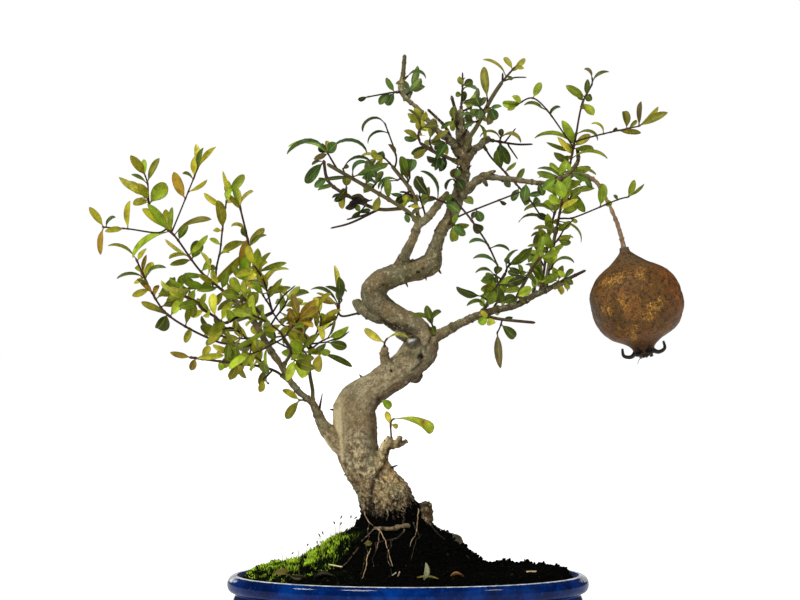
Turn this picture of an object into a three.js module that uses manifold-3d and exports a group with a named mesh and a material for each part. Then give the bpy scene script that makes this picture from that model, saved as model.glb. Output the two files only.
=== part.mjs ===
// A dwarf pomegranate grown as a bonsai, in an oval glazed pot.
// Millimetres, +Z up. The origin is the middle of the pot's flat base, +X is to the right
// of the front view and +Y is to the back.
import * as THREE from "three";
import { mergeVertices } from "three/addons/utils/BufferGeometryUtils.js";
import Module from "manifold-3d";

// ---------------------------------------------------------------- driving dimensions
const POT_LENGTH = 217;
const POT_DEPTH = 152;
const POT_HEIGHT = 70;
const POT_SIDES = 32;
const FIT_GAP = 0.4; // between pieces that touch on the real thing
const TIP_GAP = 0.3; // between a stub on the trunk and the spray that goes on from it

const SOIL_EDGE = 68; // height of the soil at the pot's wall
const SOIL_BANK = 4.5; // how far it rises just inside the wall
const MOUND_HEIGHT = 24;
const MOUND_REACH = 47;
const MOUND_CENTRE = [-8, 0];
const MOUND_DEPTH_SHARE = 0.85; // of the mound's depth to its length
const FOOT_HEIGHT = 13; // of the steep soil close round the trunk
const FOOT_REACH = 22;
const SOIL_RINGS = 7;
const SOIL_LUMP = 0.9;
const MOSS_THICKNESS = 2.6;
const MOSS_BUMP = 2;

const TRUNK_SIDES = 12;
const ROOT_LIFT = 2.1; // of a surface root over the soil
const STUB_SIDES = 3;
const TWIG_SIDES = 3;
const TWIG_TAPER = 0.75;
const STRAIGHT_ENOUGH = 0.85; // a point this close to the line past it adds no bend

const BLADE_DEPTH = 0.75; // depth of the keel under a leaf
const STALK_HALF_WIDTH = 0.4;
const SMALLEST_LEAF = 10.8; // shorter ones are buds, too small for this model
const LEAF_CLEARANCE = 1.75; // between the middle of one leaf and any other piece
const WOOD_CLEARANCE = 1.0;
const PAIR_LENGTH = 12; // leaves that are set in pairs by the rule
const PAIR_WIDTH = 5;
const SEED = 20;

const FRUIT_TOP = [128.6, -14, 264.4];
const FRUIT_LEAN = 11; // degrees to the right of straight down
const FRUIT_SIDES = 16;
const SEPAL_COUNT = 6;

// A path without the points that hardly bend it or change its radius, where it has one.
function withoutStraightPoints(path) {
  const kept = [path[0]];
  for (let i = 1; i + 1 < path.length; i += 1) {
    const from = kept.at(-1);
    const run = path[i + 1].map((v, k) => v - from[k]);
    const here = path[i].map((v, k) => v - from[k]);
    const share = here.reduce((sum, v, k) => sum + v * run[k], 0)
      / run.reduce((sum, v) => sum + v * v, 0);
    const off = Math.hypot(...here.map((v, k) => v - share * run[k]));
    if (off > STRAIGHT_ENOUGH) kept.push(path[i]);
  }
  return [...kept, path.at(-1)];
}

// ---------------------------------------------------------------- the trunk's wood
// Each limb is a list of [x, y, z, radius]. A limb starts inside the one that it grows from.
const TRUNK = [
  [-8, 0, 86, 14], [-9, 0, 100, 16.5], [-11, 0, 107, 16.5], [-14, 0, 116, 15.6],
  [-22, -1, 128, 12.6], [-28, -2, 137, 12], [-31, -2, 147, 12.6], [-31.5, -2, 159, 13],
  [-31.5, -2, 170, 12.8], [-25, -2, 178, 10.4], [-18, 0, 183, 9.2], [-8, 3, 190, 9.4],
  [0, 5, 196, 9.6], [7, 7, 204, 10.8], [8, 8, 211, 9.6], [3, 9, 218, 7.8], [-8, 11, 224, 7.6],
  [-17, 12, 231, 7.4], [-21, 11, 239, 7.8], [-17, 9, 245, 7.3], [-10, 7, 248.5, 6.8],
  [-2, 5, 251, 6.8], [7, 3, 253, 6.4], [14, 2, 257, 6.7], [16, 1, 264, 4.4], [18, 0, 270, 3.8],
  [20, -1, 276, 3.8], [25, -2, 283, 4], [28, -2, 291, 4.3], [31, -1, 300, 4.1],
  [33, 0, 309, 4], [34, 1, 315, 3.2], [34, 1, 320, 4.2], [33, 1, 325, 3.4],
];
const LIMBS = {
  stump: [[-6, -2, 104, 11], [-10, -4, 121, 8.4], [-13.5, -6, 132, 4.6], [-15, -7, 140, 3.4],
    [-13, -8, 147, 3.4], [-10, -8, 151, 3.2]],
  stump_twig_left: [[-11, -8, 147, 1.8], [-14, -9, 151, 1.4]],
  stump_twig_middle: [[-10, -8, 148, 2.2], [-6, -9, 150, 2], [-5, -9, 153, 1.8]],
  stump_twig_right: [[-10, -8, 147, 2], [-5, -7, 148, 1.8], [-1, -6, 150, 1.7]],
  root_stump: [[2, -4, 86, 6], [10, -6, 99, 4.6], [11, -6, 107, 3.8], [11, -6, 113, 3.2]],
  knob_upper: [[-12, -2, 194, 4.6], [-14, -5, 200, 2.9], [-14, -7, 206, 2.4]],
  knob_under: [[-3, 8, 194, 6], [4, 11, 189, 4.8], [7, 12, 187, 3.6]],
  cut_face: [[7, 6, 212, 6], [3, -2, 210, 3.4], [2, -5, 209, 3]],
  turn_lump: [[5, 8, 215, 6], [-2, 4, 214, 4.5], [-6, 2, 215, 3.4]],
  left_limb: [[-37, -3, 147, 8], [-45, -5, 153, 5.4], [-51, -7, 160, 3.6], [-54, -9, 167, 2.7],
    [-57, -11, 173, 2.3], [-64, -14, 179, 2], [-70, -16, 186, 2], [-75, -18, 195, 2],
    [-83, -20, 207, 2.1], [-89, -21, 218, 1.9], [-95, -22, 227, 1.7], [-101, -23, 233, 1.5],
    [-106, -24, 237, 1.2]],
  bend_limb: [[-16, 12, 224, 5], [-24, 14, 227, 4], [-30, 16, 231, 3.2], [-31, 17, 234, 2.8]],
  upper_left: [[-5, 5, 254, 4.6], [-2, 0, 261, 3.2], [1, -3, 267, 3], [4, -4, 273, 2.6],
    [6, -5, 279, 2.6], [11, -6, 283, 2.5], [17, -7, 290, 2.4], [24, -9, 299, 1.4]],
  head_left: [[32, 1, 321, 3.4], [25, -4, 330, 2.6], [18, -8, 335, 2.2], [11, -12, 342, 2],
    [5, -15, 349, 1.9], [-2, -17, 355, 1.9], [-4, -18, 360, 2.2], [-3, -18, 368, 1.4],
    [-2, -18, 380, 1.2]],
  head_thin: [[29, 1, 323, 1.6], [23, 8, 338, 1], [18, 13, 344, 0.9], [12, 17, 350, 0.8]],
  head_middle: [[32, 1, 323, 3.2], [31, 4, 332, 2.4], [31, 7, 340, 2.2], [32, 9, 349, 1.8]],
  head_middle_stub: [[30, 6, 342, 1.4], [28, 2, 350, 1], [26, 0, 357, 0.9]],
  head_back: [[34, 1, 323, 3], [36, 10, 331, 2.6], [35, 16, 336, 2.2]],
  head_low_right: [[35, 1, 320, 3.2], [40, 4, 325, 2.5], [45, 7, 329, 2.4], [49, 9, 332, 2.2]],
  fruit_limb: [[29, -2, 293, 3.6], [33, -6, 299, 3.2], [39, -9, 304, 2.6], [46, -12, 308, 2.4],
    [53, -15, 307, 2], [62, -18, 306, 1.9], [75, -20, 304, 1.8], [85, -18, 304, 1.8],
    [94, -15, 308, 1.9], [102, -13, 309, 1.9], [109, -12, 307, 1.9], [114, -12, 302, 1.9],
    [119, -12, 293, 1.8], [124, -13, 281, 1.9], [127, -14, 271, 2], [128.3, -14, 264.7, 2.4]],
  fruit_limb_knot: [[46, -12, 308, 1.8], [49, -15, 310, 1.4], [52, -17, 311, 0.8]],
  fruit_limb_stub: [[45, -12, 306, 1.4], [47, -16, 302, 1]],
  fruit_back: [[94, -15, 308, 1.5], [102, 0, 318, 1.2], [102, 6, 326, 1.1]],
  right_limb: [[6, 7, 210, 6], [15, 4, 212, 4], [25, 0, 217, 3], [37, -4, 223, 2.6],
    [51, -8, 228, 2.3], [63, -11, 231, 2.3], [73, -14, 236, 2.2], [81, -16, 240, 2.2],
    [88, -18, 243, 1.9], [95, -20, 247, 1.2], [105, -23, 252, 0.8]],
};
// Short thorns and cut spurs: [root x, y, z], [tip x, y, z], radius at the root
const THORNS = [
  [[-3, 4, 249], [0, 2, 242], 1.3], [[10, 2, 252], [11, 1, 246], 1.3],
  [[16, 2, 256], [20, 1, 250], 1.6], [[-24, -2, 159], [-19, -4, 159], 1.3],
  [[-41, -2, 168], [-47, -3, 169], 1.3], [[-13, -7, 133], [-6, -9, 136], 1.2],
  [[-53, -8, 169], [-51, -11, 179], 0.9],
];
// Surface roots, as [x, y, radius]: they lie on the mound from the trunk's foot outwards.
const ROOTS = [
  [[-2, -10, 3], [-3, -22, 2.2], [-9, -27, 1.9], [-19, -28, 1.9]],
  [[-19, -28, 1.9], [-20, -36, 1], [-21, -44, 0.8]],
  [[-9, -27, 1.9], [-12, -36, 1], [-10, -45, 0.9], [-9, -52, 0.8]],
  [[-22, -8, 1.8], [-24, -22, 1.2], [-25, -36, 1], [-27, -47, 0.9], [-28, -56, 0.8]],
  [[-1, -8, 2.4], [6, -20, 1.5], [3, -32, 1.1], [1, -38, 0.9]],
  [[9, -6, 2.4], [20, -12, 1.5], [30, -14, 1.1], [37, -16, 0.9]],
  [[-14, 6, 2.4], [-22, 24, 1.7], [-24, 38, 1.1]],
  [[-4, 8, 2.6], [5, 25, 1.8], [14, 38, 1.2]],
  [[-1, 4, 2.6], [12, 11, 2], [22, 16, 1.5], [33, 20, 1]],
];

// ---------------------------------------------------------------- leafy sprays
// A twig is a path of [x, y, z], the radius at its root, its leaves and a number of leaf
// pairs that the rule sets along it. A leaf is [place along the twig in percent, heading in
// the front view in degrees, length, width, and the turn of its arch where it curls edge on].
const twig = (path, radius, leaves = [], pairs = 0) =>
  ({ path: withoutStraightPoints(path), radius, leaves, pairs });

// Each spray grows on from a stub on the trunk. The number is the stub's length.
const SPRAYS = {
  left_tip: [3, [
    twig([[-106, -24, 237], [-109, -25, 239], [-115, -27, 245], [-122, -29, 251], [-127, -31, 257],
      [-133, -33, 266], [-138, -34, 273], [-142, -34, 276]], 1, [[57, 195, 12, 3.5],
      [56, 70, 11, 7], [63, 45, 15, 3.5], [30, 105, 15, 2.5, -60], [96, 214, 26, 6.5, -60],
      [98, 140, 18, 5.5], [92, 110, 14, 5.5], [94, 88, 14, 3.5], [90, 22, 23, 5.5, 60],
      [82, 60, 10, 5], [59, 145, 18, 2.5], [34, 175, 11, 3.5], [22, 150, 9, 3.5], [99, 126, 17, 5],
      [10, 75, 11, 4.5], [15, 110, 10, 4], [8, 235, 10, 4], [14, 188, 12, 3.5], [40, 55, 9, 3.5]], 2),
    twig([[-142, -34, 276], [-146, -35, 274], [-155, -38, 275], [-164, -41, 276], [-179, -44, 277]],
      0.8, [[97, 125, 13, 4], [60, 85, 15, 5], [66, 190, 10, 3.5], [98, 265, 15, 3.5],
      [94, 45, 8, 2.5, 60]]),
    twig([[-141, -34, 275], [-144, -33, 278], [-150, -30, 286], [-153, -27, 292], [-154, -23, 303],
      [-156, -21, 309]], 0.8, [[100, 125, 13, 5], [98, 95, 9, 3.5], [86, 65, 15, 4],
      [84, 150, 10, 2.5, -30], [57, 135, 15, 4], [66, 148, 17, 4.5], [60, 122, 11, 5],
      [53, 50, 14, 8.5], [54, 180, 9, 5], [62, 141, 18, 4.5], [57, 178, 9, 3.5]]),
    twig([[-139, -34, 274], [-137, -37, 278], [-132, -42, 292], [-129, -44, 297], [-125, -47, 306],
      [-122, -49, 312]], 0.8, [[51, 112, 16, 5.5], [62, 35, 12, 3], [84, 85, 12, 4.5],
      [99, 95, 13, 3.5], [98, 72, 11, 3.5], [100, 48, 15, 3.5], [81, 150, 7, 2.5, -60]]),
    twig([[-115, -27, 245], [-116, -24, 242], [-124, -16, 242], [-133, -8, 241], [-138, -4, 239]],
      0.8, [[69, 105, 9, 5], [74, 150, 11, 4], [89, 215, 10, 4], [69, 275, 9, 4],
      [30, 165, 11, 4.5], [45, 30, 9, 4], [92, 80, 9, 4.5], [96, 120, 9, 4], [98, 185, 11, 3.5],
      [55, 245, 10, 4]], 2),
    twig([[-110, -25, 240], [-113, -22, 243], [-114, -16, 252], [-112, -10, 264], [-111, -6, 276],
      [-109, -4, 288], [-108, -3, 299]], 0.9, [[66, 100, 16, 6], [64, 180, 5, 3], [100, 50, 14, 5],
      [97, 85, 8, 4], [100, 98, 14, 2.5], [85, 145, 15, 3.5], [27, 180, 4, 3.5],
      [40, 15, 6, 2.5, 60], [92, 60, 10, 4], [50, 150, 7, 3]]),
  ]],
  left_inner: [3.5, [
    twig([[-95, -22, 226], [-101, -30, 224], [-108, -36, 221], [-114, -36, 225], [-120, -42, 229],
      [-123, -45, 233], [-131, -48, 237]], 1.2, [[80, 190, 11, 5.5], [95, 160, 10, 3.5],
      [68, 205, 8, 3.5], [74, 70, 8, 3], [50, 95, 13, 5.5], [58, 130, 11, 4.5], [42, 60, 12, 5],
      [30, 100, 11, 5], [35, 215, 12, 5], [98, 235, 11, 5], [92, 150, 12, 4.5], [86, 265, 9, 4.5]],
      2),
  ]],
  left_rising: [4, [
    twig([[-99, -23, 233], [-98, -17, 236], [-96, -8, 249], [-95, 0, 261], [-98, 4, 271],
      [-100, 9, 284], [-102, 12, 293]], 1, [[99, 105, 11, 4], [97, 95, 10, 2.5], [94, 130, 11, 3],
      [68, 110, 6, 3], [74, 160, 9, 2.5, -95], [59, 50, 14, 5], [56, 40, 14, 2.5, 70],
      [65, 205, 15, 5.5], [58, 225, 27, 5.5], [28, 90, 21, 7], [23, 78, 18, 6.5], [20, 50, 10, 5],
      [25, 130, 12, 4.5]], 1),
  ]],
  left_rise: [4, [
    twig([[-89, -21, 218], [-86, -12, 224], [-81, -4, 227]], 1.4),
    twig([[-81, -4, 227], [-83, 0, 231], [-88, 5, 239], [-90, 8, 246], [-91, 10, 252]], 0.9,
      [[98, 18, 17, 3.5], [68, 30, 20, 3, 90], [48, 15, 16, 3.5], [32, 55, 15, 3.5],
      [78, 92, 18, 6], [60, 150, 12, 4.5], [45, 120, 12, 4.5]], 1),
    twig([[-86, -12, 224], [-88, -18, 227], [-93, -30, 232], [-98, -40, 238]], 0.9, [], 5),
    twig([[-81, -4, 227], [-74, -12, 237], [-67, -16, 243]], 0.8),
    twig([[-81, -4, 227], [-83, -12, 237], [-86, -21, 247], [-91, -28, 255]], 0.9, [], 5),
    twig([[-81, -4, 227], [-77, -14, 222], [-73, -24, 219], [-70, -31, 219]], 0.8,
      [[98, 20, 12, 4.5], [60, 200, 11, 4.5]], 2),
    twig([[-86, -12, 224], [-91, -6, 230], [-97, 0, 234], [-104, 5, 236]], 0.8, [], 3),
  ]],
  left_front: [4.5, [
    twig([[-74, -18, 195], [-69, -32, 204], [-73, -42, 212]], 1.3),
    twig([[-73, -42, 212], [-74, -45, 215], [-83, -50, 222], [-91, -54, 226]], 0.9,
      [[46, 210, 26, 4.5]], 4),
    twig([[-73, -42, 212], [-71, -44, 215], [-66, -50, 220], [-63, -54, 224]], 0.9,
      [[100, 105, 14, 4.5], [98, 45, 14, 4.5]], 4),
    twig([[-73, -42, 212], [-79, -50, 209], [-86, -58, 205], [-92, -63, 203]], 0.8,
      [[98, 215, 14, 5]], 3),
    twig([[-69, -32, 204], [-67, -38, 201], [-66, -44, 199]], 0.8, [[90, 250, 12, 5],
      [70, 0, 11, 4.5]], 1),
  ]],
  left_back: [4.5, [
    twig([[-83, -20, 207], [-80, -6, 212], [-83, 10, 219]], 1.4),
    twig([[-83, 10, 219], [-86, 15, 222], [-95, 28, 227], [-103, 40, 231]], 0.9, [], 4),
    twig([[-83, 10, 219], [-80, 14, 224], [-75, 24, 231], [-73, 32, 237]], 0.9, [], 4),
    twig([[-83, 10, 219], [-89, 17, 214], [-97, 26, 211], [-103, 31, 211]], 0.9, [[95, 190, 12, 5]],
      3),
    twig([[-80, -6, 212], [-74, 2, 213], [-68, 12, 214]], 0.8, [[95, 40, 12, 4.5]], 2),
  ]],
  left_side: [4.5, [
    twig([[-84, -20, 208], [-93, -14, 207], [-102, -8, 208]], 1.4),
    twig([[-102, -8, 208], [-105, -4, 209], [-112, 4, 213], [-118, 10, 216]], 0.9,
      [[55, 155, 14, 6], [38, 125, 14, 3.5]], 2),
    twig([[-93, -14, 207], [-96, -20, 207], [-101, -28, 205], [-106, -34, 202]], 0.9,
      [[72, 285, 7, 6], [98, 245, 8, 5], [52, 190, 13, 3.5], [87, 155, 11, 3.5]], 2),
    twig([[-93, -14, 207], [-97, -24, 213], [-104, -31, 218], [-109, -36, 217]], 0.9, [], 4),
    twig([[-102, -8, 208], [-113, -2, 209], [-126, 2, 216], [-144, 6, 225], [-149, 8, 230],
      [-153, 10, 236], [-158, 12, 246], [-162, 14, 254], [-165, 15, 260]], 1, [[55, 235, 10, 8.5],
      [58, 160, 14, 4], [54, 160, 17, 2.5], [73, 135, 10, 3.5], [84, 180, 17, 2.5, -80],
      [88, 140, 8, 3], [84, 65, 10, 4.5], [83, 30, 15, 2.5, 95], [70, 75, 7, 3.5], [68, 50, 16, 5],
      [62, 20, 12, 5], [100, 155, 19, 3, -80], [97, 55, 9, 3.5], [89, 75, 10, 2.5],
      [86, 215, 7, 2.5], [82, 110, 10, 3.5], [76, 200, 11, 4], [52, 60, 12, 4], [40, 75, 12, 4.5],
      [36, 250, 9, 4], [80, 150, 12, 3]]),
    twig([[-93, -14, 207], [-95, -7, 201], [-99, 0, 197], [-102, 4, 196]], 0.8, [[95, 235, 10, 5],
      [60, 160, 11, 4.5]], 2),
  ]],
  left_low: [7.5, [
    twig([[-70, -16, 186], [-78, -22, 192], [-86, -27, 195], [-100, -35, 197], [-115, -40, 199],
      [-128, -44, 201]], 1.2, [[100, 165, 11, 3.5], [94, 250, 7, 4], [95, 5, 16, 3.5],
      [55, 240, 10, 4], [72, 270, 5, 4], [56, 100, 9, 5.5], [88, 60, 8, 4], [66, 85, 10, 4.5],
      [35, 95, 12, 5], [28, 250, 10, 4]]),
    twig([[-80, -24, 193], [-82, -26, 191], [-86, -29, 187]], 0.8, [[93, 255, 7, 4],
      [50, 75, 11, 6], [44, 270, 11, 2.5, -50]]),
    twig([[-83, -25, 194], [-86, -34, 198], [-92, -43, 203]], 0.8, [], 3),
  ]],
  left_underleaves: [3.5, [
    twig([[-60, -12, 175], [-62, -16, 175], [-65, -19, 175]], 0.8, [[86, 150, 11, 4],
      [95, 235, 13, 5]]),
  ]],
  left_fork: [4.5, [
    twig([[-57, -11, 172], [-57, -6, 180], [-59, 0, 191], [-59, 4, 200], [-59, 7, 207]], 1.5),
    twig([[-59, 7, 207], [-60, 6, 210], [-63, 2, 216], [-65, -3, 223]], 0.9, [], 4),
    twig([[-59, 7, 207], [-55, -1, 214], [-52, -9, 222], [-54, -15, 230]], 0.9, [], 4),
    twig([[-59, 7, 207], [-57, 10, 210], [-52, 16, 216], [-45, 22, 221], [-42, 25, 228],
      [-42, 26, 233]], 0.9, [[99, 90, 15, 6], [98, 97, 22, 3.5], [97, 165, 14, 3.5],
      [94, 150, 20, 2.5, -80], [96, 125, 17, 2.5, -95], [97, 60, 17, 2.5, 90], [35, 60, 14, 4.5],
      [56, 125, 8, 3.5]]),
    twig([[-59, 7, 207], [-57, 12, 205], [-55, 18, 203], [-52, 22, 202]], 0.9, [[98, 335, 19, 3.5],
      [87, 265, 11, 6.5], [75, 0, 7, 4], [54, 35, 9, 3.5]]),
    twig([[-59, 3, 199], [-61, -2, 202], [-62, -8, 204], [-63, -12, 205]], 0.9, [[82, 268, 15, 8.5],
      [83, 185, 12, 5], [90, 145, 10, 5.5]], 2),
    twig([[-59, 6, 204], [-61, 12, 206], [-64, 22, 209], [-68, 30, 210]], 0.9, [], 3),
    twig([[-58, 8, 208], [-53, 14, 209], [-48, 18, 209]], 0.8, [[95, 345, 11, 5.5],
      [84, 25, 14, 2.5]]),
    twig([[-59, 3, 199], [-66, -5, 203], [-74, -13, 207], [-79, -18, 210]], 0.8, [[98, 150, 12, 5]],
      3),
    twig([[-59, 6, 204], [-53, 2, 209], [-47, -2, 212]], 0.8, [[98, 30, 13, 4.5], [70, 110, 11, 4]],
      1),
  ]],
  bend: [6, [
    twig([[-25, 14, 227], [-35, 18, 225], [-41, 20, 225], [-42, 20, 228], [-43, 18, 232]], 1, [], 2),
  ]],
  knob_leaf: [1.5, [
    twig([[-14, -7, 206], [-14, -8, 209], [-12, -8, 212]], 0.8, [[37, 145, 15, 6],
      [80, 5, 14, 2.5, 85]]),
  ]],
  trunk_leaf: [8, [
    twig([[-20, -2, 176], [-17, -9, 176], [-16, -12, 175]], 0.8, [[97, 320, 8, 5]]),
  ]],
  stump_leaves: [2.5, [
    twig([[-10, -8, 150], [-10, -9, 154], [-10, -9, 158], [-10, -10, 162], [-8, -10, 164]], 0.8,
      [[98, 342, 24, 8.5, 75], [65, 110, 8, 3.5], [69, 335, 4, 3]]),
  ]],
  crown_left: [5, [
    twig([[7, -5, 280], [0, -8, 287], [-11, -11, 293], [-22, -14, 300], [-32, -17, 305],
      [-40, -19, 310], [-48, -21, 315]], 1.7, [[60, 80, 12, 4.5], [45, 250, 10, 4.5],
      [35, 95, 14, 4.5]]),
    twig([[-41, -19, 310], [-43, -20, 314], [-46, -22, 318], [-48, -23, 322]], 0.9,
      [[100, 170, 26, 4, -85], [98, 183, 28, 4.5, -115], [100, 135, 7, 5.5], [99, 45, 8, 6.5],
      [98, 95, 9, 3], [94, 205, 9, 3.5], [100, 0, 30, 2.5, 140]]),
    twig([[-37, -18, 308], [-38, -14, 311], [-39, -12, 313]], 0.8, [[98, 10, 22, 2.5, 130],
      [89, 35, 4, 2.5]]),
    twig([[-32, -17, 305], [-33, -22, 307], [-33, -25, 309]], 0.8, [[85, 35, 14, 4, 130],
      [54, 20, 22, 5], [54, 185, 19, 2.5]]),
    twig([[-22, -14, 300], [-20, -6, 303], [-19, 4, 305], [-19, 10, 308]], 0.8, [], 3),
    twig([[2, -7, 285], [-1, -12, 286], [-2, -15, 286]], 0.8, [[92, 290, 6, 3.5]]),
    twig([[-3, -9, 289], [-12, -3, 289], [-18, 0, 289], [-25, 3, 292], [-34, 6, 296], [-42, 8, 301],
      [-45, 9, 303], [-48, 10, 306], [-50, 11, 313], [-51, 11, 319]], 1.4, [[84, 218, 10, 4.5],
      [99, 195, 8, 2.5, -60], [74, 200, 10, 3.5], [82, 180, 6, 3.5], [99, 228, 17, 6.5],
      [62, 262, 10, 5], [58, 205, 9, 4]]),
    twig([[-25, 3, 292], [-29, 0, 297], [-34, -2, 296]], 1.5),
    twig([[-17, -1, 289], [-24, -6, 285], [-35, -12, 280], [-46, -17, 277]], 1.1),
    twig([[-17, -1, 289], [-25, 6, 286], [-37, 12, 283]], 1),
    twig([[-37, 7, 298], [-37, 2, 300], [-37, -1, 303]], 0.8, [[77, 230, 7, 6.5], [87, 90, 7, 5.5]]),
    twig([[-25, 3, 292], [-26, 6, 290], [-29, 9, 287], [-30, 11, 286]], 0.8, [[74, 125, 5, 3.5],
      [85, 15, 7, 3], [65, 215, 7, 3.5]]),
  ]],
  crown_rise: [5, [
    twig([[7, -5, 280], [5, 0, 291], [3, 4, 298], [-1, 8, 304], [-5, 11, 310], [-10, 14, 316]], 1.6,
      [[75, 68, 13, 6], [55, 250, 12, 5], [40, 190, 12, 4]]),
    twig([[4, 3, 296], [-2, -2, 299], [-5, -4, 299]], 1),
    twig([[-10, 14, 316], [-11, 16, 318], [-15, 20, 321], [-19, 24, 321]], 0.9, [[98, 130, 6, 3.5],
      [81, 65, 6, 5], [98, 180, 12, 2.5, -80], [54, 170, 9, 3.5], [17, 205, 6, 3.5],
      [60, 235, 11, 4.5]], 1),
    twig([[-8, 13, 314], [-7, 8, 320], [-10, 4, 329], [-12, 2, 337], [-14, 1, 341]], 0.8,
      [[100, 200, 20, 3, -160], [76, 205, 17, 2.5, -130], [31, 125, 8, 3.5]]),
    twig([[-1, 8, 304], [1, 4, 308], [1, 0, 311]], 0.8, [[25, 105, 16, 6], [94, 75, 9, 5.5],
      [60, 120, 6, 3.5]]),
    twig([[-4, 10, 308], [-6, 5, 307], [-7, 2, 306]], 0.8, [[71, 205, 15, 3.5, -110],
      [95, 215, 13, 3.5, -90]]),
    twig([[2, 5, 300], [-1, 0, 298], [-3, -4, 297]], 0.8, [[98, 230, 6, 5], [93, 175, 8, 2.5],
      [76, 270, 7, 3.5]]),
    twig([[4, 0, 292], [2, -4, 291], [0, -6, 290]], 0.8, [[89, 125, 9, 3.5], [77, 355, 6, 2.5]]),
  ]],
  head_low: [5, [
    twig([[30, 0, 317], [23, -10, 320], [14, -20, 323], [7, -28, 327]], 1.4, [[55, 262, 12, 5],
      [80, 215, 10, 4.5], [35, 250, 10, 5]]),
    twig([[7, -28, 327], [6, -30, 329], [6, -33, 332], [8, -36, 336]], 0.9, [[32, 155, 10, 3.5],
      [26, 175, 9, 3.5], [63, 75, 8, 5.5], [75, 40, 7, 3.5], [44, 25, 9, 3.5], [21, 125, 8, 3.5]], 1),
    twig([[15, -19, 323], [14, -14, 325], [13, -8, 328], [13, -4, 331]], 0.8, [[65, 35, 14, 3.5],
      [39, 200, 13, 5], [91, 355, 7, 3.5]], 1),
    twig([[23, -10, 320], [21, -14, 318], [18, -18, 317]], 0.8, [[52, 270, 7, 3], [83, 140, 8, 5],
      [100, 215, 6, 3.5]]),
  ]],
  head_long_leaf: [4.5, [
    twig([[23, -5, 332], [23, -12, 329], [23, -16, 327]], 0.8, [[86, 240, 14, 5.5],
      [74, 185, 10, 3.5], [86, 275, 7, 4], [95, 200, 9, 4]]),
  ]],
  head_pale_leaves: [3.5, [
    twig([[11, -12, 342], [9, -17, 341], [7, -20, 340]], 0.8, [[71, 120, 9, 4], [85, 305, 7, 4],
      [75, 180, 7, 3.5], [60, 70, 8, 4], [90, 150, 9, 4]]),
  ]],
  head_arched_leaf: [3, [
    twig([[-3, -18, 365], [-1, -21, 366], [0, -23, 367]], 0.8, [[80, 355, 14, 3.5, 130]]),
  ]],
  head_left_leaves: [4, [
    twig([[-4, -18, 358], [-7, -21, 357], [-10, -23, 357], [-17, -25, 355], [-25, -27, 354]], 0.8,
      [[22, 240, 9, 5.5], [39, 230, 9, 5], [13, 120, 10, 3.5], [95, 195, 6, 3]]),
  ]],
  head_left_back: [4, [
    twig([[-2, -17, 355], [0, -9, 358], [2, -2, 360], [2, 4, 363]], 0.9, [], 3),
  ]],
  middle_tip: [2.5, [
    twig([[32, 9, 349], [32, 10, 353], [33, 11, 358], [33, 12, 364], [33, 12, 372]], 0.9,
      [[65, 110, 6, 3.5], [65, 25, 7, 5.5], [52, 0, 10, 2.5, 90], [41, 180, 4, 3.5],
      [14, 75, 8, 3.5], [18, 15, 10, 3.5], [75, 70, 5, 2.5]]),
  ]],
  middle_low: [4, [
    twig([[31, 7, 340], [28, 2, 342], [26, -3, 343]], 0.8, [[84, 95, 6, 3], [84, 270, 7, 3.5],
      [68, 210, 9, 3]], 2),
  ]],
  middle_back: [3, [
    twig([[32, 9, 348], [34, 16, 349], [37, 23, 350], [39, 30, 352]], 0.9, [], 3),
  ]],
  head_back: [3, [
    twig([[35, 16, 336], [35, 20, 339], [34, 27, 344], [33, 33, 348]], 0.9, [], 3),
  ]],
  head_right: [5, [
    twig([[35, 1, 323], [36, -4, 330], [41, -9, 338], [46, -14, 349], [50, -17, 355],
      [56, -20, 364]], 1.7),
    twig([[56, -20, 364], [56, -21, 369]], 1.1),
    twig([[56, -20, 364], [63, -22, 366], [70, -24, 366]], 0.8),
    twig([[47, -14, 350], [47, -17, 353], [47, -18, 355]], 0.8, [[77, 95, 20, 5.5]]),
    twig([[45, -13, 347], [43, -18, 348], [42, -20, 349]], 0.8, [[78, 110, 6, 6], [88, 160, 8, 3.5],
      [71, 260, 7, 5.5], [80, 60, 7, 3.5]]),
    twig([[46, -14, 349], [48, -18, 348], [49, -21, 348]], 0.8, [[86, 295, 8, 6], [86, 5, 7, 3],
      [62, 270, 10, 5], [84, 235, 6, 3.5]]),
    twig([[42, -10, 341], [40, -14, 340], [39, -17, 340]], 0.8, [[52, 175, 6, 4],
      [20, 170, 14, 2.5, -130], [100, 205, 7, 3], [66, 295, 13, 3, 80]]),
    twig([[56, -20, 364], [58, -22, 366], [60, -24, 368], [63, -27, 372]], 0.9,
      [[34, 145, 18, 3.5, -60], [84, 125, 9, 3.5], [99, 40, 9, 3.5], [92, 355, 6, 2.5],
      [65, 40, 6, 2.5], [38, 330, 4, 3]]),
  ]],
  bare_right: [4, [
    twig([[48, 8, 331], [57, 6, 329], [66, 4, 328], [75, 2, 328]], 1, [[24, 296, 15, 6],
      [30, 262, 10, 4.5]]),
    twig([[58, 6, 329], [62, 8, 334], [65, 9, 338]], 0.8),
    twig([[60, 5, 328], [63, 4, 323], [66, 3, 319]], 0.8),
    twig([[55, 7, 329], [56, 4, 331], [56, 2, 333]], 0.8, [[94, 85, 5, 3.5],
      [60, 175, 16, 2.5, -140], [76, 345, 15, 2.5, 120]]),
  ]],
  middle_cross: [4.5, [
    twig([[45, 6, 328], [50, 2, 320], [57, -2, 313], [59, -3, 310], [64, -4, 304], [73, -5, 294],
      [81, -6, 282]], 0.9, [[34, 105, 12, 6], [38, 40, 9, 2.5], [54, 60, 11, 3.5], [66, 275, 9, 6],
      [80, 35, 5, 5], [70, 10, 10, 3.5], [40, 285, 9, 5], [60, 240, 9, 4.5]]),
  ]],
  lower_cross: [6, [
    twig([[26, -4, 295], [31, -14, 290], [35, -20, 285], [40, -24, 278], [47, -27, 267],
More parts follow.
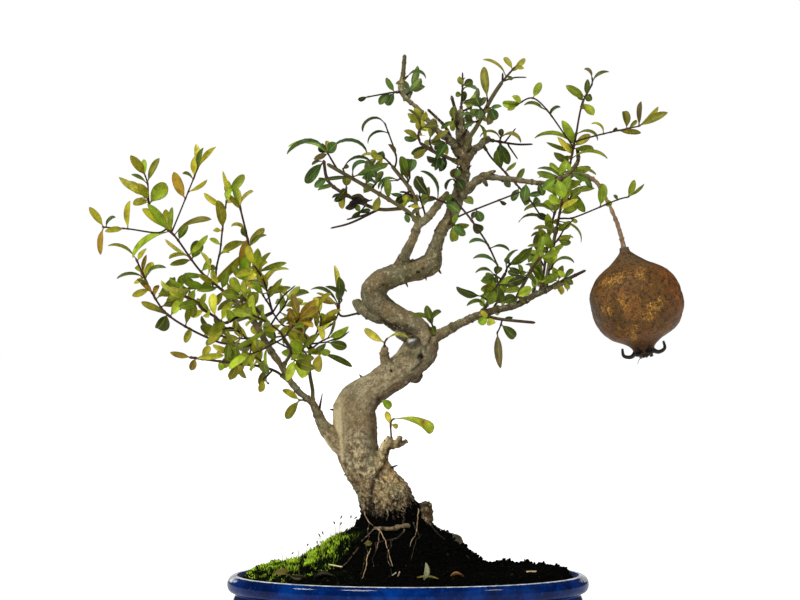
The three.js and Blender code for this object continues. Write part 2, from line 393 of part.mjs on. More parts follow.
      [53, -30, 254]], 1, [[46, 315, 8, 6], [75, 175, 12, 2.5, -70], [80, 355, 13, 2.5, 95],
      [98, 165, 16, 2.5, -80], [44, 60, 6, 3.5]]),
  ]],
  long_cross: [5, [
    twig([[24, -2, 281], [29, -8, 284], [32, -11, 285], [40, -17, 288], [52, -24, 293],
      [66, -32, 298]], 0.9, [[42, 295, 8, 5.5], [72, 335, 5, 2.5]]),
  ]],
  trunk_front_a: [6, [
    twig([[26, -3, 290], [23, -10, 292], [17, -14, 294], [12, -17, 296]], 0.8, [[97, 125, 15, 8],
      [71, 120, 22, 3, -100], [41, 325, 12, 6], [94, 215, 6, 2.5], [38, 60, 6, 4]]),
  ]],
  trunk_front_b: [6, [
    twig([[32, -1, 304], [29, -8, 306], [28, -11, 307]], 0.8, [[88, 305, 8, 5.5], [100, 70, 6, 4],
      [100, 230, 10, 3, -100]]),
  ]],
  trunk_front_c: [6, [
    twig([[33, 0, 312], [30, -6, 313], [29, -9, 314]], 0.8, [[95, 250, 7, 5], [100, 75, 5, 3.5]]),
  ]],
  trunk_front_d: [6, [
    twig([[23, -2, 281], [26, -8, 280], [27, -12, 279]], 0.8, [[95, 0, 10, 3.5], [95, 275, 10, 5.5],
      [100, 320, 10, 5], [75, 65, 7, 3.5]]),
  ]],
  trunk_back: [6.5, [
    twig([[28, -2, 291], [30, 7, 293], [32, 14, 295], [34, 24, 298]], 0.9, [], 3),
  ]],
  upper_left_back: [5, [
    twig([[11, -6, 283], [10, 3, 287], [8, 12, 292], [7, 22, 298]], 0.9, [], 3),
  ]],
  right_tall: [4.5, [
    twig([[81, -16, 240], [83, -13, 250], [86, -10, 265], [89, -8, 279]], 1.5,
      [[55, 160, 16, 4, -70], [70, 20, 14, 4, 70], [62, 110, 11, 5], [88, 170, 14, 4, -60],
      [90, 35, 11, 4.5]]),
    twig([[89, -8, 279], [90, -7, 283], [92, -6, 294], [95, -4, 306], [97, -3, 317], [98, -2, 320],
      [99, -2, 324], [100, -1, 329]], 1.1, [[4, 300, 6, 3.5], [5, 320, 21, 3, 80], [14, 25, 13, 5],
      [19, 30, 12, 3.5], [27, 50, 10, 4], [26, 145, 9, 5.5], [35, 145, 13, 7],
      [49, 150, 21, 3.5, -80], [43, 155, 20, 2.5, -110], [42, 135, 14, 3.5], [60, 20, 15, 4.5],
      [55, 335, 9, 2.5], [52, 45, 8, 3.5], [24, 180, 7, 5.5], [80, 0, 24, 4, 90], [92, 0, 13, 4.5],
      [97, 170, 26, 5, -80], [98, 120, 16, 5.5], [98, 85, 10, 5.5], [86, 105, 8, 4.5],
      [84, 130, 14, 3.5], [84, 205, 8, 3.5], [88, 160, 17, 3], [30, 85, 12, 5], [38, 60, 12, 4.5],
      [45, 20, 13, 4.5], [46, 100, 12, 5], [56, 160, 14, 4.5], [64, 195, 10, 4],
      [66, 350, 17, 4, 60], [75, 150, 12, 4.5], [88, 20, 12, 4.5], [95, 60, 12, 5]]),
    twig([[100, -1, 329], [101, 0, 333], [102, 2, 342], [105, 4, 353], [107, 5, 357], [111, 7, 365],
      [111, 8, 369]], 0.9, [[67, 150, 14, 5], [70, 85, 10, 3.5], [73, 305, 5, 5],
      [58, 310, 10, 5.5], [56, 290, 6, 3.5], [100, 130, 8, 2.5, -75], [89, 35, 14, 2.5, 90],
      [61, 120, 6, 3.5], [12, 345, 16, 3, 110]]),
    twig([[99, -2, 326], [95, -8, 331], [84, -14, 343], [81, -16, 346], [74, -20, 354],
      [69, -22, 352], [63, -24, 349]], 0.8, [[76, 65, 11, 4.5], [90, 180, 12, 5], [91, 150, 7, 4],
      [100, 210, 6, 3], [56, 160, 14, 4, -80], [47, 45, 10, 2.5, 90]]),
    twig([[100, -1, 329], [103, -8, 330], [109, -13, 331], [116, -18, 333], [130, -26, 336],
      [137, -30, 337]], 0.8, [[50, 140, 11, 2.5, -110], [81, 95, 11, 5], [84, 45, 7, 2.5],
      [69, 355, 14, 3.5], [99, 85, 15, 3.5], [100, 45, 17, 3.5], [98, 25, 18, 5], [61, 35, 4, 2.5]]),
    twig([[92, -7, 290], [95, -1, 292], [98, 10, 296], [100, 18, 301]], 0.9, [[97, 300, 15, 5.5],
      [92, 285, 8, 3.5]], 2),
    twig([[90, -8, 283], [93, -13, 283], [97, -16, 283], [106, -21, 287], [115, -26, 290],
      [125, -31, 294], [130, -34, 295]], 0.8, [[61, 85, 14, 6], [98, 70, 11, 4], [100, 40, 12, 2.5],
      [85, 135, 4, 2.5], [66, 20, 5, 3.5], [20, 330, 5, 2.5]]),
    twig([[87, -10, 268], [89, -14, 270], [93, -18, 277], [98, -20, 282]], 0.8, [[23, 350, 8, 5],
      [32, 15, 9, 2.5, -65]]),
    twig([[83, -13, 252], [85, -17, 253], [86, -20, 256]], 0.8, [[51, 85, 13, 4.5], [79, 295, 7, 4],
      [71, 115, 7, 3.5], [98, 5, 15, 2.5, 110], [90, 140, 11, 4.5]]),
  ]],
  right_second: [4.5, [
    twig([[79, -15, 240], [81, -4, 249], [83, 4, 260], [84, 4, 264], [84, 5, 271], [86, 6, 278],
      [89, 8, 287], [91, 10, 295]], 1.2, [[86, 175, 21, 5, -95], [88, 140, 9, 5.5],
      [76, 150, 11, 4.5], [75, 175, 22, 3, -95], [62, 175, 12, 3, -90], [76, 30, 5, 3],
      [66, 35, 7, 3.5], [93, 55, 6, 3], [55, 120, 12, 5], [48, 30, 12, 4.5], [40, 160, 13, 4, -70],
      [68, 100, 11, 5]], 2),
    twig([[82, 0, 254], [80, 6, 257], [79, 12, 260], [78, 17, 263]], 0.8, [[82, 155, 5, 3.5],
      [70, 50, 8, 3.5]], 1),
  ]],
  right_axil: [4.5, [
    twig([[81, -16, 240], [80, -21, 243], [79, -24, 246]], 0.8, [[72, 125, 13, 7],
      [89, 135, 16, 2.5, -100], [79, 40, 6, 3.5], [60, 60, 11, 5]], 1),
  ]],
  right_end_front: [4, [
    twig([[91, -19, 245], [92, -24, 247], [93, -28, 248]], 0.8, [[82, 320, 6, 3.5],
      [72, 290, 7, 3.5], [60, 45, 8, 3.5], [100, 140, 6, 3.5]]),
  ]],
  right_end_back: [4, [
    twig([[87, -18, 243], [88, -12, 245], [90, -8, 246]], 0.8, [[66, 290, 8, 3.5],
      [89, 315, 9, 2.5, 45], [78, 140, 7, 3.5]], 1),
  ]],
  right_rise: [4.5, [
    twig([[43, -6, 225], [48, -2, 234], [52, 2, 241], [56, 5, 247], [59, 8, 251]], 1.4,
      [[60, 120, 12, 5], [75, 200, 12, 5]]),
    twig([[59, 8, 251], [60, 9, 254], [62, 12, 257], [65, 15, 259]], 0.9, [[40, 40, 18, 5.5],
      [64, 35, 14, 6], [11, 60, 16, 3, 90], [54, 125, 5, 3.5], [31, 335, 9, 3.5]]),
    twig([[56, 5, 247], [53, 1, 249], [51, -3, 250]], 0.8, [[91, 175, 13, 3.5, -110],
      [86, 205, 10, 6], [65, 65, 6, 5], [70, 285, 5, 3.5]]),
    twig([[52, 2, 241], [53, -5, 243], [54, -10, 244]], 0.8, [[98, 262, 11, 9.5],
      [100, 20, 11, 4.5], [84, 5, 15, 3.5]]),
    twig([[48, -2, 234], [45, -8, 236], [43, -12, 237]], 0.8, [[92, 160, 16, 6.5], [79, 50, 7, 6],
      [79, 275, 6, 3.5]]),
    twig([[46, -4, 230], [46, -11, 230], [48, -15, 231]], 0.8, [[85, 65, 10, 5.5],
      [60, 175, 13, 2.5, -95]]),
  ]],
  right_middle: [4.5, [
    twig([[62, -11, 231], [66, -20, 240], [70, -27, 247], [73, -32, 253], [78, -38, 260]], 1.3,
      [[70, 60, 14, 5], [60, 200, 13, 5], [95, 80, 14, 4.5], [100, 20, 12, 4]], 2),
    twig([[66, -20, 240], [64, -25, 237], [64, -28, 236]], 0.8, [[100, 35, 10, 5.5],
      [96, 200, 9, 6], [80, 315, 6, 3.5]]),
    twig([[70, -27, 247], [67, -32, 249], [65, -35, 249]], 0.8, [[79, 160, 8, 3.5],
      [89, 330, 12, 2.5, 90], [79, 95, 7, 3.5], [89, 25, 7, 3.5]]),
  ]],
  right_cut: [4.5, [
    twig([[45, -6, 225], [55, -14, 223], [65, -20, 222], [75, -25, 221]], 1.3),
    twig([[50, -10, 224], [49, -15, 224], [47, -19, 224]], 0.8, [[78, 305, 5, 5.5], [78, 210, 7, 5],
      [91, 135, 6, 3.5]]),
    twig([[56, -15, 223], [56, -9, 222], [55, -4, 218], [53, -3, 214]], 0.8, [[55, 315, 12, 6],
      [30, 15, 7, 2.5], [100, 275, 22, 5]]),
  ]],
  right_back_a: [4.5, [
    twig([[51, -8, 228], [52, 2, 231], [55, 14, 234], [58, 24, 239]], 0.9, [], 4),
  ]],
  right_back_b: [4.5, [
    twig([[73, -14, 236], [75, -4, 239], [77, 8, 243], [78, 18, 248]], 0.9, [], 3),
  ]],
  turn_front: [5.5, [
    twig([[15, 4, 212], [16, -4, 215], [15, -12, 219], [13, -18, 223]], 0.9, [], 2),
  ]],
};

// Loose leaves on the soil: [x, y, heading, length, width, roll]
const FALLEN_LEAVES = [
  [5, -60, 10, 13, 5, 10], [-44, -50, 170, 10, 6, 0], [33, -50, 200, 9, 5, 15],
];

// ---------------------------------------------------------------- small helpers
const wasm = await Module();
wasm.setup();

const UP = new THREE.Vector3(0, 0, 1);
const FRONT = new THREE.Vector3(0, -1, 0);
const vec = (p) => new THREE.Vector3(p[0], p[1], p[2]);
const radians = (degrees) => degrees * Math.PI / 180;

// The same seed gives the same draws each time.
function seededDraw(seed) {
  let state = seed >>> 0;
  return () => {
    state = (state + 0x6d2b79f5) >>> 0;
    let mixed = Math.imul(state ^ (state >>> 15), state | 1);
    mixed = (mixed + Math.imul(mixed ^ (mixed >>> 7), mixed | 61)) ^ mixed;
    return ((mixed ^ (mixed >>> 14)) >>> 0) / 4294967296;
  };
}

function geometryOf(points, triangles) {
  const geometry = new THREE.BufferGeometry();
  geometry.setAttribute("position", new THREE.Float32BufferAttribute(points.flat(), 3));
  geometry.setIndex(triangles.flat());
  return geometry;
}

function solidOf(geometry) {
  const plain = geometry.clone();
  plain.deleteAttribute("normal");
  plain.deleteAttribute("uv");
  const merged = mergeVertices(plain, 1e-4);
  return new wasm.Manifold(new wasm.Mesh({
    numProp: 3,
    vertProperties: new Float32Array(merged.attributes.position.array),
    triVerts: new Uint32Array(merged.index.array),
  }));
}

function geometryOfSolid(solid) {
  const mesh = solid.getMesh();
  const geometry = new THREE.BufferGeometry();
  geometry.setAttribute("position", new THREE.BufferAttribute(mesh.vertProperties, 3));
  geometry.setIndex(new THREE.BufferAttribute(mesh.triVerts, 1));
  return geometry;
}

const fuse = (solids) => solids.reduce((joined, solid) => joined.add(solid));

// A solid skin over rings of points that all have the same count, closed by flat ends.
function loft(rings) {
  const sides = rings[0].length;
  const points = rings.flat();
  const triangles = [];
  for (let r = 0; r + 1 < rings.length; r += 1) {
    for (let k = 0; k < sides; k += 1) {
      const next = (k + 1) % sides;
      const low = r * sides;
      const high = low + sides;
      triangles.push([low + k, low + next, high + next], [low + k, high + next, high + k]);
    }
  }
  const top = (rings.length - 1) * sides;
  for (let k = 1; k + 1 < sides; k += 1) {
    triangles.push([0, k + 1, k], [top, top + k, top + k + 1]);
  }
  return geometryOf(points, triangles);
}

// A round limb through points [x, y, z], with a radius for each, turned without twist.
function limb(points, radii, sides) {
  const centres = points.map(vec);
  const last = centres.length - 1;
  const heading = (i) => {
    const before = centres[Math.max(i - 1, 0)];
    const after = centres[Math.min(i + 1, last)];
    return after.clone().sub(before).normalize();
  };
  let across = new THREE.Vector3(0, 1, 0);
  if (Math.abs(heading(0).y) > 0.9) across.set(1, 0, 0);
  const rings = centres.map((centre, i) => {
    const along = heading(i);
    across = across.clone().addScaledVector(along, -across.dot(along)).normalize();
    const side = along.clone().cross(across);
    return Array.from({ length: sides }, (unused, k) => {
      const turn = 2 * Math.PI * k / sides;
      return centre.clone()
        .addScaledVector(across, radii[i] * Math.cos(turn))
        .addScaledVector(side, radii[i] * Math.sin(turn)).toArray();
    });
  });
  return loft(rings);
}

// ---------------------------------------------------------------- leaves
// The middle line of a leaf bows towards its face by the arch angle, and its chord keeps the
// leaf's own direction.
function leafPoint(leaf, share) {
  const steps = 6;
  const point = leaf.base.clone();
  const chord = new THREE.Vector3();
  for (let i = 0; i < steps; i += 1) {
    const turn = leaf.arch * (0.5 - (i + 0.5) / steps * share);
    chord.addScaledVector(leaf.along, Math.cos(turn)).addScaledVector(leaf.face, Math.sin(turn));
  }
  return point.addScaledVector(chord, leaf.length * share / steps);
}

// Half the blade's width, with a narrow stalk and the widest place past the middle.
function leafHalfWidth(leaf, share) {
  const body = Math.sin(Math.PI * Math.pow(Math.min(share, 1), 0.85));
  return Math.max(STALK_HALF_WIDTH, leaf.width / 2 * Math.pow(Math.max(body, 0), 0.8));
}

// Small flat leaves have one row of corners and the others two.
const leafRows = (leaf) =>
  (leaf.width < 7 && leaf.length < 20 && leaf.arch < 1 ? [0.46] : [0.34, 0.74]);

function leafSolid(leaf) {
  const side = leaf.along.clone().cross(leaf.face);
  const points = [leaf.base.toArray()];
  const rows = leafRows(leaf);
  rows.forEach((share) => {
    const middle = leafPoint(leaf, share);
    const half = leafHalfWidth(leaf, share);
    points.push(
      middle.clone().addScaledVector(side, half).toArray(),
      middle.clone().addScaledVector(leaf.face, -BLADE_DEPTH).toArray(),
      middle.clone().addScaledVector(side, -half).toArray(),
    );
  });
  points.push(leafPoint(leaf, 1).toArray());
  const tip = points.length - 1;
  const triangles = [];
  for (let k = 0; k < 3; k += 1) {
    const next = (k + 1) % 3;
    triangles.push([0, 1 + next, 1 + k], [tip - 3 + k, tip - 3 + next, tip]);
    for (let low = 1; low + 3 < tip; low += 3) {
      triangles.push([low + k, low + next, low + 3 + next], [low + k, low + 3 + next, low + 3 + k]);
    }
  }
  return solidOf(geometryOf(points, triangles));
}

// Points all over a leaf, by which it is kept clear of the others.
function leafSamples(leaf) {
  const side = leaf.along.clone().cross(leaf.face);
  const rows = Math.max(4, Math.ceil(leaf.length / 2.4));
  const columns = leaf.width > 4.4 ? [-1, -0.5, 0, 0.5, 1] : [-1, 0, 1];
  const samples = [];
  for (let i = 1; i <= rows; i += 1) {
    const share = 0.22 + 0.78 * i / rows;
    const middle = leafPoint(leaf, share);
    const half = leafHalfWidth(leaf, share);
    columns.forEach((c) => samples.push(middle.clone().addScaledVector(side, half * c)));
  }
  return samples;
}

// ---------------------------------------------------------------- keeping pieces clear
const placedLeaves = [];
const woodSegments = [];

function addWood(points, radii, owner) {
  for (let i = 0; i + 1 < points.length; i += 1) {
    woodSegments.push({
      a: vec(points[i]), b: vec(points[i + 1]), radius: Math.max(radii[i], radii[i + 1]), owner,
    });
  }
}

function distanceToSegment(point, segment) {
  const run = segment.b.clone().sub(segment.a);
  const share = point.clone().sub(segment.a).dot(run) / run.lengthSq();
  return segment.a.clone().addScaledVector(run, THREE.MathUtils.clamp(share, 0, 1))
    .distanceTo(point);
}

function isClear(samples, owner, base) {
  const reach = Math.max(...samples.map((p) => p.distanceTo(base)));
  for (const other of placedLeaves) {
    if (other.centre.distanceTo(base) > reach + other.reach + LEAF_CLEARANCE) continue;
    for (const p of samples) {
      for (const q of other.samples) if (p.distanceTo(q) < LEAF_CLEARANCE) return false;
    }
  }
  for (const segment of woodSegments) {
    const nearOwnRoot = segment.owner === owner;
    for (const p of samples) {
      if (nearOwnRoot && p.distanceTo(base) < 4.5) continue;
      if (distanceToSegment(p, segment) < segment.radius + WOOD_CLEARANCE) return false;
    }
  }
  return samples.every((p) => p.z > 76);
}

// A leaf that curls edge on is turned this far from facing the front, and is this wide at
// least. A leaf that leans away is longer, so that it looks no shorter from the front.
const EDGE_TILT = 60;
const EDGE_WIDTH = 3.6;
const LEAST_SHORTENING = 0.78;

// Leans that are tried in turn until the leaf is clear of everything round it.
const LEAN_TRIES = [0, 16, -16, 32, -32, 48, -48, 64, -64];
const TURN_TRIES = [0, 25, -25];

function directionOf(heading, lean) {
  const h = radians(heading);
  const l = radians(lean);
  return new THREE.Vector3(Math.cos(h) * Math.cos(l), -Math.sin(l), Math.sin(h) * Math.cos(l));
}

function faceOf(along, wanted, roll) {
  let face = wanted.clone().addScaledVector(along, -wanted.dot(along));
  if (face.length() < 0.2) face = UP.clone().addScaledVector(along, -along.z);
  face.normalize();
  const side = along.clone().cross(face);
  return face.multiplyScalar(Math.cos(radians(roll))).addScaledVector(side, Math.sin(radians(roll)));
}

function tryLeaf(leaf, owner) {
  const samples = leafSamples(leaf);
  if (!isClear(samples, owner, leaf.base)) return false;
  const reach = Math.max(...samples.map((p) => p.distanceTo(leaf.base)));
  placedLeaves.push({ centre: leaf.base, reach, samples });
  return true;
}

// A leaf that is set by hand: it keeps its heading in the front view and leans until clear.
function placeSetLeaf(spec, base, owner, draw) {
  const [, heading, length, width, archTurn = 0] = spec;
  const lean = 50 * (draw() - 0.5);
  const roll = 60 * (draw() - 0.5);
  const droop = 15 + 30 * draw();
  const edgeOn = archTurn !== 0;
  const tilt = width > 5 ? 50 : EDGE_TILT;
  const arch = radians(edgeOn ? Math.abs(archTurn) : droop);
  for (const turn of TURN_TRIES) {
    for (const extra of LEAN_TRIES) {
      const away = (edgeOn ? 0.4 * lean : lean) + extra;
      const along = directionOf(heading + turn, away);
      const face = faceOf(along, FRONT, edgeOn ? -tilt * Math.sign(archTurn) : roll);
      const leaf = {
        base, along, face, arch,
        length: length / Math.max(Math.cos(radians(away)), LEAST_SHORTENING),
        width: Math.max(width, edgeOn ? EDGE_WIDTH : 0),
      };
      if (tryLeaf(leaf, owner)) return leaf;
    }
  }
  return null;
}

// Leaves set by the rule: in pairs, each pair turned a quarter from the last, face upwards.
function placePairs(branch, owner, draw) {
  const found = [];
  for (let i = 0; i < branch.pairs; i += 1) {
    const bare = Math.max(0.25, bareShare(owner, branch));
    const share = bare + (1 - bare) * (i + 1) / branch.pairs;
    const { point, along: stem } = alongPath(branch.path, leafShare(owner, branch, share));
    const across = faceOf(stem, UP, 0);
    const side = stem.clone().cross(across);
    const quarter = i * Math.PI / 2 + draw();
    for (const half of [0, Math.PI]) {
      const spread = radians(40 + 25 * draw());
      const length = PAIR_LENGTH * (0.8 + 0.4 * draw());
      const width = PAIR_WIDTH * (0.75 + 0.4 * draw());
      const roll = 50 * (draw() - 0.5);
      const arch = radians(10 + 35 * draw());
      for (const extra of [0, 0.35, -0.35, 0.7, -0.7, 1.05]) {
        const turn = quarter + half + extra;
        const out = across.clone().multiplyScalar(Math.cos(turn))
          .addScaledVector(side, Math.sin(turn));
        const along = stem.clone().multiplyScalar(Math.cos(spread))
          .addScaledVector(out, Math.sin(spread));
        const face = faceOf(along, stem, roll);
        const leaf = { base: point, along, face, length, width, arch };
        if (tryLeaf(leaf, owner)) {
          found.push(leaf);
          break;
        }
      }
    }
  }
  return found;
}

// The share of a twig that is left bare because its stub on the trunk takes it up.
function bareShare(owner, branch) {
  const [stub, branches] = SPRAYS[owner];
  if (branch !== branches[0]) return 0;
  return (stub + TIP_GAP + 1) / pathLength(branch.path);
}

// A leaf's root stays inside the twig: past the stub and a little before the end.
const leafShare = (owner, branch, share) =>
  Math.max(Math.min(share, 1 - 1 / pathLength(branch.path)), bareShare(owner, branch));

function pathLength(path) {
  return path.slice(1).reduce((sum, p, i) => sum + vec(p).distanceTo(vec(path[i])), 0);
}

function alongPath(path, share) {
  const points = path.map(vec);
  const lengths = points.slice(1).map((p, i) => p.distanceTo(points[i]));
  let rest = share * lengths.reduce((sum, l) => sum + l, 0);
  let i = 0;
  while (i < lengths.length - 1 && rest > lengths[i]) {
    rest -= lengths[i];
    i += 1;
  }
  const along = points[i + 1].clone().sub(points[i]).normalize();
  return { point: points[i].clone().addScaledVector(along, rest), along };
}

// ---------------------------------------------------------------- sprays
// The first stretch of a spray's first twig, as long as its stub, belongs to the trunk.
function splitStub(path, stub) {
  const root = vec(path[0]);
  const along = vec(path[1]).sub(root).normalize();
  const joint = root.clone().addScaledVector(along, stub);
  const start = joint.clone().addScaledVector(along, TIP_GAP);
  const kept = path.slice(1).map(vec);
  while (kept.length > 1 && kept[0].distanceTo(root) < stub + 1) kept.shift();
  return {
    stub: [root.toArray(), joint.toArray()],
    rest: [start.toArray(), ...kept.map((p) => p.toArray())],
  };
}

const taperedRadii = (points, radius) =>
  points.map((p, i) => radius * (1 - (1 - TWIG_TAPER) * i / (points.length - 1)));

const trunkRadii = (points) => points.map((p) => p[3]);

function registerWood() {
  addWood(TRUNK, trunkRadii(TRUNK), "trunk");
  Object.values(LIMBS).forEach((points) => addWood(points, trunkRadii(points), "trunk"));
  Object.entries(SPRAYS).forEach(([name, [stub, branches]]) => {
    branches.forEach((branch, i) => {
      const points = i === 0 ? splitStub(branch.path, stub).rest : branch.path;
      addWood(points, taperedRadii(points, branch.radius), name);
    });
  });
  const fruitDown = new THREE.Vector3(Math.sin(radians(FRUIT_LEAN)), 0, -Math.cos(radians(FRUIT_LEAN)));
  const fruitMiddle = vec(FRUIT_TOP).addScaledVector(fruitDown, 32).toArray();
  const fruitEnd = vec(FRUIT_TOP).addScaledVector(fruitDown, 34).toArray();
  addWood([fruitMiddle, fruitEnd], [29, 29], "fruit");
}

function growLeaves() {
  const draw = seededDraw(SEED);
  const grown = {};
  for (const [name, [, branches]] of Object.entries(SPRAYS)) {
    grown[name] = [];
    for (const branch of branches) {
      for (const spec of branch.leaves) {
        const { point } = alongPath(branch.path, leafShare(name, branch, spec[0] / 100));
        const leaf = placeSetLeaf(spec, point, name, draw);
        if (leaf) grown[name].push(leaf);
      }
    }
  }
  for (const [name, [, branches]] of Object.entries(SPRAYS)) {
    for (const branch of branches) grown[name].push(...placePairs(branch, name, draw));
  }
  return grown;
}

function spraySolid(name, leaves) {
  const [stub, branches] = SPRAYS[name];
  const solids = branches.map((branch, i) => {
    const points = i === 0 ? splitStub(branch.path, stub).rest : branch.path;
    return solidOf(limb(points, taperedRadii(points, branch.radius), TWIG_SIDES));
  });
  const grown = leaves.filter((leaf) => leaf.length >= SMALLEST_LEAF);
  return fuse([...solids, ...grown.map(leafSolid)]);
}

// ---------------------------------------------------------------- pot
// Points of the wall as [radius at the long axis, height], up the outside and down the inside.
const POT_OUTSIDE = [[0, 0], [80, 0], [83, 6], [96, 30], [104.8, 54], [103.4, 58.2],
  [107.4, 60.4], [POT_LENGTH / 2, 64.5], [107.2, 68.2], [103.5, POT_HEIGHT]];
const POT_INSIDE = [[99.5, 68], [95, 48], [76, 8], [0, 8]];
const ovalShare = POT_DEPTH / POT_LENGTH;

function ovalLathe(profile) {
  const geometry = new THREE.LatheGeometry(profile.map(([r, z]) => new THREE.Vector2(r, z)), POT_SIDES);
  geometry.rotateX(Math.PI / 2);
  geometry.scale(1, ovalShare, 1);
  return solidOf(geometry);
}

const potSolid = () => ovalLathe([...POT_OUTSIDE, ...POT_INSIDE]);

// ---------------------------------------------------------------- soil and moss
const lump = (x, y) => SOIL_LUMP * (Math.sin(0.31 * x + 1.3) * Math.cos(0.27 * y)
  + 0.6 * Math.sin(0.19 * (x + y)));

function soilHeight(x, y) {
  const fromFoot = Math.hypot(x - MOUND_CENTRE[0], (y - MOUND_CENTRE[1]) / MOUND_DEPTH_SHARE);
  const toWall = 1 - Math.hypot(x / POT_INSIDE[0][0], y / (POT_INSIDE[0][0] * ovalShare));
  const bank = SOIL_BANK * THREE.MathUtils.smoothstep(toWall, 0, 0.12);
  const rough = toWall > 0.03 ? lump(x, y) : 0;
  const mound = MOUND_HEIGHT * Math.exp(-((fromFoot / MOUND_REACH) ** 4));
  const foot = FOOT_HEIGHT * Math.exp(-((fromFoot / FOOT_REACH) ** 4));
  return SOIL_EDGE + bank + rough + mound + foot;
}

// A point on the soil: which of the pot's sides it faces, and how far out from the foot.
function soilPoint(side, ring) {
  const turn = 2 * Math.PI * side / POT_SIDES;
  const share = ring / SOIL_RINGS;
  const wall = POT_INSIDE[0][0] - FIT_GAP - 0.3;
  const x = MOUND_CENTRE[0] + share * (wall * Math.cos(turn) - MOUND_CENTRE[0]);
  const y = MOUND_CENTRE[1] + share * (wall * ovalShare * Math.sin(turn) - MOUND_CENTRE[1]);
  return [x, y, ring === SOIL_RINGS ? SOIL_EDGE : soilHeight(x, y)];
}

function soilSolid() {
  const points = [[...MOUND_CENTRE, soilHeight(...MOUND_CENTRE)]];
  const triangles = [];
  const rings = [];
  for (let ring = 1; ring <= SOIL_RINGS; ring += 1) {
    rings.push(Array.from({ length: POT_SIDES }, (unused, side) => soilPoint(side, ring)));
  }
  POT_INSIDE.slice(1, -1).forEach(([radius, height]) => {
    rings.push(Array.from({ length: POT_SIDES }, (unused, side) => {
      const turn = 2 * Math.PI * side / POT_SIDES;
      const wall = radius - FIT_GAP;
      return [wall * Math.cos(turn), wall * ovalShare * Math.sin(turn), height + FIT_GAP];
    }));
  });
  rings.forEach((ring) => points.push(...ring));
  const under = points.length;
  points.push([0, 0, POT_INSIDE.at(-1)[1] + FIT_GAP]);
  for (let k = 0; k < POT_SIDES; k += 1) {
    const next = (k + 1) % POT_SIDES;
    triangles.push([0, 1 + k, 1 + next]);
    for (let r = 0; r + 1 < rings.length; r += 1) {
      const near = 1 + r * POT_SIDES;
      const far = near + POT_SIDES;
      triangles.push([near + k, far + k, far + next], [near + k, far + next, near + next]);
    }
    const foot = 1 + (rings.length - 1) * POT_SIDES;
    triangles.push([under, foot + next, foot + k]);
  }
  return solidOf(geometryOf(points, triangles));
}

// The moss lies on the soil's left bank and takes the soil's own facets as its underside.
function mossSolid() {
  const firstSide = 12;
  const lastSide = 20;
  const firstRing = 2;
  const lastRing = SOIL_RINGS;
  const draw = seededDraw(SEED + 5);
  const under = [];
  const over = [];
  for (let side = firstSide; side <= lastSide; side += 1) {
    for (let ring = firstRing; ring < lastRing; ring += 1) {
      const [x, y, z] = soilPoint(side, ring);
      const edge = side === firstSide || side === lastSide || ring === firstRing
        || ring === lastRing - 1;
      const rise = edge ? 1.2 : MOSS_THICKNESS + MOSS_BUMP * draw();
      under.push([x, y, z + FIT_GAP]);
      over.push([x, y, z + FIT_GAP + rise]);
    }
  }
  const rows = lastRing - firstRing;
  const columns = lastSide - firstSide + 1;
  const count = under.length;
  const triangles = [];
  for (let i = 0; i + 1 < columns; i += 1) {
    for (let j = 0; j + 1 < rows; j += 1) {
      const near = i * rows + j;
      const nextSide = near + rows;
      triangles.push([near, near + 1, nextSide + 1], [near, nextSide + 1, nextSide]);
      triangles.push([near + count, nextSide + 1 + count, near + 1 + count]);
      triangles.push([near + count, nextSide + count, nextSide + 1 + count]);
    }
  }
  const border = [];
  for (let j = 0; j < rows; j += 1) border.push(j);
  for (let i = 1; i < columns; i += 1) border.push(i * rows + rows - 1);
  for (let j = rows - 2; j >= 0; j -= 1) border.push((columns - 1) * rows + j);
  for (let i = columns - 2; i > 0; i -= 1) border.push(i * rows);
  border.forEach((here, i) => {
    const next = border[(i + 1) % border.length];
    triangles.push([here, next + count, next], [here, here + count, next + count]);
  });
  const outwards = triangles.map(([a, b, c]) => [a, c, b]);
  return solidOf(geometryOf([...under, ...over], outwards));
}

// ---------------------------------------------------------------- trunk
// How high the soil's faceted top is at x, y.
function soilTopFinder(soilMesh) {
  const ray = new THREE.Raycaster();
  return (x, y) => {
    ray.set(new THREE.Vector3(x, y, POT_HEIGHT * 3), new THREE.Vector3(0, 0, -1));
    const hits = ray.intersectObject(soilMesh);
    return hits.length ? hits[0].point.z : SOIL_EDGE;
  };
}

const limbSides = (points) => (points[0][3] > 6 ? 8 : points[0][3] > 3.3 ? 6 : 4);

function trunkSolid(topAt) {
  const main = withoutStraightPoints(TRUNK);
  const solids = [solidOf(limb(main, trunkRadii(main), TRUNK_SIDES))];
  Object.values(LIMBS).map(withoutStraightPoints).forEach((points) => {
    solids.push(solidOf(limb(points, trunkRadii(points), limbSides(points))));
  });
  THORNS.forEach(([root, tip, radius]) => {
    solids.push(solidOf(limb([root, tip], [radius, radius * 0.3], TWIG_SIDES)));
  });
  Object.values(SPRAYS).forEach(([stub, branches]) => {
    const points = splitStub(branches[0].path, stub).stub;
    const radius = branches[0].radius;
    solids.push(solidOf(limb(points, [radius * 1.25, radius], STUB_SIDES)));
  });
  ROOTS.forEach((root) => {
    const halfway = root[0].map((v, k) => (v + root[1][k]) / 2);
    const bent = [root[0], halfway, ...root.slice(1)];
    const points = bent.map(([x, y, r]) => [x, y, topAt(x, y) + r + ROOT_LIFT]);
    solids.push(solidOf(limb(points, bent.map((p) => p[2]), TWIG_SIDES)));
  });
  return fuse(solids);
}

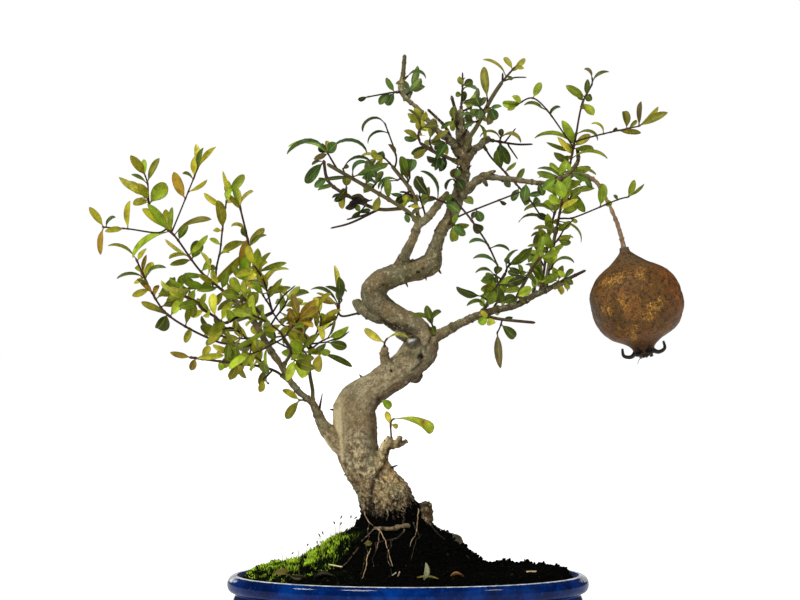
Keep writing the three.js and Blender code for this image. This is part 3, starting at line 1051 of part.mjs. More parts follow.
// The hole in the soil is the trunk's own foot, a little wider.
function footSolid() {
  const wider = (points, count, sides) => {
    const foot = points.slice(0, count).map((p) => [...p]);
    foot[0][2] -= 1;
    return solidOf(limb(foot, foot.map((p) => p[3] + 2 * FIT_GAP), sides));
  };
  return fuse([
    wider(TRUNK, 6, TRUNK_SIDES),
    wider(LIMBS.stump, 3, limbSides(LIMBS.stump)),
    wider(LIMBS.root_stump, 4, limbSides(LIMBS.root_stump)),
  ]);
}

// ---------------------------------------------------------------- fruit
// Distance down the fruit and its radius there, from the neck to the mouth of the crown.
const FRUIT_PROFILE = [[0, 2.4], [2, 4], [8, 11], [13, 18.8], [18.5, 23.8], [25, 26.7],
  [34, 27.5], [41.5, 26], [47.5, 22.9], [51.8, 18.5], [55, 11.6], [58.5, 7.2], [62.5, 5.8]];

function fruitSolid() {
  const lean = radians(FRUIT_LEAN);
  const down = new THREE.Vector3(Math.sin(lean), 0, -Math.cos(lean));
  const right = new THREE.Vector3(Math.cos(lean), 0, Math.sin(lean));
  const top = vec(FRUIT_TOP).addScaledVector(down, TIP_GAP);
  const swell = (drop) => Math.sin(Math.PI * Math.min(drop / 56, 1));
  const fruitRing = ([drop, radius]) => Array.from({ length: FRUIT_SIDES }, (unused, k) => {
    const turn = 2 * Math.PI * k / FRUIT_SIDES;
    const r = radius * (1 + 0.018 * swell(drop) * Math.cos(5 * turn + 0.6));
    return top.clone().addScaledVector(down, drop)
      .addScaledVector(right, 1.6 * swell(drop * drop / 64) + r * Math.cos(turn))
      .addScaledVector(FRONT, r * Math.sin(turn)).toArray();
  });
  const rings = FRUIT_PROFILE.map(fruitRing);
  const body = solidOf(loft(rings));
  const mouth = top.clone().addScaledVector(down, 61.4);
  const cup = limb(
    [mouth.toArray(), mouth.clone().addScaledVector(down, 2.6).toArray()], [3.6, 4.8], 10);
  const solids = [body.subtract(solidOf(cup))];
  for (let k = 0; k < SEPAL_COUNT; k += 1) {
    const turn = 2 * Math.PI * (k + 0.08) / SEPAL_COUNT;
    const out = right.clone().multiplyScalar(Math.cos(turn)).addScaledVector(FRONT, Math.sin(turn));
    const curl = k % 3 === 0 ? 1 : 0.55;
    const places = [[4.6, -1.8], [6, 0.6], [8.6, 1.9 * curl], [11.3 * curl + 1, 0.4],
      [11.6 * curl + 0.8, -4]];
    const points = places.map(([reach, drop]) =>
      mouth.clone().addScaledVector(out, reach).addScaledVector(down, drop).toArray());
    solids.push(solidOf(limb(points, [1.5, 1.4, 1.2, 0.9, 0.5], TWIG_SIDES)));
  }
  return fuse(solids);
}

// ---------------------------------------------------------------- fallen leaves
function fallenLeafSolid([x, y, heading, length, width, roll], topAt) {
  const turn = radians(heading);
  const ends = [0, 1].map((s) => {
    const px = x + s * length * Math.cos(turn);
    const py = y + s * length * Math.sin(turn);
    return new THREE.Vector3(px, py, topAt(px, py));
  });
  const along = ends[1].clone().sub(ends[0]).normalize();
  const face = faceOf(along, UP, roll);
  const leaf = { base: ends[0], along, face, length, width, arch: radians(24) };
  // It is set down until its lowest corner, or the middle of an edge, is just clear of the soil.
  const corners = geometryOfSolid(leafSolid(leaf)).attributes.position;
  const points = Array.from({ length: corners.count }, (unused, i) =>
    new THREE.Vector3().fromBufferAttribute(corners, i));
  const middles = points.flatMap((p) => points.map((q) => p.clone().lerp(q, 0.5)));
  const lift = Math.max(...middles.map((p) => topAt(p.x, p.y) + FIT_GAP - p.z));
  leaf.base = ends[0].clone().addScaledVector(UP, lift);
  return leafSolid(leaf);
}

// ---------------------------------------------------------------- assembly
const COLOURS = {
  glaze: [0x1a35a0, 0.18, 0], bark: [0x8d8267, 0.85, 0], soil: [0x0e0d0a, 0.95, 0],
  moss: [0x5f8f1c, 0.95, 0], rind: [0x6e5230, 0.6, 0], leaf: [0x6d8f22, 0.5, 0],
  crown_leaf: [0x3c6f3a, 0.5, 0], dry_leaf: [0x8a7a35, 0.7, 0],
};

const bonsai = new THREE.Group();

function addPiece(name, solid, colour) {
  const [color, roughness, metalness] = COLOURS[colour];
  const material = new THREE.MeshStandardMaterial({ color, roughness, metalness });
  const mesh = new THREE.Mesh(geometryOfSolid(solid), material);
  mesh.name = name;
  bonsai.add(mesh);
  return mesh;
}

const fullSoil = new THREE.Mesh(
  geometryOfSolid(soilSolid()), new THREE.MeshBasicMaterial({ side: THREE.DoubleSide }));
const topAt = soilTopFinder(fullSoil);

registerWood();
const grownLeaves = growLeaves();

addPiece("pot", potSolid(), "glaze");
addPiece("soil", soilSolid().subtract(footSolid()), "soil");
addPiece("moss", mossSolid(), "moss");
addPiece("trunk", trunkSolid(topAt), "bark");
addPiece("fruit", fruitSolid(), "rind");
FALLEN_LEAVES.forEach((leaf, i) => {
  addPiece(`fallen_leaf_${i + 1}`, fallenLeafSolid(leaf, topAt), "dry_leaf");
});
Object.keys(SPRAYS).forEach((name) => {
  const high = SPRAYS[name][1][0].path[0][2] > 275;
  addPiece(`spray_${name}`, spraySolid(name, grownLeaves[name]), high ? "crown_leaf" : "leaf");
});

export default bonsai;
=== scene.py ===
# A dwarf pomegranate bonsai in a glazed pot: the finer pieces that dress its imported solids.
# The lists and sizes below are in millimetres, and a mesh is turned into metres when it is made.
import math

import bpy
import numpy as np
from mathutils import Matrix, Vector, noise


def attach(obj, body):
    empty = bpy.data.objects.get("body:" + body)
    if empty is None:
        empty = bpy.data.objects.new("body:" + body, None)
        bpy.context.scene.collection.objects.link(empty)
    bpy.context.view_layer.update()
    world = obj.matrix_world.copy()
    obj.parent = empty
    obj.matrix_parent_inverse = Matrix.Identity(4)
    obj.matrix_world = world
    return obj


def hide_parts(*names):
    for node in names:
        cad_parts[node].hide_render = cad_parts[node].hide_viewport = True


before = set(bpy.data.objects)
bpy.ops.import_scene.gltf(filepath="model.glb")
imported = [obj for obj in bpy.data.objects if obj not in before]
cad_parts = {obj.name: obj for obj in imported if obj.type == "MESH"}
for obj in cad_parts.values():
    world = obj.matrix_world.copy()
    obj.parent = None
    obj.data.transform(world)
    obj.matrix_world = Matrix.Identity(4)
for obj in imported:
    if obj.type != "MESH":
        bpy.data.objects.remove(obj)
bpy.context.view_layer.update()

MM = 0.001
UP = np.array([0.0, 0.0, 1.0])
FRONT = np.array([0.0, -1.0, 0.0])

# ---------------------------------------------------------------- sizes shared with the solids
POT_LENGTH = 217
POT_DEPTH = 152
OVAL = POT_DEPTH / POT_LENGTH
SOIL_EDGE = 68
SOIL_BANK = 4.5
MOUND_HEIGHT = 24
MOUND_REACH = 47
MOUND_X = -8
MOUND_DEPTH_SHARE = 0.85
FOOT_HEIGHT = 13
FOOT_REACH = 22
SOIL_LUMP = 0.9
WALL_RADIUS = 99.5  # of the pot's opening on its long axis
TIP_GAP = 0.3
TWIG_TAPER = 0.75
STRAIGHT_ENOUGH = 0.85
STALK_HALF_WIDTH = 0.4
LEAF_CLEARANCE = 1.75
WOOD_CLEARANCE = 1.0
LEAF_FLOOR = 76  # leaves of the sprays stay above this height
OWN_WOOD_REACH = 4.5  # this close to its root a leaf may touch its own shoot
EDGE_TILT, EDGE_WIDTH, LEAST_SHORTENING = 60, 3.6, 0.78  # leaves that curl edge on
# Turns and leans in degrees that are added in this order until a leaf has room.
TRIED_TURNS = (0, 25, -25)
TRIED_LEANS = (0, 16, -16, 32, -32, 48, -48, 64, -64)
PAIR_LENGTH = 12
PAIR_WIDTH = 5
LEAF_SEED = 20
FRUIT_TOP = [128.6, -14, 264.4]
FRUIT_LEAN = 11
SEPAL_COUNT = 6


def without_straight_points(path):
    """A path without the points that hardly bend it."""
    kept = [path[0]]
    for i in range(1, len(path) - 1):
        start = np.array(kept[-1], float)
        run = np.array(path[i + 1]) - start
        here = np.array(path[i]) - start
        share = here.dot(run) / run.dot(run)
        if np.linalg.norm(here - share * run) > STRAIGHT_ENOUGH:
            kept.append(path[i])
    return [*kept, path[-1]]


def twig(path, radius, leaves=(), pairs=0, tone="green"):
    return {"path": without_straight_points(path), "radius": radius, "leaves": leaves,
            "pairs": pairs, "tone": tone}


# ---------------------------------------------------------------- the trunk's wood
# Each point of the trunk and of a limb is [x, y, z, radius].
TRUNK = [
    [-8, 0, 86, 14], [-9, 0, 100, 16.5], [-11, 0, 107, 16.5], [-14, 0, 116, 15.6],
    [-22, -1, 128, 12.6], [-28, -2, 137, 12], [-31, -2, 147, 12.6], [-31.5, -2, 159, 13],
    [-31.5, -2, 170, 12.8], [-25, -2, 178, 10.4], [-18, 0, 183, 9.2], [-8, 3, 190, 9.4],
    [0, 5, 196, 9.6], [7, 7, 204, 10.8], [8, 8, 211, 9.6], [3, 9, 218, 7.8], [-8, 11, 224, 7.6],
    [-17, 12, 231, 7.4], [-21, 11, 239, 7.8], [-17, 9, 245, 7.3], [-10, 7, 248.5, 6.8],
    [-2, 5, 251, 6.8], [7, 3, 253, 6.4], [14, 2, 257, 6.7], [16, 1, 264, 4.4], [18, 0, 270, 3.8],
    [20, -1, 276, 3.8], [25, -2, 283, 4], [28, -2, 291, 4.3], [31, -1, 300, 4.1],
    [33, 0, 309, 4], [34, 1, 315, 3.2], [34, 1, 320, 4.2], [33, 1, 325, 3.4],
]
LIMBS = {
    "stump": [[-6, -2, 104, 11], [-10, -4, 121, 8.4], [-13.5, -6, 132, 4.6], [-15, -7, 140, 3.4],
        [-13, -8, 147, 3.4], [-10, -8, 151, 3.2]],
    "stump_twig_left": [[-11, -8, 147, 1.8], [-14, -9, 151, 1.4]],
    "stump_twig_middle": [[-10, -8, 148, 2.2], [-6, -9, 150, 2], [-5, -9, 153, 1.8]],
    "stump_twig_right": [[-10, -8, 147, 2], [-5, -7, 148, 1.8], [-1, -6, 150, 1.7]],
    "root_stump": [[2, -4, 86, 6], [10, -6, 99, 4.6], [11, -6, 107, 3.8], [11, -6, 113, 3.2]],
    "knob_upper": [[-12, -2, 194, 4.6], [-14, -5, 200, 2.9], [-14, -7, 206, 2.4]],
    "knob_under": [[-3, 8, 194, 6], [4, 11, 189, 4.8], [7, 12, 187, 3.6]],
    "cut_face": [[7, 6, 212, 6], [3, -2, 210, 3.4], [2, -5, 209, 3]],
    "turn_lump": [[5, 8, 215, 6], [-2, 4, 214, 4.5], [-6, 2, 215, 3.4]],
    "left_limb": [[-37, -3, 147, 8], [-45, -5, 153, 5.4], [-51, -7, 160, 3.6], [-54, -9, 167, 2.7],
        [-57, -11, 173, 2.3], [-64, -14, 179, 2], [-70, -16, 186, 2], [-75, -18, 195, 2],
        [-83, -20, 207, 2.1], [-89, -21, 218, 1.9], [-95, -22, 227, 1.7], [-101, -23, 233, 1.5],
        [-106, -24, 237, 1.2]],
    "bend_limb": [[-16, 12, 224, 5], [-24, 14, 227, 4], [-30, 16, 231, 3.2], [-31, 17, 234, 2.8]],
    "upper_left": [[-5, 5, 254, 4.6], [-2, 0, 261, 3.2], [1, -3, 267, 3], [4, -4, 273, 2.6],
        [6, -5, 279, 2.6], [11, -6, 283, 2.5], [17, -7, 290, 2.4], [24, -9, 299, 1.4]],
    "head_left": [[32, 1, 321, 3.4], [25, -4, 330, 2.6], [18, -8, 335, 2.2], [11, -12, 342, 2],
        [5, -15, 349, 1.9], [-2, -17, 355, 1.9], [-4, -18, 360, 2.2], [-3, -18, 368, 1.4],
        [-2, -18, 380, 1.2]],
    "head_thin": [[29, 1, 323, 1.6], [23, 8, 338, 1], [18, 13, 344, 0.9], [12, 17, 350, 0.8]],
    "head_middle": [[32, 1, 323, 3.2], [31, 4, 332, 2.4], [31, 7, 340, 2.2], [32, 9, 349, 1.8]],
    "head_middle_stub": [[30, 6, 342, 1.4], [28, 2, 350, 1], [26, 0, 357, 0.9]],
    "head_back": [[34, 1, 323, 3], [36, 10, 331, 2.6], [35, 16, 336, 2.2]],
    "head_low_right": [[35, 1, 320, 3.2], [40, 4, 325, 2.5], [45, 7, 329, 2.4], [49, 9, 332, 2.2]],
    "fruit_limb": [[29, -2, 293, 3.6], [33, -6, 299, 3.2], [39, -9, 304, 2.6], [46, -12, 308, 2.4],
        [53, -15, 307, 2], [62, -18, 306, 1.9], [75, -20, 304, 1.8], [85, -18, 304, 1.8],
        [94, -15, 308, 1.9], [102, -13, 309, 1.9], [109, -12, 307, 1.9], [114, -12, 302, 1.9],
        [119, -12, 293, 1.8], [124, -13, 281, 1.9], [127, -14, 271, 2], [128.3, -14, 264.7, 2.4]],
    "fruit_limb_knot": [[46, -12, 308, 1.8], [49, -15, 310, 1.4], [52, -17, 311, 0.8]],
    "fruit_limb_stub": [[45, -12, 306, 1.4], [47, -16, 302, 1]],
    "fruit_back": [[94, -15, 308, 1.5], [102, 0, 318, 1.2], [102, 6, 326, 1.1]],
    "right_limb": [[6, 7, 210, 6], [15, 4, 212, 4], [25, 0, 217, 3], [37, -4, 223, 2.6],
        [51, -8, 228, 2.3], [63, -11, 231, 2.3], [73, -14, 236, 2.2], [81, -16, 240, 2.2],
        [88, -18, 243, 1.9], [95, -20, 247, 1.2], [105, -23, 252, 0.8]],
}
# Short thorns and cut spurs: [root x, y, z], [tip x, y, z], radius at the root
THORNS = [
    [[-3, 4, 249], [0, 2, 242], 1.3], [[10, 2, 252], [11, 1, 246], 1.3],
    [[16, 2, 256], [20, 1, 250], 1.6], [[-24, -2, 159], [-19, -4, 159], 1.3],
    [[-41, -2, 168], [-47, -3, 169], 1.3], [[-13, -7, 133], [-6, -9, 136], 1.2],
    [[-53, -8, 169], [-51, -11, 179], 0.9],
]
# Surface roots, as [x, y, radius]: they lie on the mound from the trunk's foot outwards.
ROOTS = [
    [[-2, -10, 3], [-3, -22, 2.2], [-9, -27, 1.9], [-19, -28, 1.9]],
    [[-19, -28, 1.9], [-20, -36, 1], [-21, -44, 0.8]],
    [[-9, -27, 1.9], [-12, -36, 1], [-10, -45, 0.9], [-9, -52, 0.8]],
    [[-22, -8, 1.8], [-24, -22, 1.2], [-25, -36, 1], [-27, -47, 0.9], [-28, -56, 0.8]],
    [[-1, -8, 2.4], [6, -20, 1.5], [3, -32, 1.1], [1, -38, 0.9]],
    [[9, -6, 2.4], [20, -12, 1.5], [30, -14, 1.1], [37, -16, 0.9]],
    [[-14, 6, 2.4], [-22, 24, 1.7], [-24, 38, 1.1]],
    [[-4, 8, 2.6], [5, 25, 1.8], [14, 38, 1.2]],
    [[-1, 4, 2.6], [12, 11, 2], [22, 16, 1.5], [33, 20, 1]],
]

# ---------------------------------------------------------------- leafy sprays
# A twig is a path of [x, y, z], the radius at its root, its leaves and a number of leaf
# pairs that the rule sets along it. A leaf is [place along the twig in percent, heading in
# the front view in degrees, length, width, and the turn of its arch where it curls edge on].

# Each spray grows on from a stub on the trunk. The number is the stub's length.
SPRAYS = {
    "left_tip": [3, [
        twig([[-106, -24, 237], [-109, -25, 239], [-115, -27, 245], [-122, -29, 251], [-127, -31, 257],
            [-133, -33, 266], [-138, -34, 273], [-142, -34, 276]], 1, [[57, 195, 12, 3.5],
            [56, 70, 11, 7, "f"], [63, 45, 15, 3.5, "f"], [30, 105, 15, 2.5, -60, "y"],
            [96, 214, 26, 6.5, -60, "f"], [98, 140, 18, 5.5], [92, 110, 14, 5.5], [94, 88, 14, 3.5, "f"],
            [90, 22, 23, 5.5, 60], [82, 60, 10, 5, "f"], [59, 145, 18, 2.5, "y"], [34, 175, 11, 3.5, "f"],
            [22, 150, 9, 3.5], [99, 126, 17, 5, "f"], [10, 75, 11, 4.5, "f"], [15, 110, 10, 4, "y"],
            [8, 235, 10, 4], [14, 188, 12, 3.5, "f"], [40, 55, 9, 3.5, "f"]], 2, tone="olive"),
        twig([[-142, -34, 276], [-146, -35, 274], [-155, -38, 275], [-164, -41, 276], [-179, -44, 277]],
            0.8, [[97, 125, 13, 4], [60, 85, 15, 5], [66, 190, 10, 3.5], [98, 265, 15, 3.5, "b"],
            [94, 45, 8, 2.5, 60, "d"]], tone="olive"),
        twig([[-141, -34, 275], [-144, -33, 278], [-150, -30, 286], [-153, -27, 292], [-154, -23, 303],
            [-156, -21, 309]], 0.8, [[100, 125, 13, 5], [98, 95, 9, 3.5, "f"], [86, 65, 15, 4],
            [84, 150, 10, 2.5, -30, "d"], [57, 135, 15, 4], [66, 148, 17, 4.5, "y"], [60, 122, 11, 5],
            [53, 50, 14, 8.5, "f"], [54, 180, 9, 5], [62, 141, 18, 4.5, "y"], [57, 178, 9, 3.5, "y"]],
            tone="olive"),
        twig([[-139, -34, 274], [-137, -37, 278], [-132, -42, 292], [-129, -44, 297], [-125, -47, 306],
            [-122, -49, 312]], 0.8, [[51, 112, 16, 5.5, "b"], [62, 35, 12, 3], [84, 85, 12, 4.5],
            [99, 95, 13, 3.5, "y"], [98, 72, 11, 3.5, "d"], [100, 48, 15, 3.5],
            [81, 150, 7, 2.5, -60, "d"]], tone="olive"),
        twig([[-115, -27, 245], [-116, -24, 242], [-124, -16, 242], [-133, -8, 241], [-138, -4, 239]],
            0.8, [[69, 105, 9, 5, "f"], [74, 150, 11, 4, "f"], [89, 215, 10, 4], [69, 275, 9, 4],
            [30, 165, 11, 4.5, "f"], [45, 30, 9, 4, "f"], [92, 80, 9, 4.5], [96, 120, 9, 4],
            [98, 185, 11, 3.5], [55, 245, 10, 4, "f"]], 2, tone="green"),
        twig([[-110, -25, 240], [-113, -22, 243], [-114, -16, 252], [-112, -10, 264], [-111, -6, 276],
            [-109, -4, 288], [-108, -3, 299]], 0.9, [[66, 100, 16, 6], [64, 180, 5, 3],
            [100, 50, 14, 5, "f"], [97, 85, 8, 4, "f"], [100, 98, 14, 2.5, "y"], [85, 145, 15, 3.5],
            [27, 180, 4, 3.5, "f"], [40, 15, 6, 2.5, 60], [92, 60, 10, 4, "f"], [50, 150, 7, 3, "f"]],
            tone="olive"),
    ]],
    "left_inner": [3.5, [
        twig([[-95, -22, 226], [-101, -30, 224], [-108, -36, 221], [-114, -36, 225], [-120, -42, 229],
            [-123, -45, 233], [-131, -48, 237]], 1.2, [[80, 190, 11, 5.5, "f"], [95, 160, 10, 3.5],
            [68, 205, 8, 3.5, "y"], [74, 70, 8, 3], [50, 95, 13, 5.5, "y"], [58, 130, 11, 4.5, "f"],
            [42, 60, 12, 5], [30, 100, 11, 5, "f"], [35, 215, 12, 5], [98, 235, 11, 5, "f"],
            [92, 150, 12, 4.5, "y"], [86, 265, 9, 4.5]], 2, tone="green"),
    ]],
    "left_rising": [4, [
        twig([[-99, -23, 233], [-98, -17, 236], [-96, -8, 249], [-95, 0, 261], [-98, 4, 271],
            [-100, 9, 284], [-102, 12, 293]], 1, [[99, 105, 11, 4, "f"], [97, 95, 10, 2.5, "y"],
            [94, 130, 11, 3], [68, 110, 6, 3, "d"], [74, 160, 9, 2.5, -95], [59, 50, 14, 5],
            [56, 40, 14, 2.5, 70, "d"], [65, 205, 15, 5.5], [58, 225, 27, 5.5], [28, 90, 21, 7, "b"],
            [23, 78, 18, 6.5, "f"], [20, 50, 10, 5, "y"], [25, 130, 12, 4.5, "f"]], 1, tone="olive"),
    ]],
    "left_rise": [4, [
        twig([[-89, -21, 218], [-86, -12, 224], [-81, -4, 227]], 1.4, tone="olive"),
        twig([[-81, -4, 227], [-83, 0, 231], [-88, 5, 239], [-90, 8, 246], [-91, 10, 252]], 0.9,
            [[98, 18, 17, 3.5], [68, 30, 20, 3, 90], [48, 15, 16, 3.5], [32, 55, 15, 3.5],
            [78, 92, 18, 6, "f"], [60, 150, 12, 4.5, "y"], [45, 120, 12, 4.5, "f"]], 1, tone="green"),
        twig([[-86, -12, 224], [-88, -18, 227], [-93, -30, 232], [-98, -40, 238]], 0.9, [], 5,
            tone="green"),
        twig([[-81, -4, 227], [-74, -12, 237], [-67, -16, 243]], 0.8, tone="olive"),
        twig([[-81, -4, 227], [-83, -12, 237], [-86, -21, 247], [-91, -28, 255]], 0.9, [], 5,
            tone="olive"),
        twig([[-81, -4, 227], [-77, -14, 222], [-73, -24, 219], [-70, -31, 219]], 0.8,
            [[98, 20, 12, 4.5, "f"], [60, 200, 11, 4.5]], 2, tone="olive"),
        twig([[-86, -12, 224], [-91, -6, 230], [-97, 0, 234], [-104, 5, 236]], 0.8, [], 3, tone="olive"),
    ]],
    "left_front": [4.5, [
        twig([[-74, -18, 195], [-69, -32, 204], [-73, -42, 212]], 1.3, tone="olive"),
        twig([[-73, -42, 212], [-74, -45, 215], [-83, -50, 222], [-91, -54, 226]], 0.9,
            [[46, 210, 26, 4.5, "f"]], 4, tone="green"),
        twig([[-73, -42, 212], [-71, -44, 215], [-66, -50, 220], [-63, -54, 224]], 0.9,
            [[100, 105, 14, 4.5, "b"], [98, 45, 14, 4.5, "b"]], 4, tone="bronze"),
        twig([[-73, -42, 212], [-79, -50, 209], [-86, -58, 205], [-92, -63, 203]], 0.8,
            [[98, 215, 14, 5, "f"]], 3, tone="green"),
        twig([[-69, -32, 204], [-67, -38, 201], [-66, -44, 199]], 0.8, [[90, 250, 12, 5, "f"],
            [70, 0, 11, 4.5]], 1, tone="green"),
    ]],
    "left_back": [4.5, [
        twig([[-83, -20, 207], [-80, -6, 212], [-83, 10, 219]], 1.4, tone="olive"),
        twig([[-83, 10, 219], [-86, 15, 222], [-95, 28, 227], [-103, 40, 231]], 0.9, [], 4, tone="green"),
        twig([[-83, 10, 219], [-80, 14, 224], [-75, 24, 231], [-73, 32, 237]], 0.9, [], 4, tone="green"),
        twig([[-83, 10, 219], [-89, 17, 214], [-97, 26, 211], [-103, 31, 211]], 0.9, [[95, 190, 12, 5]],
            3, tone="olive"),
        twig([[-80, -6, 212], [-74, 2, 213], [-68, 12, 214]], 0.8, [[95, 40, 12, 4.5, "f"]], 2,
            tone="olive"),
    ]],
    "left_side": [4.5, [
        twig([[-84, -20, 208], [-93, -14, 207], [-102, -8, 208]], 1.4, tone="olive"),
        twig([[-102, -8, 208], [-105, -4, 209], [-112, 4, 213], [-118, 10, 216]], 0.9,
            [[55, 155, 14, 6], [38, 125, 14, 3.5]], 2, tone="green"),
        twig([[-93, -14, 207], [-96, -20, 207], [-101, -28, 205], [-106, -34, 202]], 0.9,
            [[72, 285, 7, 6, "f"], [98, 245, 8, 5, "f"], [52, 190, 13, 3.5, "y"],
            [87, 155, 11, 3.5, "y"]], 2, tone="green"),
        twig([[-93, -14, 207], [-97, -24, 213], [-104, -31, 218], [-109, -36, 217]], 0.9, [], 4,
            tone="olive"),
        twig([[-102, -8, 208], [-113, -2, 209], [-126, 2, 216], [-144, 6, 225], [-149, 8, 230],
            [-153, 10, 236], [-158, 12, 246], [-162, 14, 254], [-165, 15, 260]], 1,
            [[55, 235, 10, 8.5, "d"], [58, 160, 14, 4], [54, 160, 17, 2.5, "d"], [73, 135, 10, 3.5, "b"],
            [84, 180, 17, 2.5, -80, "d"], [88, 140, 8, 3], [84, 65, 10, 4.5], [83, 30, 15, 2.5, 95, "d"],
            [70, 75, 7, 3.5, "b"], [68, 50, 16, 5, "f"], [62, 20, 12, 5], [100, 155, 19, 3, -80],
            [97, 55, 9, 3.5], [89, 75, 10, 2.5, "b"], [86, 215, 7, 2.5, "y"], [82, 110, 10, 3.5, "y"],
            [76, 200, 11, 4], [52, 60, 12, 4, "f"], [40, 75, 12, 4.5], [36, 250, 9, 4], [80, 150, 12, 3]],
            tone="olive"),
        twig([[-93, -14, 207], [-95, -7, 201], [-99, 0, 197], [-102, 4, 196]], 0.8,
            [[95, 235, 10, 5, "f"], [60, 160, 11, 4.5]], 2, tone="olive"),
    ]],
    "left_low": [7.5, [
        twig([[-70, -16, 186], [-78, -22, 192], [-86, -27, 195], [-100, -35, 197], [-115, -40, 199],
            [-128, -44, 201]], 1.2, [[100, 165, 11, 3.5, "b"], [94, 250, 7, 4, "b"], [95, 5, 16, 3.5],
            [55, 240, 10, 4], [72, 270, 5, 4, "f"], [56, 100, 9, 5.5, "f"], [88, 60, 8, 4],
            [66, 85, 10, 4.5, "f"], [35, 95, 12, 5, "f"], [28, 250, 10, 4]], tone="olive"),
        twig([[-80, -24, 193], [-82, -26, 191], [-86, -29, 187]], 0.8, [[93, 255, 7, 4],
            [50, 75, 11, 6, "f"], [44, 270, 11, 2.5, -50, "d"]], tone="olive"),
        twig([[-83, -25, 194], [-86, -34, 198], [-92, -43, 203]], 0.8, [], 3, tone="olive"),
    ]],
    "left_underleaves": [3.5, [
        twig([[-60, -12, 175], [-62, -16, 175], [-65, -19, 175]], 0.8, [[86, 150, 11, 4],
            [95, 235, 13, 5]], tone="olive"),
    ]],
    "left_fork": [4.5, [
        twig([[-57, -11, 172], [-57, -6, 180], [-59, 0, 191], [-59, 4, 200], [-59, 7, 207]], 1.5,
            tone="olive"),
        twig([[-59, 7, 207], [-60, 6, 210], [-63, 2, 216], [-65, -3, 223]], 0.9, [], 4, tone="olive"),
        twig([[-59, 7, 207], [-55, -1, 214], [-52, -9, 222], [-54, -15, 230]], 0.9, [], 4, tone="olive"),
        twig([[-59, 7, 207], [-57, 10, 210], [-52, 16, 216], [-45, 22, 221], [-42, 25, 228],
            [-42, 26, 233]], 0.9, [[99, 90, 15, 6, "d"], [98, 97, 22, 3.5, "y"], [97, 165, 14, 3.5, "b"],
            [94, 150, 20, 2.5, -80, "d"], [96, 125, 17, 2.5, -95, "d"], [97, 60, 17, 2.5, 90, "d"],
            [35, 60, 14, 4.5, "y"], [56, 125, 8, 3.5, "f"]], tone="olive"),
        twig([[-59, 7, 207], [-57, 12, 205], [-55, 18, 203], [-52, 22, 202]], 0.9,
            [[98, 335, 19, 3.5, "d"], [87, 265, 11, 6.5, "y"], [75, 0, 7, 4, "f"], [54, 35, 9, 3.5, "f"]],
            tone="green"),
        twig([[-59, 3, 199], [-61, -2, 202], [-62, -8, 204], [-63, -12, 205]], 0.9,
            [[82, 268, 15, 8.5, "f"], [83, 185, 12, 5, "f"], [90, 145, 10, 5.5, "f"]], 2, tone="green"),
        twig([[-59, 6, 204], [-61, 12, 206], [-64, 22, 209], [-68, 30, 210]], 0.9, [], 3, tone="green"),
        twig([[-58, 8, 208], [-53, 14, 209], [-48, 18, 209]], 0.8, [[95, 345, 11, 5.5, "d"],
            [84, 25, 14, 2.5, "d"]], tone="dark"),
        twig([[-59, 3, 199], [-66, -5, 203], [-74, -13, 207], [-79, -18, 210]], 0.8,
            [[98, 150, 12, 5, "f"]], 3, tone="olive"),
        twig([[-59, 6, 204], [-53, 2, 209], [-47, -2, 212]], 0.8, [[98, 30, 13, 4.5, "f"],
            [70, 110, 11, 4, "y"]], 1, tone="olive"),
    ]],
    "bend": [6, [
        twig([[-25, 14, 227], [-35, 18, 225], [-41, 20, 225], [-42, 20, 228], [-43, 18, 232]], 1, [], 2,
            tone="olive"),
    ]],
    "knob_leaf": [1.5, [
        twig([[-14, -7, 206], [-14, -8, 209], [-12, -8, 212]], 0.8, [[37, 145, 15, 6, "y"],
            [80, 5, 14, 2.5, 85]], tone="yellow"),
    ]],
    "trunk_leaf": [8, [
        twig([[-20, -2, 176], [-17, -9, 176], [-16, -12, 175]], 0.8, [[97, 320, 8, 5, "f"]],
            tone="green"),
    ]],
    "stump_leaves": [2.5, [
        twig([[-10, -8, 150], [-10, -9, 154], [-10, -9, 158], [-10, -10, 162], [-8, -10, 164]], 0.8,
            [[98, 342, 24, 8.5, 75, "f"], [65, 110, 8, 3.5, "y"], [69, 335, 4, 3, "y"]], tone="yellow"),
    ]],
    "crown_left": [5, [
        twig([[7, -5, 280], [0, -8, 287], [-11, -11, 293], [-22, -14, 300], [-32, -17, 305],
            [-40, -19, 310], [-48, -21, 315]], 1.7, [[60, 80, 12, 4.5, "d"], [45, 250, 10, 4.5],
            [35, 95, 14, 4.5, "f"]], tone="olive"),
        twig([[-41, -19, 310], [-43, -20, 314], [-46, -22, 318], [-48, -23, 322]], 0.9,
            [[100, 170, 26, 4, -85, "f"], [98, 183, 28, 4.5, -115, "d"], [100, 135, 7, 5.5, "d"],
            [99, 45, 8, 6.5, "d"], [98, 95, 9, 3, "y"], [94, 205, 9, 3.5, "b"],
            [100, 0, 30, 2.5, 140, "d"]], tone="dark"),
        twig([[-37, -18, 308], [-38, -14, 311], [-39, -12, 313]], 0.8, [[98, 10, 22, 2.5, 130, "d"],
            [89, 35, 4, 2.5, "b"]], tone="dark"),
        twig([[-32, -17, 305], [-33, -22, 307], [-33, -25, 309]], 0.8, [[85, 35, 14, 4, 130, "d"],
            [54, 20, 22, 5], [54, 185, 19, 2.5]], tone="dark"),
        twig([[-22, -14, 300], [-20, -6, 303], [-19, 4, 305], [-19, 10, 308]], 0.8, [], 3, tone="dark"),
        twig([[2, -7, 285], [-1, -12, 286], [-2, -15, 286]], 0.8, [[92, 290, 6, 3.5, "d"]], tone="dark"),
        twig([[-3, -9, 289], [-12, -3, 289], [-18, 0, 289], [-25, 3, 292], [-34, 6, 296], [-42, 8, 301],
            [-45, 9, 303], [-48, 10, 306], [-50, 11, 313], [-51, 11, 319]], 1.4, [[84, 218, 10, 4.5, "d"],
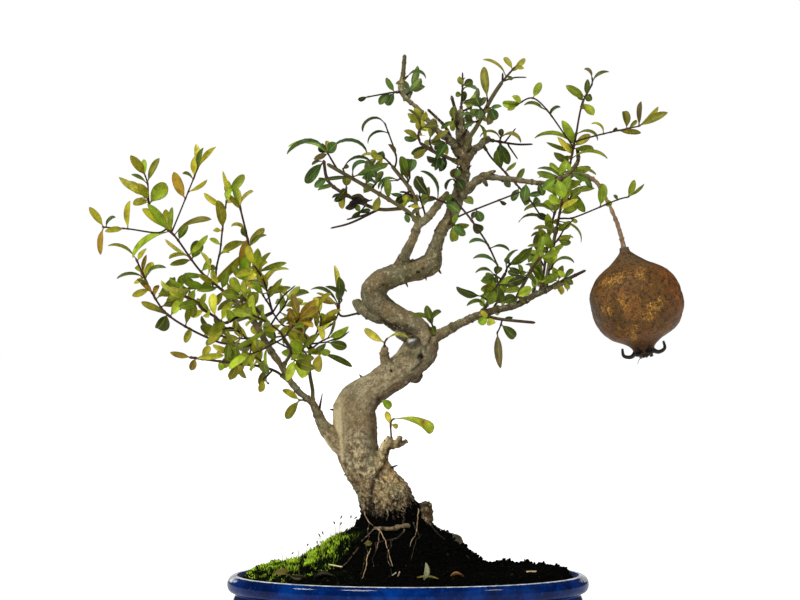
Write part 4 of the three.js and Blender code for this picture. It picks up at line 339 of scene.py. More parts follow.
            [99, 195, 8, 2.5, -60], [74, 200, 10, 3.5], [82, 180, 6, 3.5], [99, 228, 17, 6.5, "d"],
            [62, 262, 10, 5, "y"], [58, 205, 9, 4, "d"]], tone="dark"),
        twig([[-25, 3, 292], [-29, 0, 297], [-34, -2, 296]], 1.5, tone="olive"),
        twig([[-17, -1, 289], [-24, -6, 285], [-35, -12, 280], [-46, -17, 277]], 1.1, tone="olive"),
        twig([[-17, -1, 289], [-25, 6, 286], [-37, 12, 283]], 1, tone="olive"),
        twig([[-37, 7, 298], [-37, 2, 300], [-37, -1, 303]], 0.8, [[77, 230, 7, 6.5], [87, 90, 7, 5.5]],
            tone="olive"),
        twig([[-25, 3, 292], [-26, 6, 290], [-29, 9, 287], [-30, 11, 286]], 0.8,
            [[74, 125, 5, 3.5, "f"], [85, 15, 7, 3, "d"], [65, 215, 7, 3.5]], tone="dark"),
    ]],
    "crown_rise": [5, [
        twig([[7, -5, 280], [5, 0, 291], [3, 4, 298], [-1, 8, 304], [-5, 11, 310], [-10, 14, 316]], 1.6,
            [[75, 68, 13, 6, "d"], [55, 250, 12, 5], [40, 190, 12, 4, "f"]], tone="olive"),
        twig([[4, 3, 296], [-2, -2, 299], [-5, -4, 299]], 1, tone="olive"),
        twig([[-10, 14, 316], [-11, 16, 318], [-15, 20, 321], [-19, 24, 321]], 0.9,
            [[98, 130, 6, 3.5, "y"], [81, 65, 6, 5, "d"], [98, 180, 12, 2.5, -80], [54, 170, 9, 3.5, "y"],
            [17, 205, 6, 3.5], [60, 235, 11, 4.5]], 1, tone="olive"),
        twig([[-8, 13, 314], [-7, 8, 320], [-10, 4, 329], [-12, 2, 337], [-14, 1, 341]], 0.8,
            [[100, 200, 20, 3, -160], [76, 205, 17, 2.5, -130, "d"], [31, 125, 8, 3.5, "b"]], tone="dark"),
        twig([[-1, 8, 304], [1, 4, 308], [1, 0, 311]], 0.8, [[25, 105, 16, 6, "f"],
            [94, 75, 9, 5.5, "d"], [60, 120, 6, 3.5, "b"]], tone="dark"),
        twig([[-4, 10, 308], [-6, 5, 307], [-7, 2, 306]], 0.8, [[71, 205, 15, 3.5, -110],
            [95, 215, 13, 3.5, -90, "d"]], tone="dark"),
        twig([[2, 5, 300], [-1, 0, 298], [-3, -4, 297]], 0.8, [[98, 230, 6, 5, "d"],
            [93, 175, 8, 2.5, "d"], [76, 270, 7, 3.5, "y"]], tone="dark"),
        twig([[4, 0, 292], [2, -4, 291], [0, -6, 290]], 0.8, [[89, 125, 9, 3.5],
            [77, 355, 6, 2.5, "y"]], tone="olive"),
    ]],
    "head_low": [5, [
        twig([[30, 0, 317], [23, -10, 320], [14, -20, 323], [7, -28, 327]], 1.4, [[55, 262, 12, 5, "d"],
            [80, 215, 10, 4.5], [35, 250, 10, 5, "d"]], tone="olive"),
        twig([[7, -28, 327], [6, -30, 329], [6, -33, 332], [8, -36, 336]], 0.9, [[32, 155, 10, 3.5],
            [26, 175, 9, 3.5, "d"], [63, 75, 8, 5.5], [75, 40, 7, 3.5, "y"], [44, 25, 9, 3.5, "y"],
            [21, 125, 8, 3.5]], 1, tone="olive"),
        twig([[15, -19, 323], [14, -14, 325], [13, -8, 328], [13, -4, 331]], 0.8, [[65, 35, 14, 3.5],
            [39, 200, 13, 5, "d"], [91, 355, 7, 3.5, "b"]], 1, tone="olive"),
        twig([[23, -10, 320], [21, -14, 318], [18, -18, 317]], 0.8, [[52, 270, 7, 3, "d"],
            [83, 140, 8, 5, "d"], [100, 215, 6, 3.5, "d"]], tone="dark"),
    ]],
    "head_long_leaf": [4.5, [
        twig([[23, -5, 332], [23, -12, 329], [23, -16, 327]], 0.8, [[86, 240, 14, 5.5, "d"],
            [74, 185, 10, 3.5, "f"], [86, 275, 7, 4, "y"], [95, 200, 9, 4]], tone="dark"),
    ]],
    "head_pale_leaves": [3.5, [
        twig([[11, -12, 342], [9, -17, 341], [7, -20, 340]], 0.8, [[71, 120, 9, 4, "y"],
            [85, 305, 7, 4, "y"], [75, 180, 7, 3.5, "f"], [60, 70, 8, 4, "y"], [90, 150, 9, 4]],
            tone="yellow"),
    ]],
    "head_arched_leaf": [3, [
        twig([[-3, -18, 365], [-1, -21, 366], [0, -23, 367]], 0.8, [[80, 355, 14, 3.5, 130, "d"]],
            tone="dark"),
    ]],
    "head_left_leaves": [4, [
        twig([[-4, -18, 358], [-7, -21, 357], [-10, -23, 357], [-17, -25, 355], [-25, -27, 354]], 0.8,
            [[22, 240, 9, 5.5, "d"], [39, 230, 9, 5], [13, 120, 10, 3.5], [95, 195, 6, 3, "d"]],
            tone="dark"),
    ]],
    "head_left_back": [4, [
        twig([[-2, -17, 355], [0, -9, 358], [2, -2, 360], [2, 4, 363]], 0.9, [], 3, tone="dark"),
    ]],
    "middle_tip": [2.5, [
        twig([[32, 9, 349], [32, 10, 353], [33, 11, 358], [33, 12, 364], [33, 12, 372]], 0.9,
            [[65, 110, 6, 3.5], [65, 25, 7, 5.5], [52, 0, 10, 2.5, 90, "d"], [41, 180, 4, 3.5, "f"],
            [14, 75, 8, 3.5], [18, 15, 10, 3.5], [75, 70, 5, 2.5, "d"]], tone="green"),
    ]],
    "middle_low": [4, [
        twig([[31, 7, 340], [28, 2, 342], [26, -3, 343]], 0.8, [[84, 95, 6, 3], [84, 270, 7, 3.5],
            [68, 210, 9, 3, "f"]], 2, tone="green"),
    ]],
    "middle_back": [3, [
        twig([[32, 9, 348], [34, 16, 349], [37, 23, 350], [39, 30, 352]], 0.9, [], 3, tone="green"),
    ]],
    "head_back": [3, [
        twig([[35, 16, 336], [35, 20, 339], [34, 27, 344], [33, 33, 348]], 0.9, [], 3, tone="green"),
    ]],
    "head_right": [5, [
        twig([[35, 1, 323], [36, -4, 330], [41, -9, 338], [46, -14, 349], [50, -17, 355],
            [56, -20, 364]], 1.7, tone="olive"),
        twig([[56, -20, 364], [56, -21, 369]], 1.1, tone="olive"),
        twig([[56, -20, 364], [63, -22, 366], [70, -24, 366]], 0.8, tone="olive"),
        twig([[47, -14, 350], [47, -17, 353], [47, -18, 355]], 0.8, [[77, 95, 20, 5.5]], tone="olive"),
        twig([[45, -13, 347], [43, -18, 348], [42, -20, 349]], 0.8, [[78, 110, 6, 6, "d"],
            [88, 160, 8, 3.5], [71, 260, 7, 5.5, "d"], [80, 60, 7, 3.5, "d"]], tone="dark"),
        twig([[46, -14, 349], [48, -18, 348], [49, -21, 348]], 0.8, [[86, 295, 8, 6, "d"],
            [86, 5, 7, 3, "d"], [62, 270, 10, 5, "b"], [84, 235, 6, 3.5, "b"]], tone="dark"),
        twig([[42, -10, 341], [40, -14, 340], [39, -17, 340]], 0.8, [[52, 175, 6, 4],
            [20, 170, 14, 2.5, -130, "d"], [100, 205, 7, 3, "d"], [66, 295, 13, 3, 80]], tone="olive"),
        twig([[56, -20, 364], [58, -22, 366], [60, -24, 368], [63, -27, 372]], 0.9,
            [[34, 145, 18, 3.5, -60, "y"], [84, 125, 9, 3.5, "y"], [99, 40, 9, 3.5, "y"],
            [92, 355, 6, 2.5, "y"], [65, 40, 6, 2.5, "y"], [38, 330, 4, 3, "f"]], tone="yellow"),
    ]],
    "bare_right": [4, [
        twig([[48, 8, 331], [57, 6, 329], [66, 4, 328], [75, 2, 328]], 1, [[24, 296, 15, 6, "f"],
            [30, 262, 10, 4.5, "d"]], tone="olive"),
        twig([[58, 6, 329], [62, 8, 334], [65, 9, 338]], 0.8, tone="olive"),
        twig([[60, 5, 328], [63, 4, 323], [66, 3, 319]], 0.8, tone="olive"),
        twig([[55, 7, 329], [56, 4, 331], [56, 2, 333]], 0.8, [[94, 85, 5, 3.5],
            [60, 175, 16, 2.5, -140], [76, 345, 15, 2.5, 120]], tone="olive"),
    ]],
    "middle_cross": [4.5, [
        twig([[45, 6, 328], [50, 2, 320], [57, -2, 313], [59, -3, 310], [64, -4, 304], [73, -5, 294],
            [81, -6, 282]], 0.9, [[34, 105, 12, 6, "f"], [38, 40, 9, 2.5], [54, 60, 11, 3.5, "f"],
            [66, 275, 9, 6], [80, 35, 5, 5, "d"], [70, 10, 10, 3.5, "d"], [40, 285, 9, 5, "d"],
            [60, 240, 9, 4.5, "d"]], tone="green"),
    ]],
    "lower_cross": [6, [
        twig([[26, -4, 295], [31, -14, 290], [35, -20, 285], [40, -24, 278], [47, -27, 267],
            [53, -30, 254]], 1, [[46, 315, 8, 6, "f"], [75, 175, 12, 2.5, -70, "d"],
            [80, 355, 13, 2.5, 95, "d"], [98, 165, 16, 2.5, -80, "d"], [44, 60, 6, 3.5, "d"]], tone="dark"),
    ]],
    "long_cross": [5, [
        twig([[24, -2, 281], [29, -8, 284], [32, -11, 285], [40, -17, 288], [52, -24, 293],
            [66, -32, 298]], 0.9, [[42, 295, 8, 5.5, "d"], [72, 335, 5, 2.5, "d"]], tone="dark"),
    ]],
    "trunk_front_a": [6, [
        twig([[26, -3, 290], [23, -10, 292], [17, -14, 294], [12, -17, 296]], 0.8,
            [[97, 125, 15, 8, "d"], [71, 120, 22, 3, -100, "d"], [41, 325, 12, 6, "d"],
            [94, 215, 6, 2.5, "f"], [38, 60, 6, 4]], tone="dark"),
    ]],
    "trunk_front_b": [6, [
        twig([[32, -1, 304], [29, -8, 306], [28, -11, 307]], 0.8, [[88, 305, 8, 5.5, "d"],
            [100, 70, 6, 4], [100, 230, 10, 3, -100, "d"]], tone="dark"),
    ]],
    "trunk_front_c": [6, [
        twig([[33, 0, 312], [30, -6, 313], [29, -9, 314]], 0.8, [[95, 250, 7, 5, "b"],
            [100, 75, 5, 3.5, "b"]], tone="bronze"),
    ]],
    "trunk_front_d": [6, [
        twig([[23, -2, 281], [26, -8, 280], [27, -12, 279]], 0.8, [[95, 0, 10, 3.5], [95, 275, 10, 5.5],
            [100, 320, 10, 5, "d"], [75, 65, 7, 3.5, "f"]], tone="green"),
    ]],
    "trunk_back": [6.5, [
        twig([[28, -2, 291], [30, 7, 293], [32, 14, 295], [34, 24, 298]], 0.9, [], 3, tone="green"),
    ]],
    "upper_left_back": [5, [
        twig([[11, -6, 283], [10, 3, 287], [8, 12, 292], [7, 22, 298]], 0.9, [], 3, tone="green"),
    ]],
    "right_tall": [4.5, [
        twig([[81, -16, 240], [83, -13, 250], [86, -10, 265], [89, -8, 279]], 1.5,
            [[55, 160, 16, 4, -70], [70, 20, 14, 4, 70], [62, 110, 11, 5, "f"], [88, 170, 14, 4, -60],
            [90, 35, 11, 4.5, "f"]], tone="olive"),
        twig([[89, -8, 279], [90, -7, 283], [92, -6, 294], [95, -4, 306], [97, -3, 317], [98, -2, 320],
            [99, -2, 324], [100, -1, 329]], 1.1, [[4, 300, 6, 3.5, "f"], [5, 320, 21, 3, 80],
            [14, 25, 13, 5, "f"], [19, 30, 12, 3.5, "y"], [27, 50, 10, 4], [26, 145, 9, 5.5, "f"],
            [35, 145, 13, 7, "f"], [49, 150, 21, 3.5, -80, "d"], [43, 155, 20, 2.5, -110, "d"],
            [42, 135, 14, 3.5, "y"], [60, 20, 15, 4.5, "f"], [55, 335, 9, 2.5, "d"], [52, 45, 8, 3.5],
            [24, 180, 7, 5.5], [80, 0, 24, 4, 90], [92, 0, 13, 4.5], [97, 170, 26, 5, -80],
            [98, 120, 16, 5.5, "f"], [98, 85, 10, 5.5, "f"], [86, 105, 8, 4.5, "y"],
            [84, 130, 14, 3.5, "y"], [84, 205, 8, 3.5, "f"], [88, 160, 17, 3], [30, 85, 12, 5, "f"],
            [38, 60, 12, 4.5, "f"], [45, 20, 13, 4.5], [46, 100, 12, 5, "f"], [56, 160, 14, 4.5, "f"],
            [64, 195, 10, 4], [66, 350, 17, 4, 60], [75, 150, 12, 4.5], [88, 20, 12, 4.5, "f"],
            [95, 60, 12, 5, "y"]], tone="green"),
        twig([[100, -1, 329], [101, 0, 333], [102, 2, 342], [105, 4, 353], [107, 5, 357], [111, 7, 365],
            [111, 8, 369]], 0.9, [[67, 150, 14, 5], [70, 85, 10, 3.5, "d"], [73, 305, 5, 5, "d"],
            [58, 310, 10, 5.5], [56, 290, 6, 3.5, "b"], [100, 130, 8, 2.5, -75, "b"],
            [89, 35, 14, 2.5, 90, "d"], [61, 120, 6, 3.5], [12, 345, 16, 3, 110]], tone="green"),
        twig([[99, -2, 326], [95, -8, 331], [84, -14, 343], [81, -16, 346], [74, -20, 354],
            [69, -22, 352], [63, -24, 349]], 0.8, [[76, 65, 11, 4.5, "f"], [90, 180, 12, 5, "f"],
            [91, 150, 7, 4, "f"], [100, 210, 6, 3], [56, 160, 14, 4, -80], [47, 45, 10, 2.5, 90, "d"]],
            tone="green"),
        twig([[100, -1, 329], [103, -8, 330], [109, -13, 331], [116, -18, 333], [130, -26, 336],
            [137, -30, 337]], 0.8, [[50, 140, 11, 2.5, -110], [81, 95, 11, 5], [84, 45, 7, 2.5],
            [69, 355, 14, 3.5], [99, 85, 15, 3.5, "b"], [100, 45, 17, 3.5], [98, 25, 18, 5],
            [61, 35, 4, 2.5, "d"]], tone="olive"),
        twig([[92, -7, 290], [95, -1, 292], [98, 10, 296], [100, 18, 301]], 0.9,
            [[97, 300, 15, 5.5, "f"], [92, 285, 8, 3.5, "y"]], 2, tone="green"),
        twig([[90, -8, 283], [93, -13, 283], [97, -16, 283], [106, -21, 287], [115, -26, 290],
            [125, -31, 294], [130, -34, 295]], 0.8, [[61, 85, 14, 6], [98, 70, 11, 4], [100, 40, 12, 2.5],
            [85, 135, 4, 2.5, "d"], [66, 20, 5, 3.5], [20, 330, 5, 2.5]], tone="green"),
        twig([[87, -10, 268], [89, -14, 270], [93, -18, 277], [98, -20, 282]], 0.8,
            [[23, 350, 8, 5, "f"], [32, 15, 9, 2.5, -65]], tone="green"),
        twig([[83, -13, 252], [85, -17, 253], [86, -20, 256]], 0.8, [[51, 85, 13, 4.5, "f"],
            [79, 295, 7, 4, "f"], [71, 115, 7, 3.5], [98, 5, 15, 2.5, 110, "d"], [90, 140, 11, 4.5, "f"]],
            tone="green"),
    ]],
    "right_second": [4.5, [
        twig([[79, -15, 240], [81, -4, 249], [83, 4, 260], [84, 4, 264], [84, 5, 271], [86, 6, 278],
            [89, 8, 287], [91, 10, 295]], 1.2, [[86, 175, 21, 5, -95], [88, 140, 9, 5.5, "f"],
            [76, 150, 11, 4.5, "d"], [75, 175, 22, 3, -95, "d"], [62, 175, 12, 3, -90],
            [76, 30, 5, 3, "y"], [66, 35, 7, 3.5, "f"], [93, 55, 6, 3, "y"], [55, 120, 12, 5],
            [48, 30, 12, 4.5, "f"], [40, 160, 13, 4, -70], [68, 100, 11, 5, "f"]], 2, tone="green"),
        twig([[82, 0, 254], [80, 6, 257], [79, 12, 260], [78, 17, 263]], 0.8, [[82, 155, 5, 3.5, "d"],
            [70, 50, 8, 3.5, "f"]], 1, tone="green"),
    ]],
    "right_axil": [4.5, [
        twig([[81, -16, 240], [80, -21, 243], [79, -24, 246]], 0.8, [[72, 125, 13, 7, "f"],
            [89, 135, 16, 2.5, -100, "d"], [79, 40, 6, 3.5], [60, 60, 11, 5, "f"]], 1, tone="green"),
    ]],
    "right_end_front": [4, [
        twig([[91, -19, 245], [92, -24, 247], [93, -28, 248]], 0.8, [[82, 320, 6, 3.5, "d"],
            [72, 290, 7, 3.5], [60, 45, 8, 3.5, "d"], [100, 140, 6, 3.5, "f"]], tone="olive"),
    ]],
    "right_end_back": [4, [
        twig([[87, -18, 243], [88, -12, 245], [90, -8, 246]], 0.8, [[66, 290, 8, 3.5],
            [89, 315, 9, 2.5, 45, "d"], [78, 140, 7, 3.5, "f"]], 1, tone="olive"),
    ]],
    "right_rise": [4.5, [
        twig([[43, -6, 225], [48, -2, 234], [52, 2, 241], [56, 5, 247], [59, 8, 251]], 1.4,
            [[60, 120, 12, 5, "f"], [75, 200, 12, 5]], tone="olive"),
        twig([[59, 8, 251], [60, 9, 254], [62, 12, 257], [65, 15, 259]], 0.9, [[40, 40, 18, 5.5, "f"],
            [64, 35, 14, 6, "f"], [11, 60, 16, 3, 90, "d"], [54, 125, 5, 3.5, "d"],
            [31, 335, 9, 3.5, "d"]], tone="green"),
        twig([[56, 5, 247], [53, 1, 249], [51, -3, 250]], 0.8, [[91, 175, 13, 3.5, -110, "d"],
            [86, 205, 10, 6], [65, 65, 6, 5, "d"], [70, 285, 5, 3.5, "d"]], tone="dark"),
        twig([[52, 2, 241], [53, -5, 243], [54, -10, 244]], 0.8, [[98, 262, 11, 9.5, "d"],
            [100, 20, 11, 4.5, "f"], [84, 5, 15, 3.5]], tone="dark"),
        twig([[48, -2, 234], [45, -8, 236], [43, -12, 237]], 0.8, [[92, 160, 16, 6.5, "d"],
            [79, 50, 7, 6, "f"], [79, 275, 6, 3.5, "f"]], tone="dark"),
        twig([[46, -4, 230], [46, -11, 230], [48, -15, 231]], 0.8, [[85, 65, 10, 5.5, "f"],
            [60, 175, 13, 2.5, -95, "d"]], tone="green"),
    ]],
    "right_middle": [4.5, [
        twig([[62, -11, 231], [66, -20, 240], [70, -27, 247], [73, -32, 253], [78, -38, 260]], 1.3,
            [[70, 60, 14, 5, "f"], [60, 200, 13, 5, "d"], [95, 80, 14, 4.5, "f"], [100, 20, 12, 4]], 2,
            tone="green"),
        twig([[66, -20, 240], [64, -25, 237], [64, -28, 236]], 0.8, [[100, 35, 10, 5.5, "f"],
            [96, 200, 9, 6, "d"], [80, 315, 6, 3.5, "b"]], tone="green"),
        twig([[70, -27, 247], [67, -32, 249], [65, -35, 249]], 0.8, [[79, 160, 8, 3.5, "d"],
            [89, 330, 12, 2.5, 90, "d"], [79, 95, 7, 3.5, "f"], [89, 25, 7, 3.5, "d"]], tone="green"),
    ]],
    "right_cut": [4.5, [
        twig([[45, -6, 225], [55, -14, 223], [65, -20, 222], [75, -25, 221]], 1.3, tone="olive"),
        twig([[50, -10, 224], [49, -15, 224], [47, -19, 224]], 0.8, [[78, 305, 5, 5.5, "y"],
            [78, 210, 7, 5, "f"], [91, 135, 6, 3.5]], tone="yellow"),
        twig([[56, -15, 223], [56, -9, 222], [55, -4, 218], [53, -3, 214]], 0.8, [[55, 315, 12, 6, "d"],
            [30, 15, 7, 2.5, "d"], [100, 275, 22, 5, "b"]], tone="dark"),
    ]],
    "right_back_a": [4.5, [
        twig([[51, -8, 228], [52, 2, 231], [55, 14, 234], [58, 24, 239]], 0.9, [], 4, tone="green"),
    ]],
    "right_back_b": [4.5, [
        twig([[73, -14, 236], [75, -4, 239], [77, 8, 243], [78, 18, 248]], 0.9, [], 3, tone="green"),
    ]],
    "turn_front": [5.5, [
        twig([[15, 4, 212], [16, -4, 215], [15, -12, 219], [13, -18, 223]], 0.9, [], 2, tone="dark"),
    ]],
}

# Fallen leaves on the soil: [x, y, heading, length, width, roll]
FALLEN_LEAVES = [
    [5, -60, 10, 13, 5, 10], [-44, -50, 170, 10, 6, 0], [33, -50, 200, 9, 5, 15],
]

# ---------------------------------------------------------------- small helpers
def vec(p):
    return np.array(p[:3], float)


def unit(v):
    return v / np.linalg.norm(v)


def srgb(code):
    """The linear colour of a hex code."""
    parts = np.array([(code >> shift & 255) / 255 for shift in (16, 8, 0)])
    return np.where(parts <= 0.04045, parts / 12.92, ((parts + 0.055) / 1.055) ** 2.4)


def smoothstep(value, low, high):
    t = np.clip((value - low) / (high - low), 0, 1)
    return t * t * (3 - 2 * t)


def falling(value, low, high):
    """From 1 at low down to 0 at high."""
    return smoothstep(-value, -high, -low)


def hump(value, middle, reach):
    """From 1 at the middle, falling off to both sides."""
    return np.exp(-((value - middle) / reach) ** 2)


def toward(tint, colour, share):
    """A tint moved towards a colour by the share of each point."""
    return tint + (colour - tint) * np.asarray(share)[..., None]


def fractal(points, roughness, step, octaves):
    return np.array([noise.fractal(Vector(p), roughness, step, octaves) for p in points])


def waves(points):
    return np.array([noise.noise(Vector(p)) for p in points])


def circle(sides):
    """The angles of points set evenly around a circle."""
    return 2 * np.pi * np.arange(sides) / sides


def seeded_draw(seed):
    """The same seed gives the same draws each time, and the same as in the solids."""
    state = seed

    def draw():
        nonlocal state
        state = (state + 0x6D2B79F5) & 0xFFFFFFFF
        mixed = (state ^ (state >> 15)) * (state | 1) & 0xFFFFFFFF
        mixed = (mixed + (mixed ^ (mixed >> 7)) * (mixed | 61)) & 0xFFFFFFFF ^ mixed
        return ((mixed ^ (mixed >> 14)) & 0xFFFFFFFF) / 4294967296

    return draw


def path_length(path):
    return sum(np.linalg.norm(vec(b) - vec(a)) for a, b in zip(path, path[1:]))


def along_path(path, share):
    """The point at a share of the way along a path, and the direction there."""
    lengths = [np.linalg.norm(vec(b) - vec(a)) for a, b in zip(path, path[1:])]
    rest = share * sum(lengths)
    i = 0
    while i < len(lengths) - 1 and rest > lengths[i]:
        rest -= lengths[i]
        i += 1
    along = unit(vec(path[i + 1]) - vec(path[i]))
    return vec(path[i]) + along * rest, along


# ---------------------------------------------------------------- where each leaf grows
def leaf_points(leaf, shares):
    """Points at shares of the way along a leaf that bends in a few even steps."""
    steps = 6
    shares = shares[:, None]
    turns = leaf["arch"] * (0.5 - (np.arange(steps) + 0.5) / steps * shares)
    chord = (np.cos(turns).sum(1)[:, None] * leaf["along"]
             + np.sin(turns).sum(1)[:, None] * leaf["face"])
    return leaf["base"] + chord * leaf["length"] * shares / steps


def leaf_samples(leaf):
    """Points all over a leaf, to test whether it is clear of other leaves and of wood."""
    rows = max(4, math.ceil(leaf["length"] / 2.4))
    columns = [-1, -0.5, 0, 0.5, 1] if leaf["width"] > 4.4 else [-1, 0, 1]
    shares = 0.22 + 0.78 * np.arange(1, rows + 1) / rows
    body = np.maximum(np.sin(np.pi * np.minimum(shares, 1) ** 0.85), 0)
    half = np.maximum(STALK_HALF_WIDTH, leaf["width"] / 2 * body ** 0.8)
    side = np.cross(leaf["along"], leaf["face"])
    middle = leaf_points(leaf, shares)
    across = half[:, None] * np.array(columns)
    return (middle[:, None, :] + across[:, :, None] * side).reshape(-1, 3)


FRUIT_TURN = math.radians(FRUIT_LEAN)
FRUIT_DOWN = np.array([math.sin(FRUIT_TURN), 0, -math.cos(FRUIT_TURN)])
FRUIT_RIGHT = np.array([math.cos(FRUIT_TURN), 0, math.sin(FRUIT_TURN)])
placed_leaves = []
wood = []


def add_wood(points, radii, owner):
    for i in range(len(points) - 1):
        wood.append((vec(points[i]), vec(points[i + 1]), max(radii[i], radii[i + 1]), owner))


def distances_to_wood(points, starts, runs):
    """From each point to each stretch of wood."""
    from_start = points[:, None, :] - starts[None]
    share = np.clip((from_start * runs).sum(2) / (runs * runs).sum(1), 0, 1)
    return np.linalg.norm(from_start - share[:, :, None] * runs, axis=2)


def is_clear(samples, owner, base, reach):
    """Whether a leaf touches no other leaf and no wood apart from its own shoot at its root."""
    if samples[:, 2].min() <= LEAF_FLOOR:
        return False
    for centre, other_reach, others in placed_leaves:
        if np.linalg.norm(centre - base) > reach + other_reach + LEAF_CLEARANCE:
            continue
        gaps = samples[:, None, :] - others[None]
        if (gaps * gaps).sum(2).min() < LEAF_CLEARANCE ** 2:
            return False
    starts, runs, radii, owners = wood_table
    near = distances_to_wood(base[None], starts, runs)[0] < reach + radii + WOOD_CLEARANCE
    far_from_root = np.linalg.norm(samples - base, axis=1) >= OWN_WOOD_REACH
    hits = distances_to_wood(samples, starts[near], runs[near]) < radii[near] + WOOD_CLEARANCE
    own = owners[near] == owner
    return not (hits & (far_from_root[:, None] | ~own)).any()


def direction_of(heading, lean):
    """A direction from its heading in the front view and its lean towards the front."""
    h, tilt = math.radians(heading), math.radians(lean)
    return np.array([math.cos(h) * math.cos(tilt), -math.sin(tilt),
                     math.sin(h) * math.cos(tilt)])


def face_of(along, wanted, roll):
    """The way a leaf faces: as wanted, but square to its length, and rolled around it."""
    face = wanted - along * wanted.dot(along)
    if np.linalg.norm(face) < 0.2:
        face = UP - along * along[2]
    face = unit(face)
    side = np.cross(along, face)
    return face * math.cos(math.radians(roll)) + side * math.sin(math.radians(roll))


def try_leaf(leaf, owner):
    samples = leaf_samples(leaf)
    reach = np.linalg.norm(samples - leaf["base"], axis=1).max()
    if not is_clear(samples, owner, leaf["base"], reach):
        return False
    placed_leaves.append((leaf["base"], reach, samples))
    return True


def place_set_leaf(spec, base, owner, draw):
    """A leaf that a spray lists, turned a little where it has no room."""
    heading, length, width = spec[1:4]
    arch_turn = spec[4] if len(spec) > 4 and not isinstance(spec[4], str) else 0
    lean = 50 * (draw() - 0.5)
    roll = 60 * (draw() - 0.5)
    droop = 15 + 30 * draw()
    edge_on = arch_turn != 0
    tilt = 50 if width > 5 else EDGE_TILT
    arch = math.radians(abs(arch_turn) if edge_on else droop)
    for turn in TRIED_TURNS:
        for extra in TRIED_LEANS:
            away = (0.4 * lean if edge_on else lean) + extra
            along = direction_of(heading + turn, away)
            face = face_of(along, FRONT, -tilt * math.copysign(1, arch_turn) if edge_on else roll)
            leaf = {"base": base, "along": along, "face": face, "arch": arch,
                    "length": length / max(math.cos(math.radians(away)), LEAST_SHORTENING),
                    "width": max(width, EDGE_WIDTH if edge_on else 0)}
            if try_leaf(leaf, owner):
                leaf["tone"] = spec[-1] if isinstance(spec[-1], str) else ""
                leaf["edge_on"] = edge_on
                return leaf
    return None


def bare_share(owner, branch):
    """How much of a shoot stays bare at its root, where its stub is."""
    stub, branches = SPRAYS[owner]
    return (stub + TIP_GAP + 1) / path_length(branch["path"]) if branch is branches[0] else 0


def leaf_share(owner, branch, share):
    return max(min(share, 1 - 1 / path_length(branch["path"])), bare_share(owner, branch))


def place_pairs(branch, owner, draw):
    """Pairs of leaves set along a shoot, each a quarter turn on from the last."""
    found = []
    for i in range(branch["pairs"]):
        bare = max(0.25, bare_share(owner, branch))
        share = bare + (1 - bare) * (i + 1) / branch["pairs"]
        point, stem = along_path(branch["path"], leaf_share(owner, branch, share))
        across = face_of(stem, UP, 0)
        side = np.cross(stem, across)
        quarter = i * math.pi / 2 + draw()
        for half in (0, math.pi):
            spread = math.radians(40 + 25 * draw())
            length = PAIR_LENGTH * (0.8 + 0.4 * draw())
            width = PAIR_WIDTH * (0.75 + 0.4 * draw())
            roll = 50 * (draw() - 0.5)
            arch = math.radians(10 + 35 * draw())
            for extra in (0, 0.35, -0.35, 0.7, -0.7, 1.05):
                turn = quarter + half + extra
                out = across * math.cos(turn) + side * math.sin(turn)
                along = stem * math.cos(spread) + out * math.sin(spread)
                leaf = {"base": point, "along": along, "face": face_of(along, stem, roll),
                        "length": length, "width": width, "arch": arch, "tone": ""}
                if try_leaf(leaf, owner):
                    found.append(leaf)
                    break
    return found


def split_stub(path, stub):
    """The joint at the stub's end, and the path that goes on from it."""
    root = vec(path[0])
    along = unit(vec(path[1]) - root)
    joint = root + along * stub
    kept = [vec(p) for p in path[1:]]
    while len(kept) > 1 and np.linalg.norm(kept[0] - root) < stub + 1:
        kept.pop(0)
    return joint, [joint + along * TIP_GAP, *kept]


def tapered_radii(points, radius):
    return [radius * (1 - (1 - TWIG_TAPER) * i / (len(points) - 1)) for i in range(len(points))]


def register_wood():
    """All the wood and the fruit as a table of stretches, which the leaves keep clear of."""
    for points in (TRUNK, *LIMBS.values()):
        add_wood(points, [p[3] for p in points], "trunk")
    for name, (stub, branches) in SPRAYS.items():
        for i, branch in enumerate(branches):
            points = split_stub(branch["path"], stub)[1] if i == 0 else branch["path"]
            add_wood(points, tapered_radii(points, branch["radius"]), name)
    middle = [vec(FRUIT_TOP) + FRUIT_DOWN * drop for drop in (32, 34)]
    add_wood(middle, [29, 29], "fruit")
    starts, ends, radii, owners = zip(*wood)
    return (np.array(starts), np.array(ends) - np.array(starts), np.array(radii),
            np.array(owners))


def grow_leaves():
    """The leaves of each spray: first those that are listed, then the pairs."""
    draw = seeded_draw(LEAF_SEED)
    grown = {name: [] for name in SPRAYS}
    for name, (_, branches) in SPRAYS.items():
        for number, branch in enumerate(branches):
            for spec in branch["leaves"]:
                point, _ = along_path(branch["path"], leaf_share(name, branch, spec[0] / 100))
                leaf = place_set_leaf(spec, point, name, draw)
                if leaf:
                    leaf["branch"] = number
                    grown[name].append(leaf)
    for name, (_, branches) in SPRAYS.items():
        for number, branch in enumerate(branches):
            for leaf in place_pairs(branch, name, draw):
                leaf["branch"] = number
                grown[name].append(leaf)
    return grown


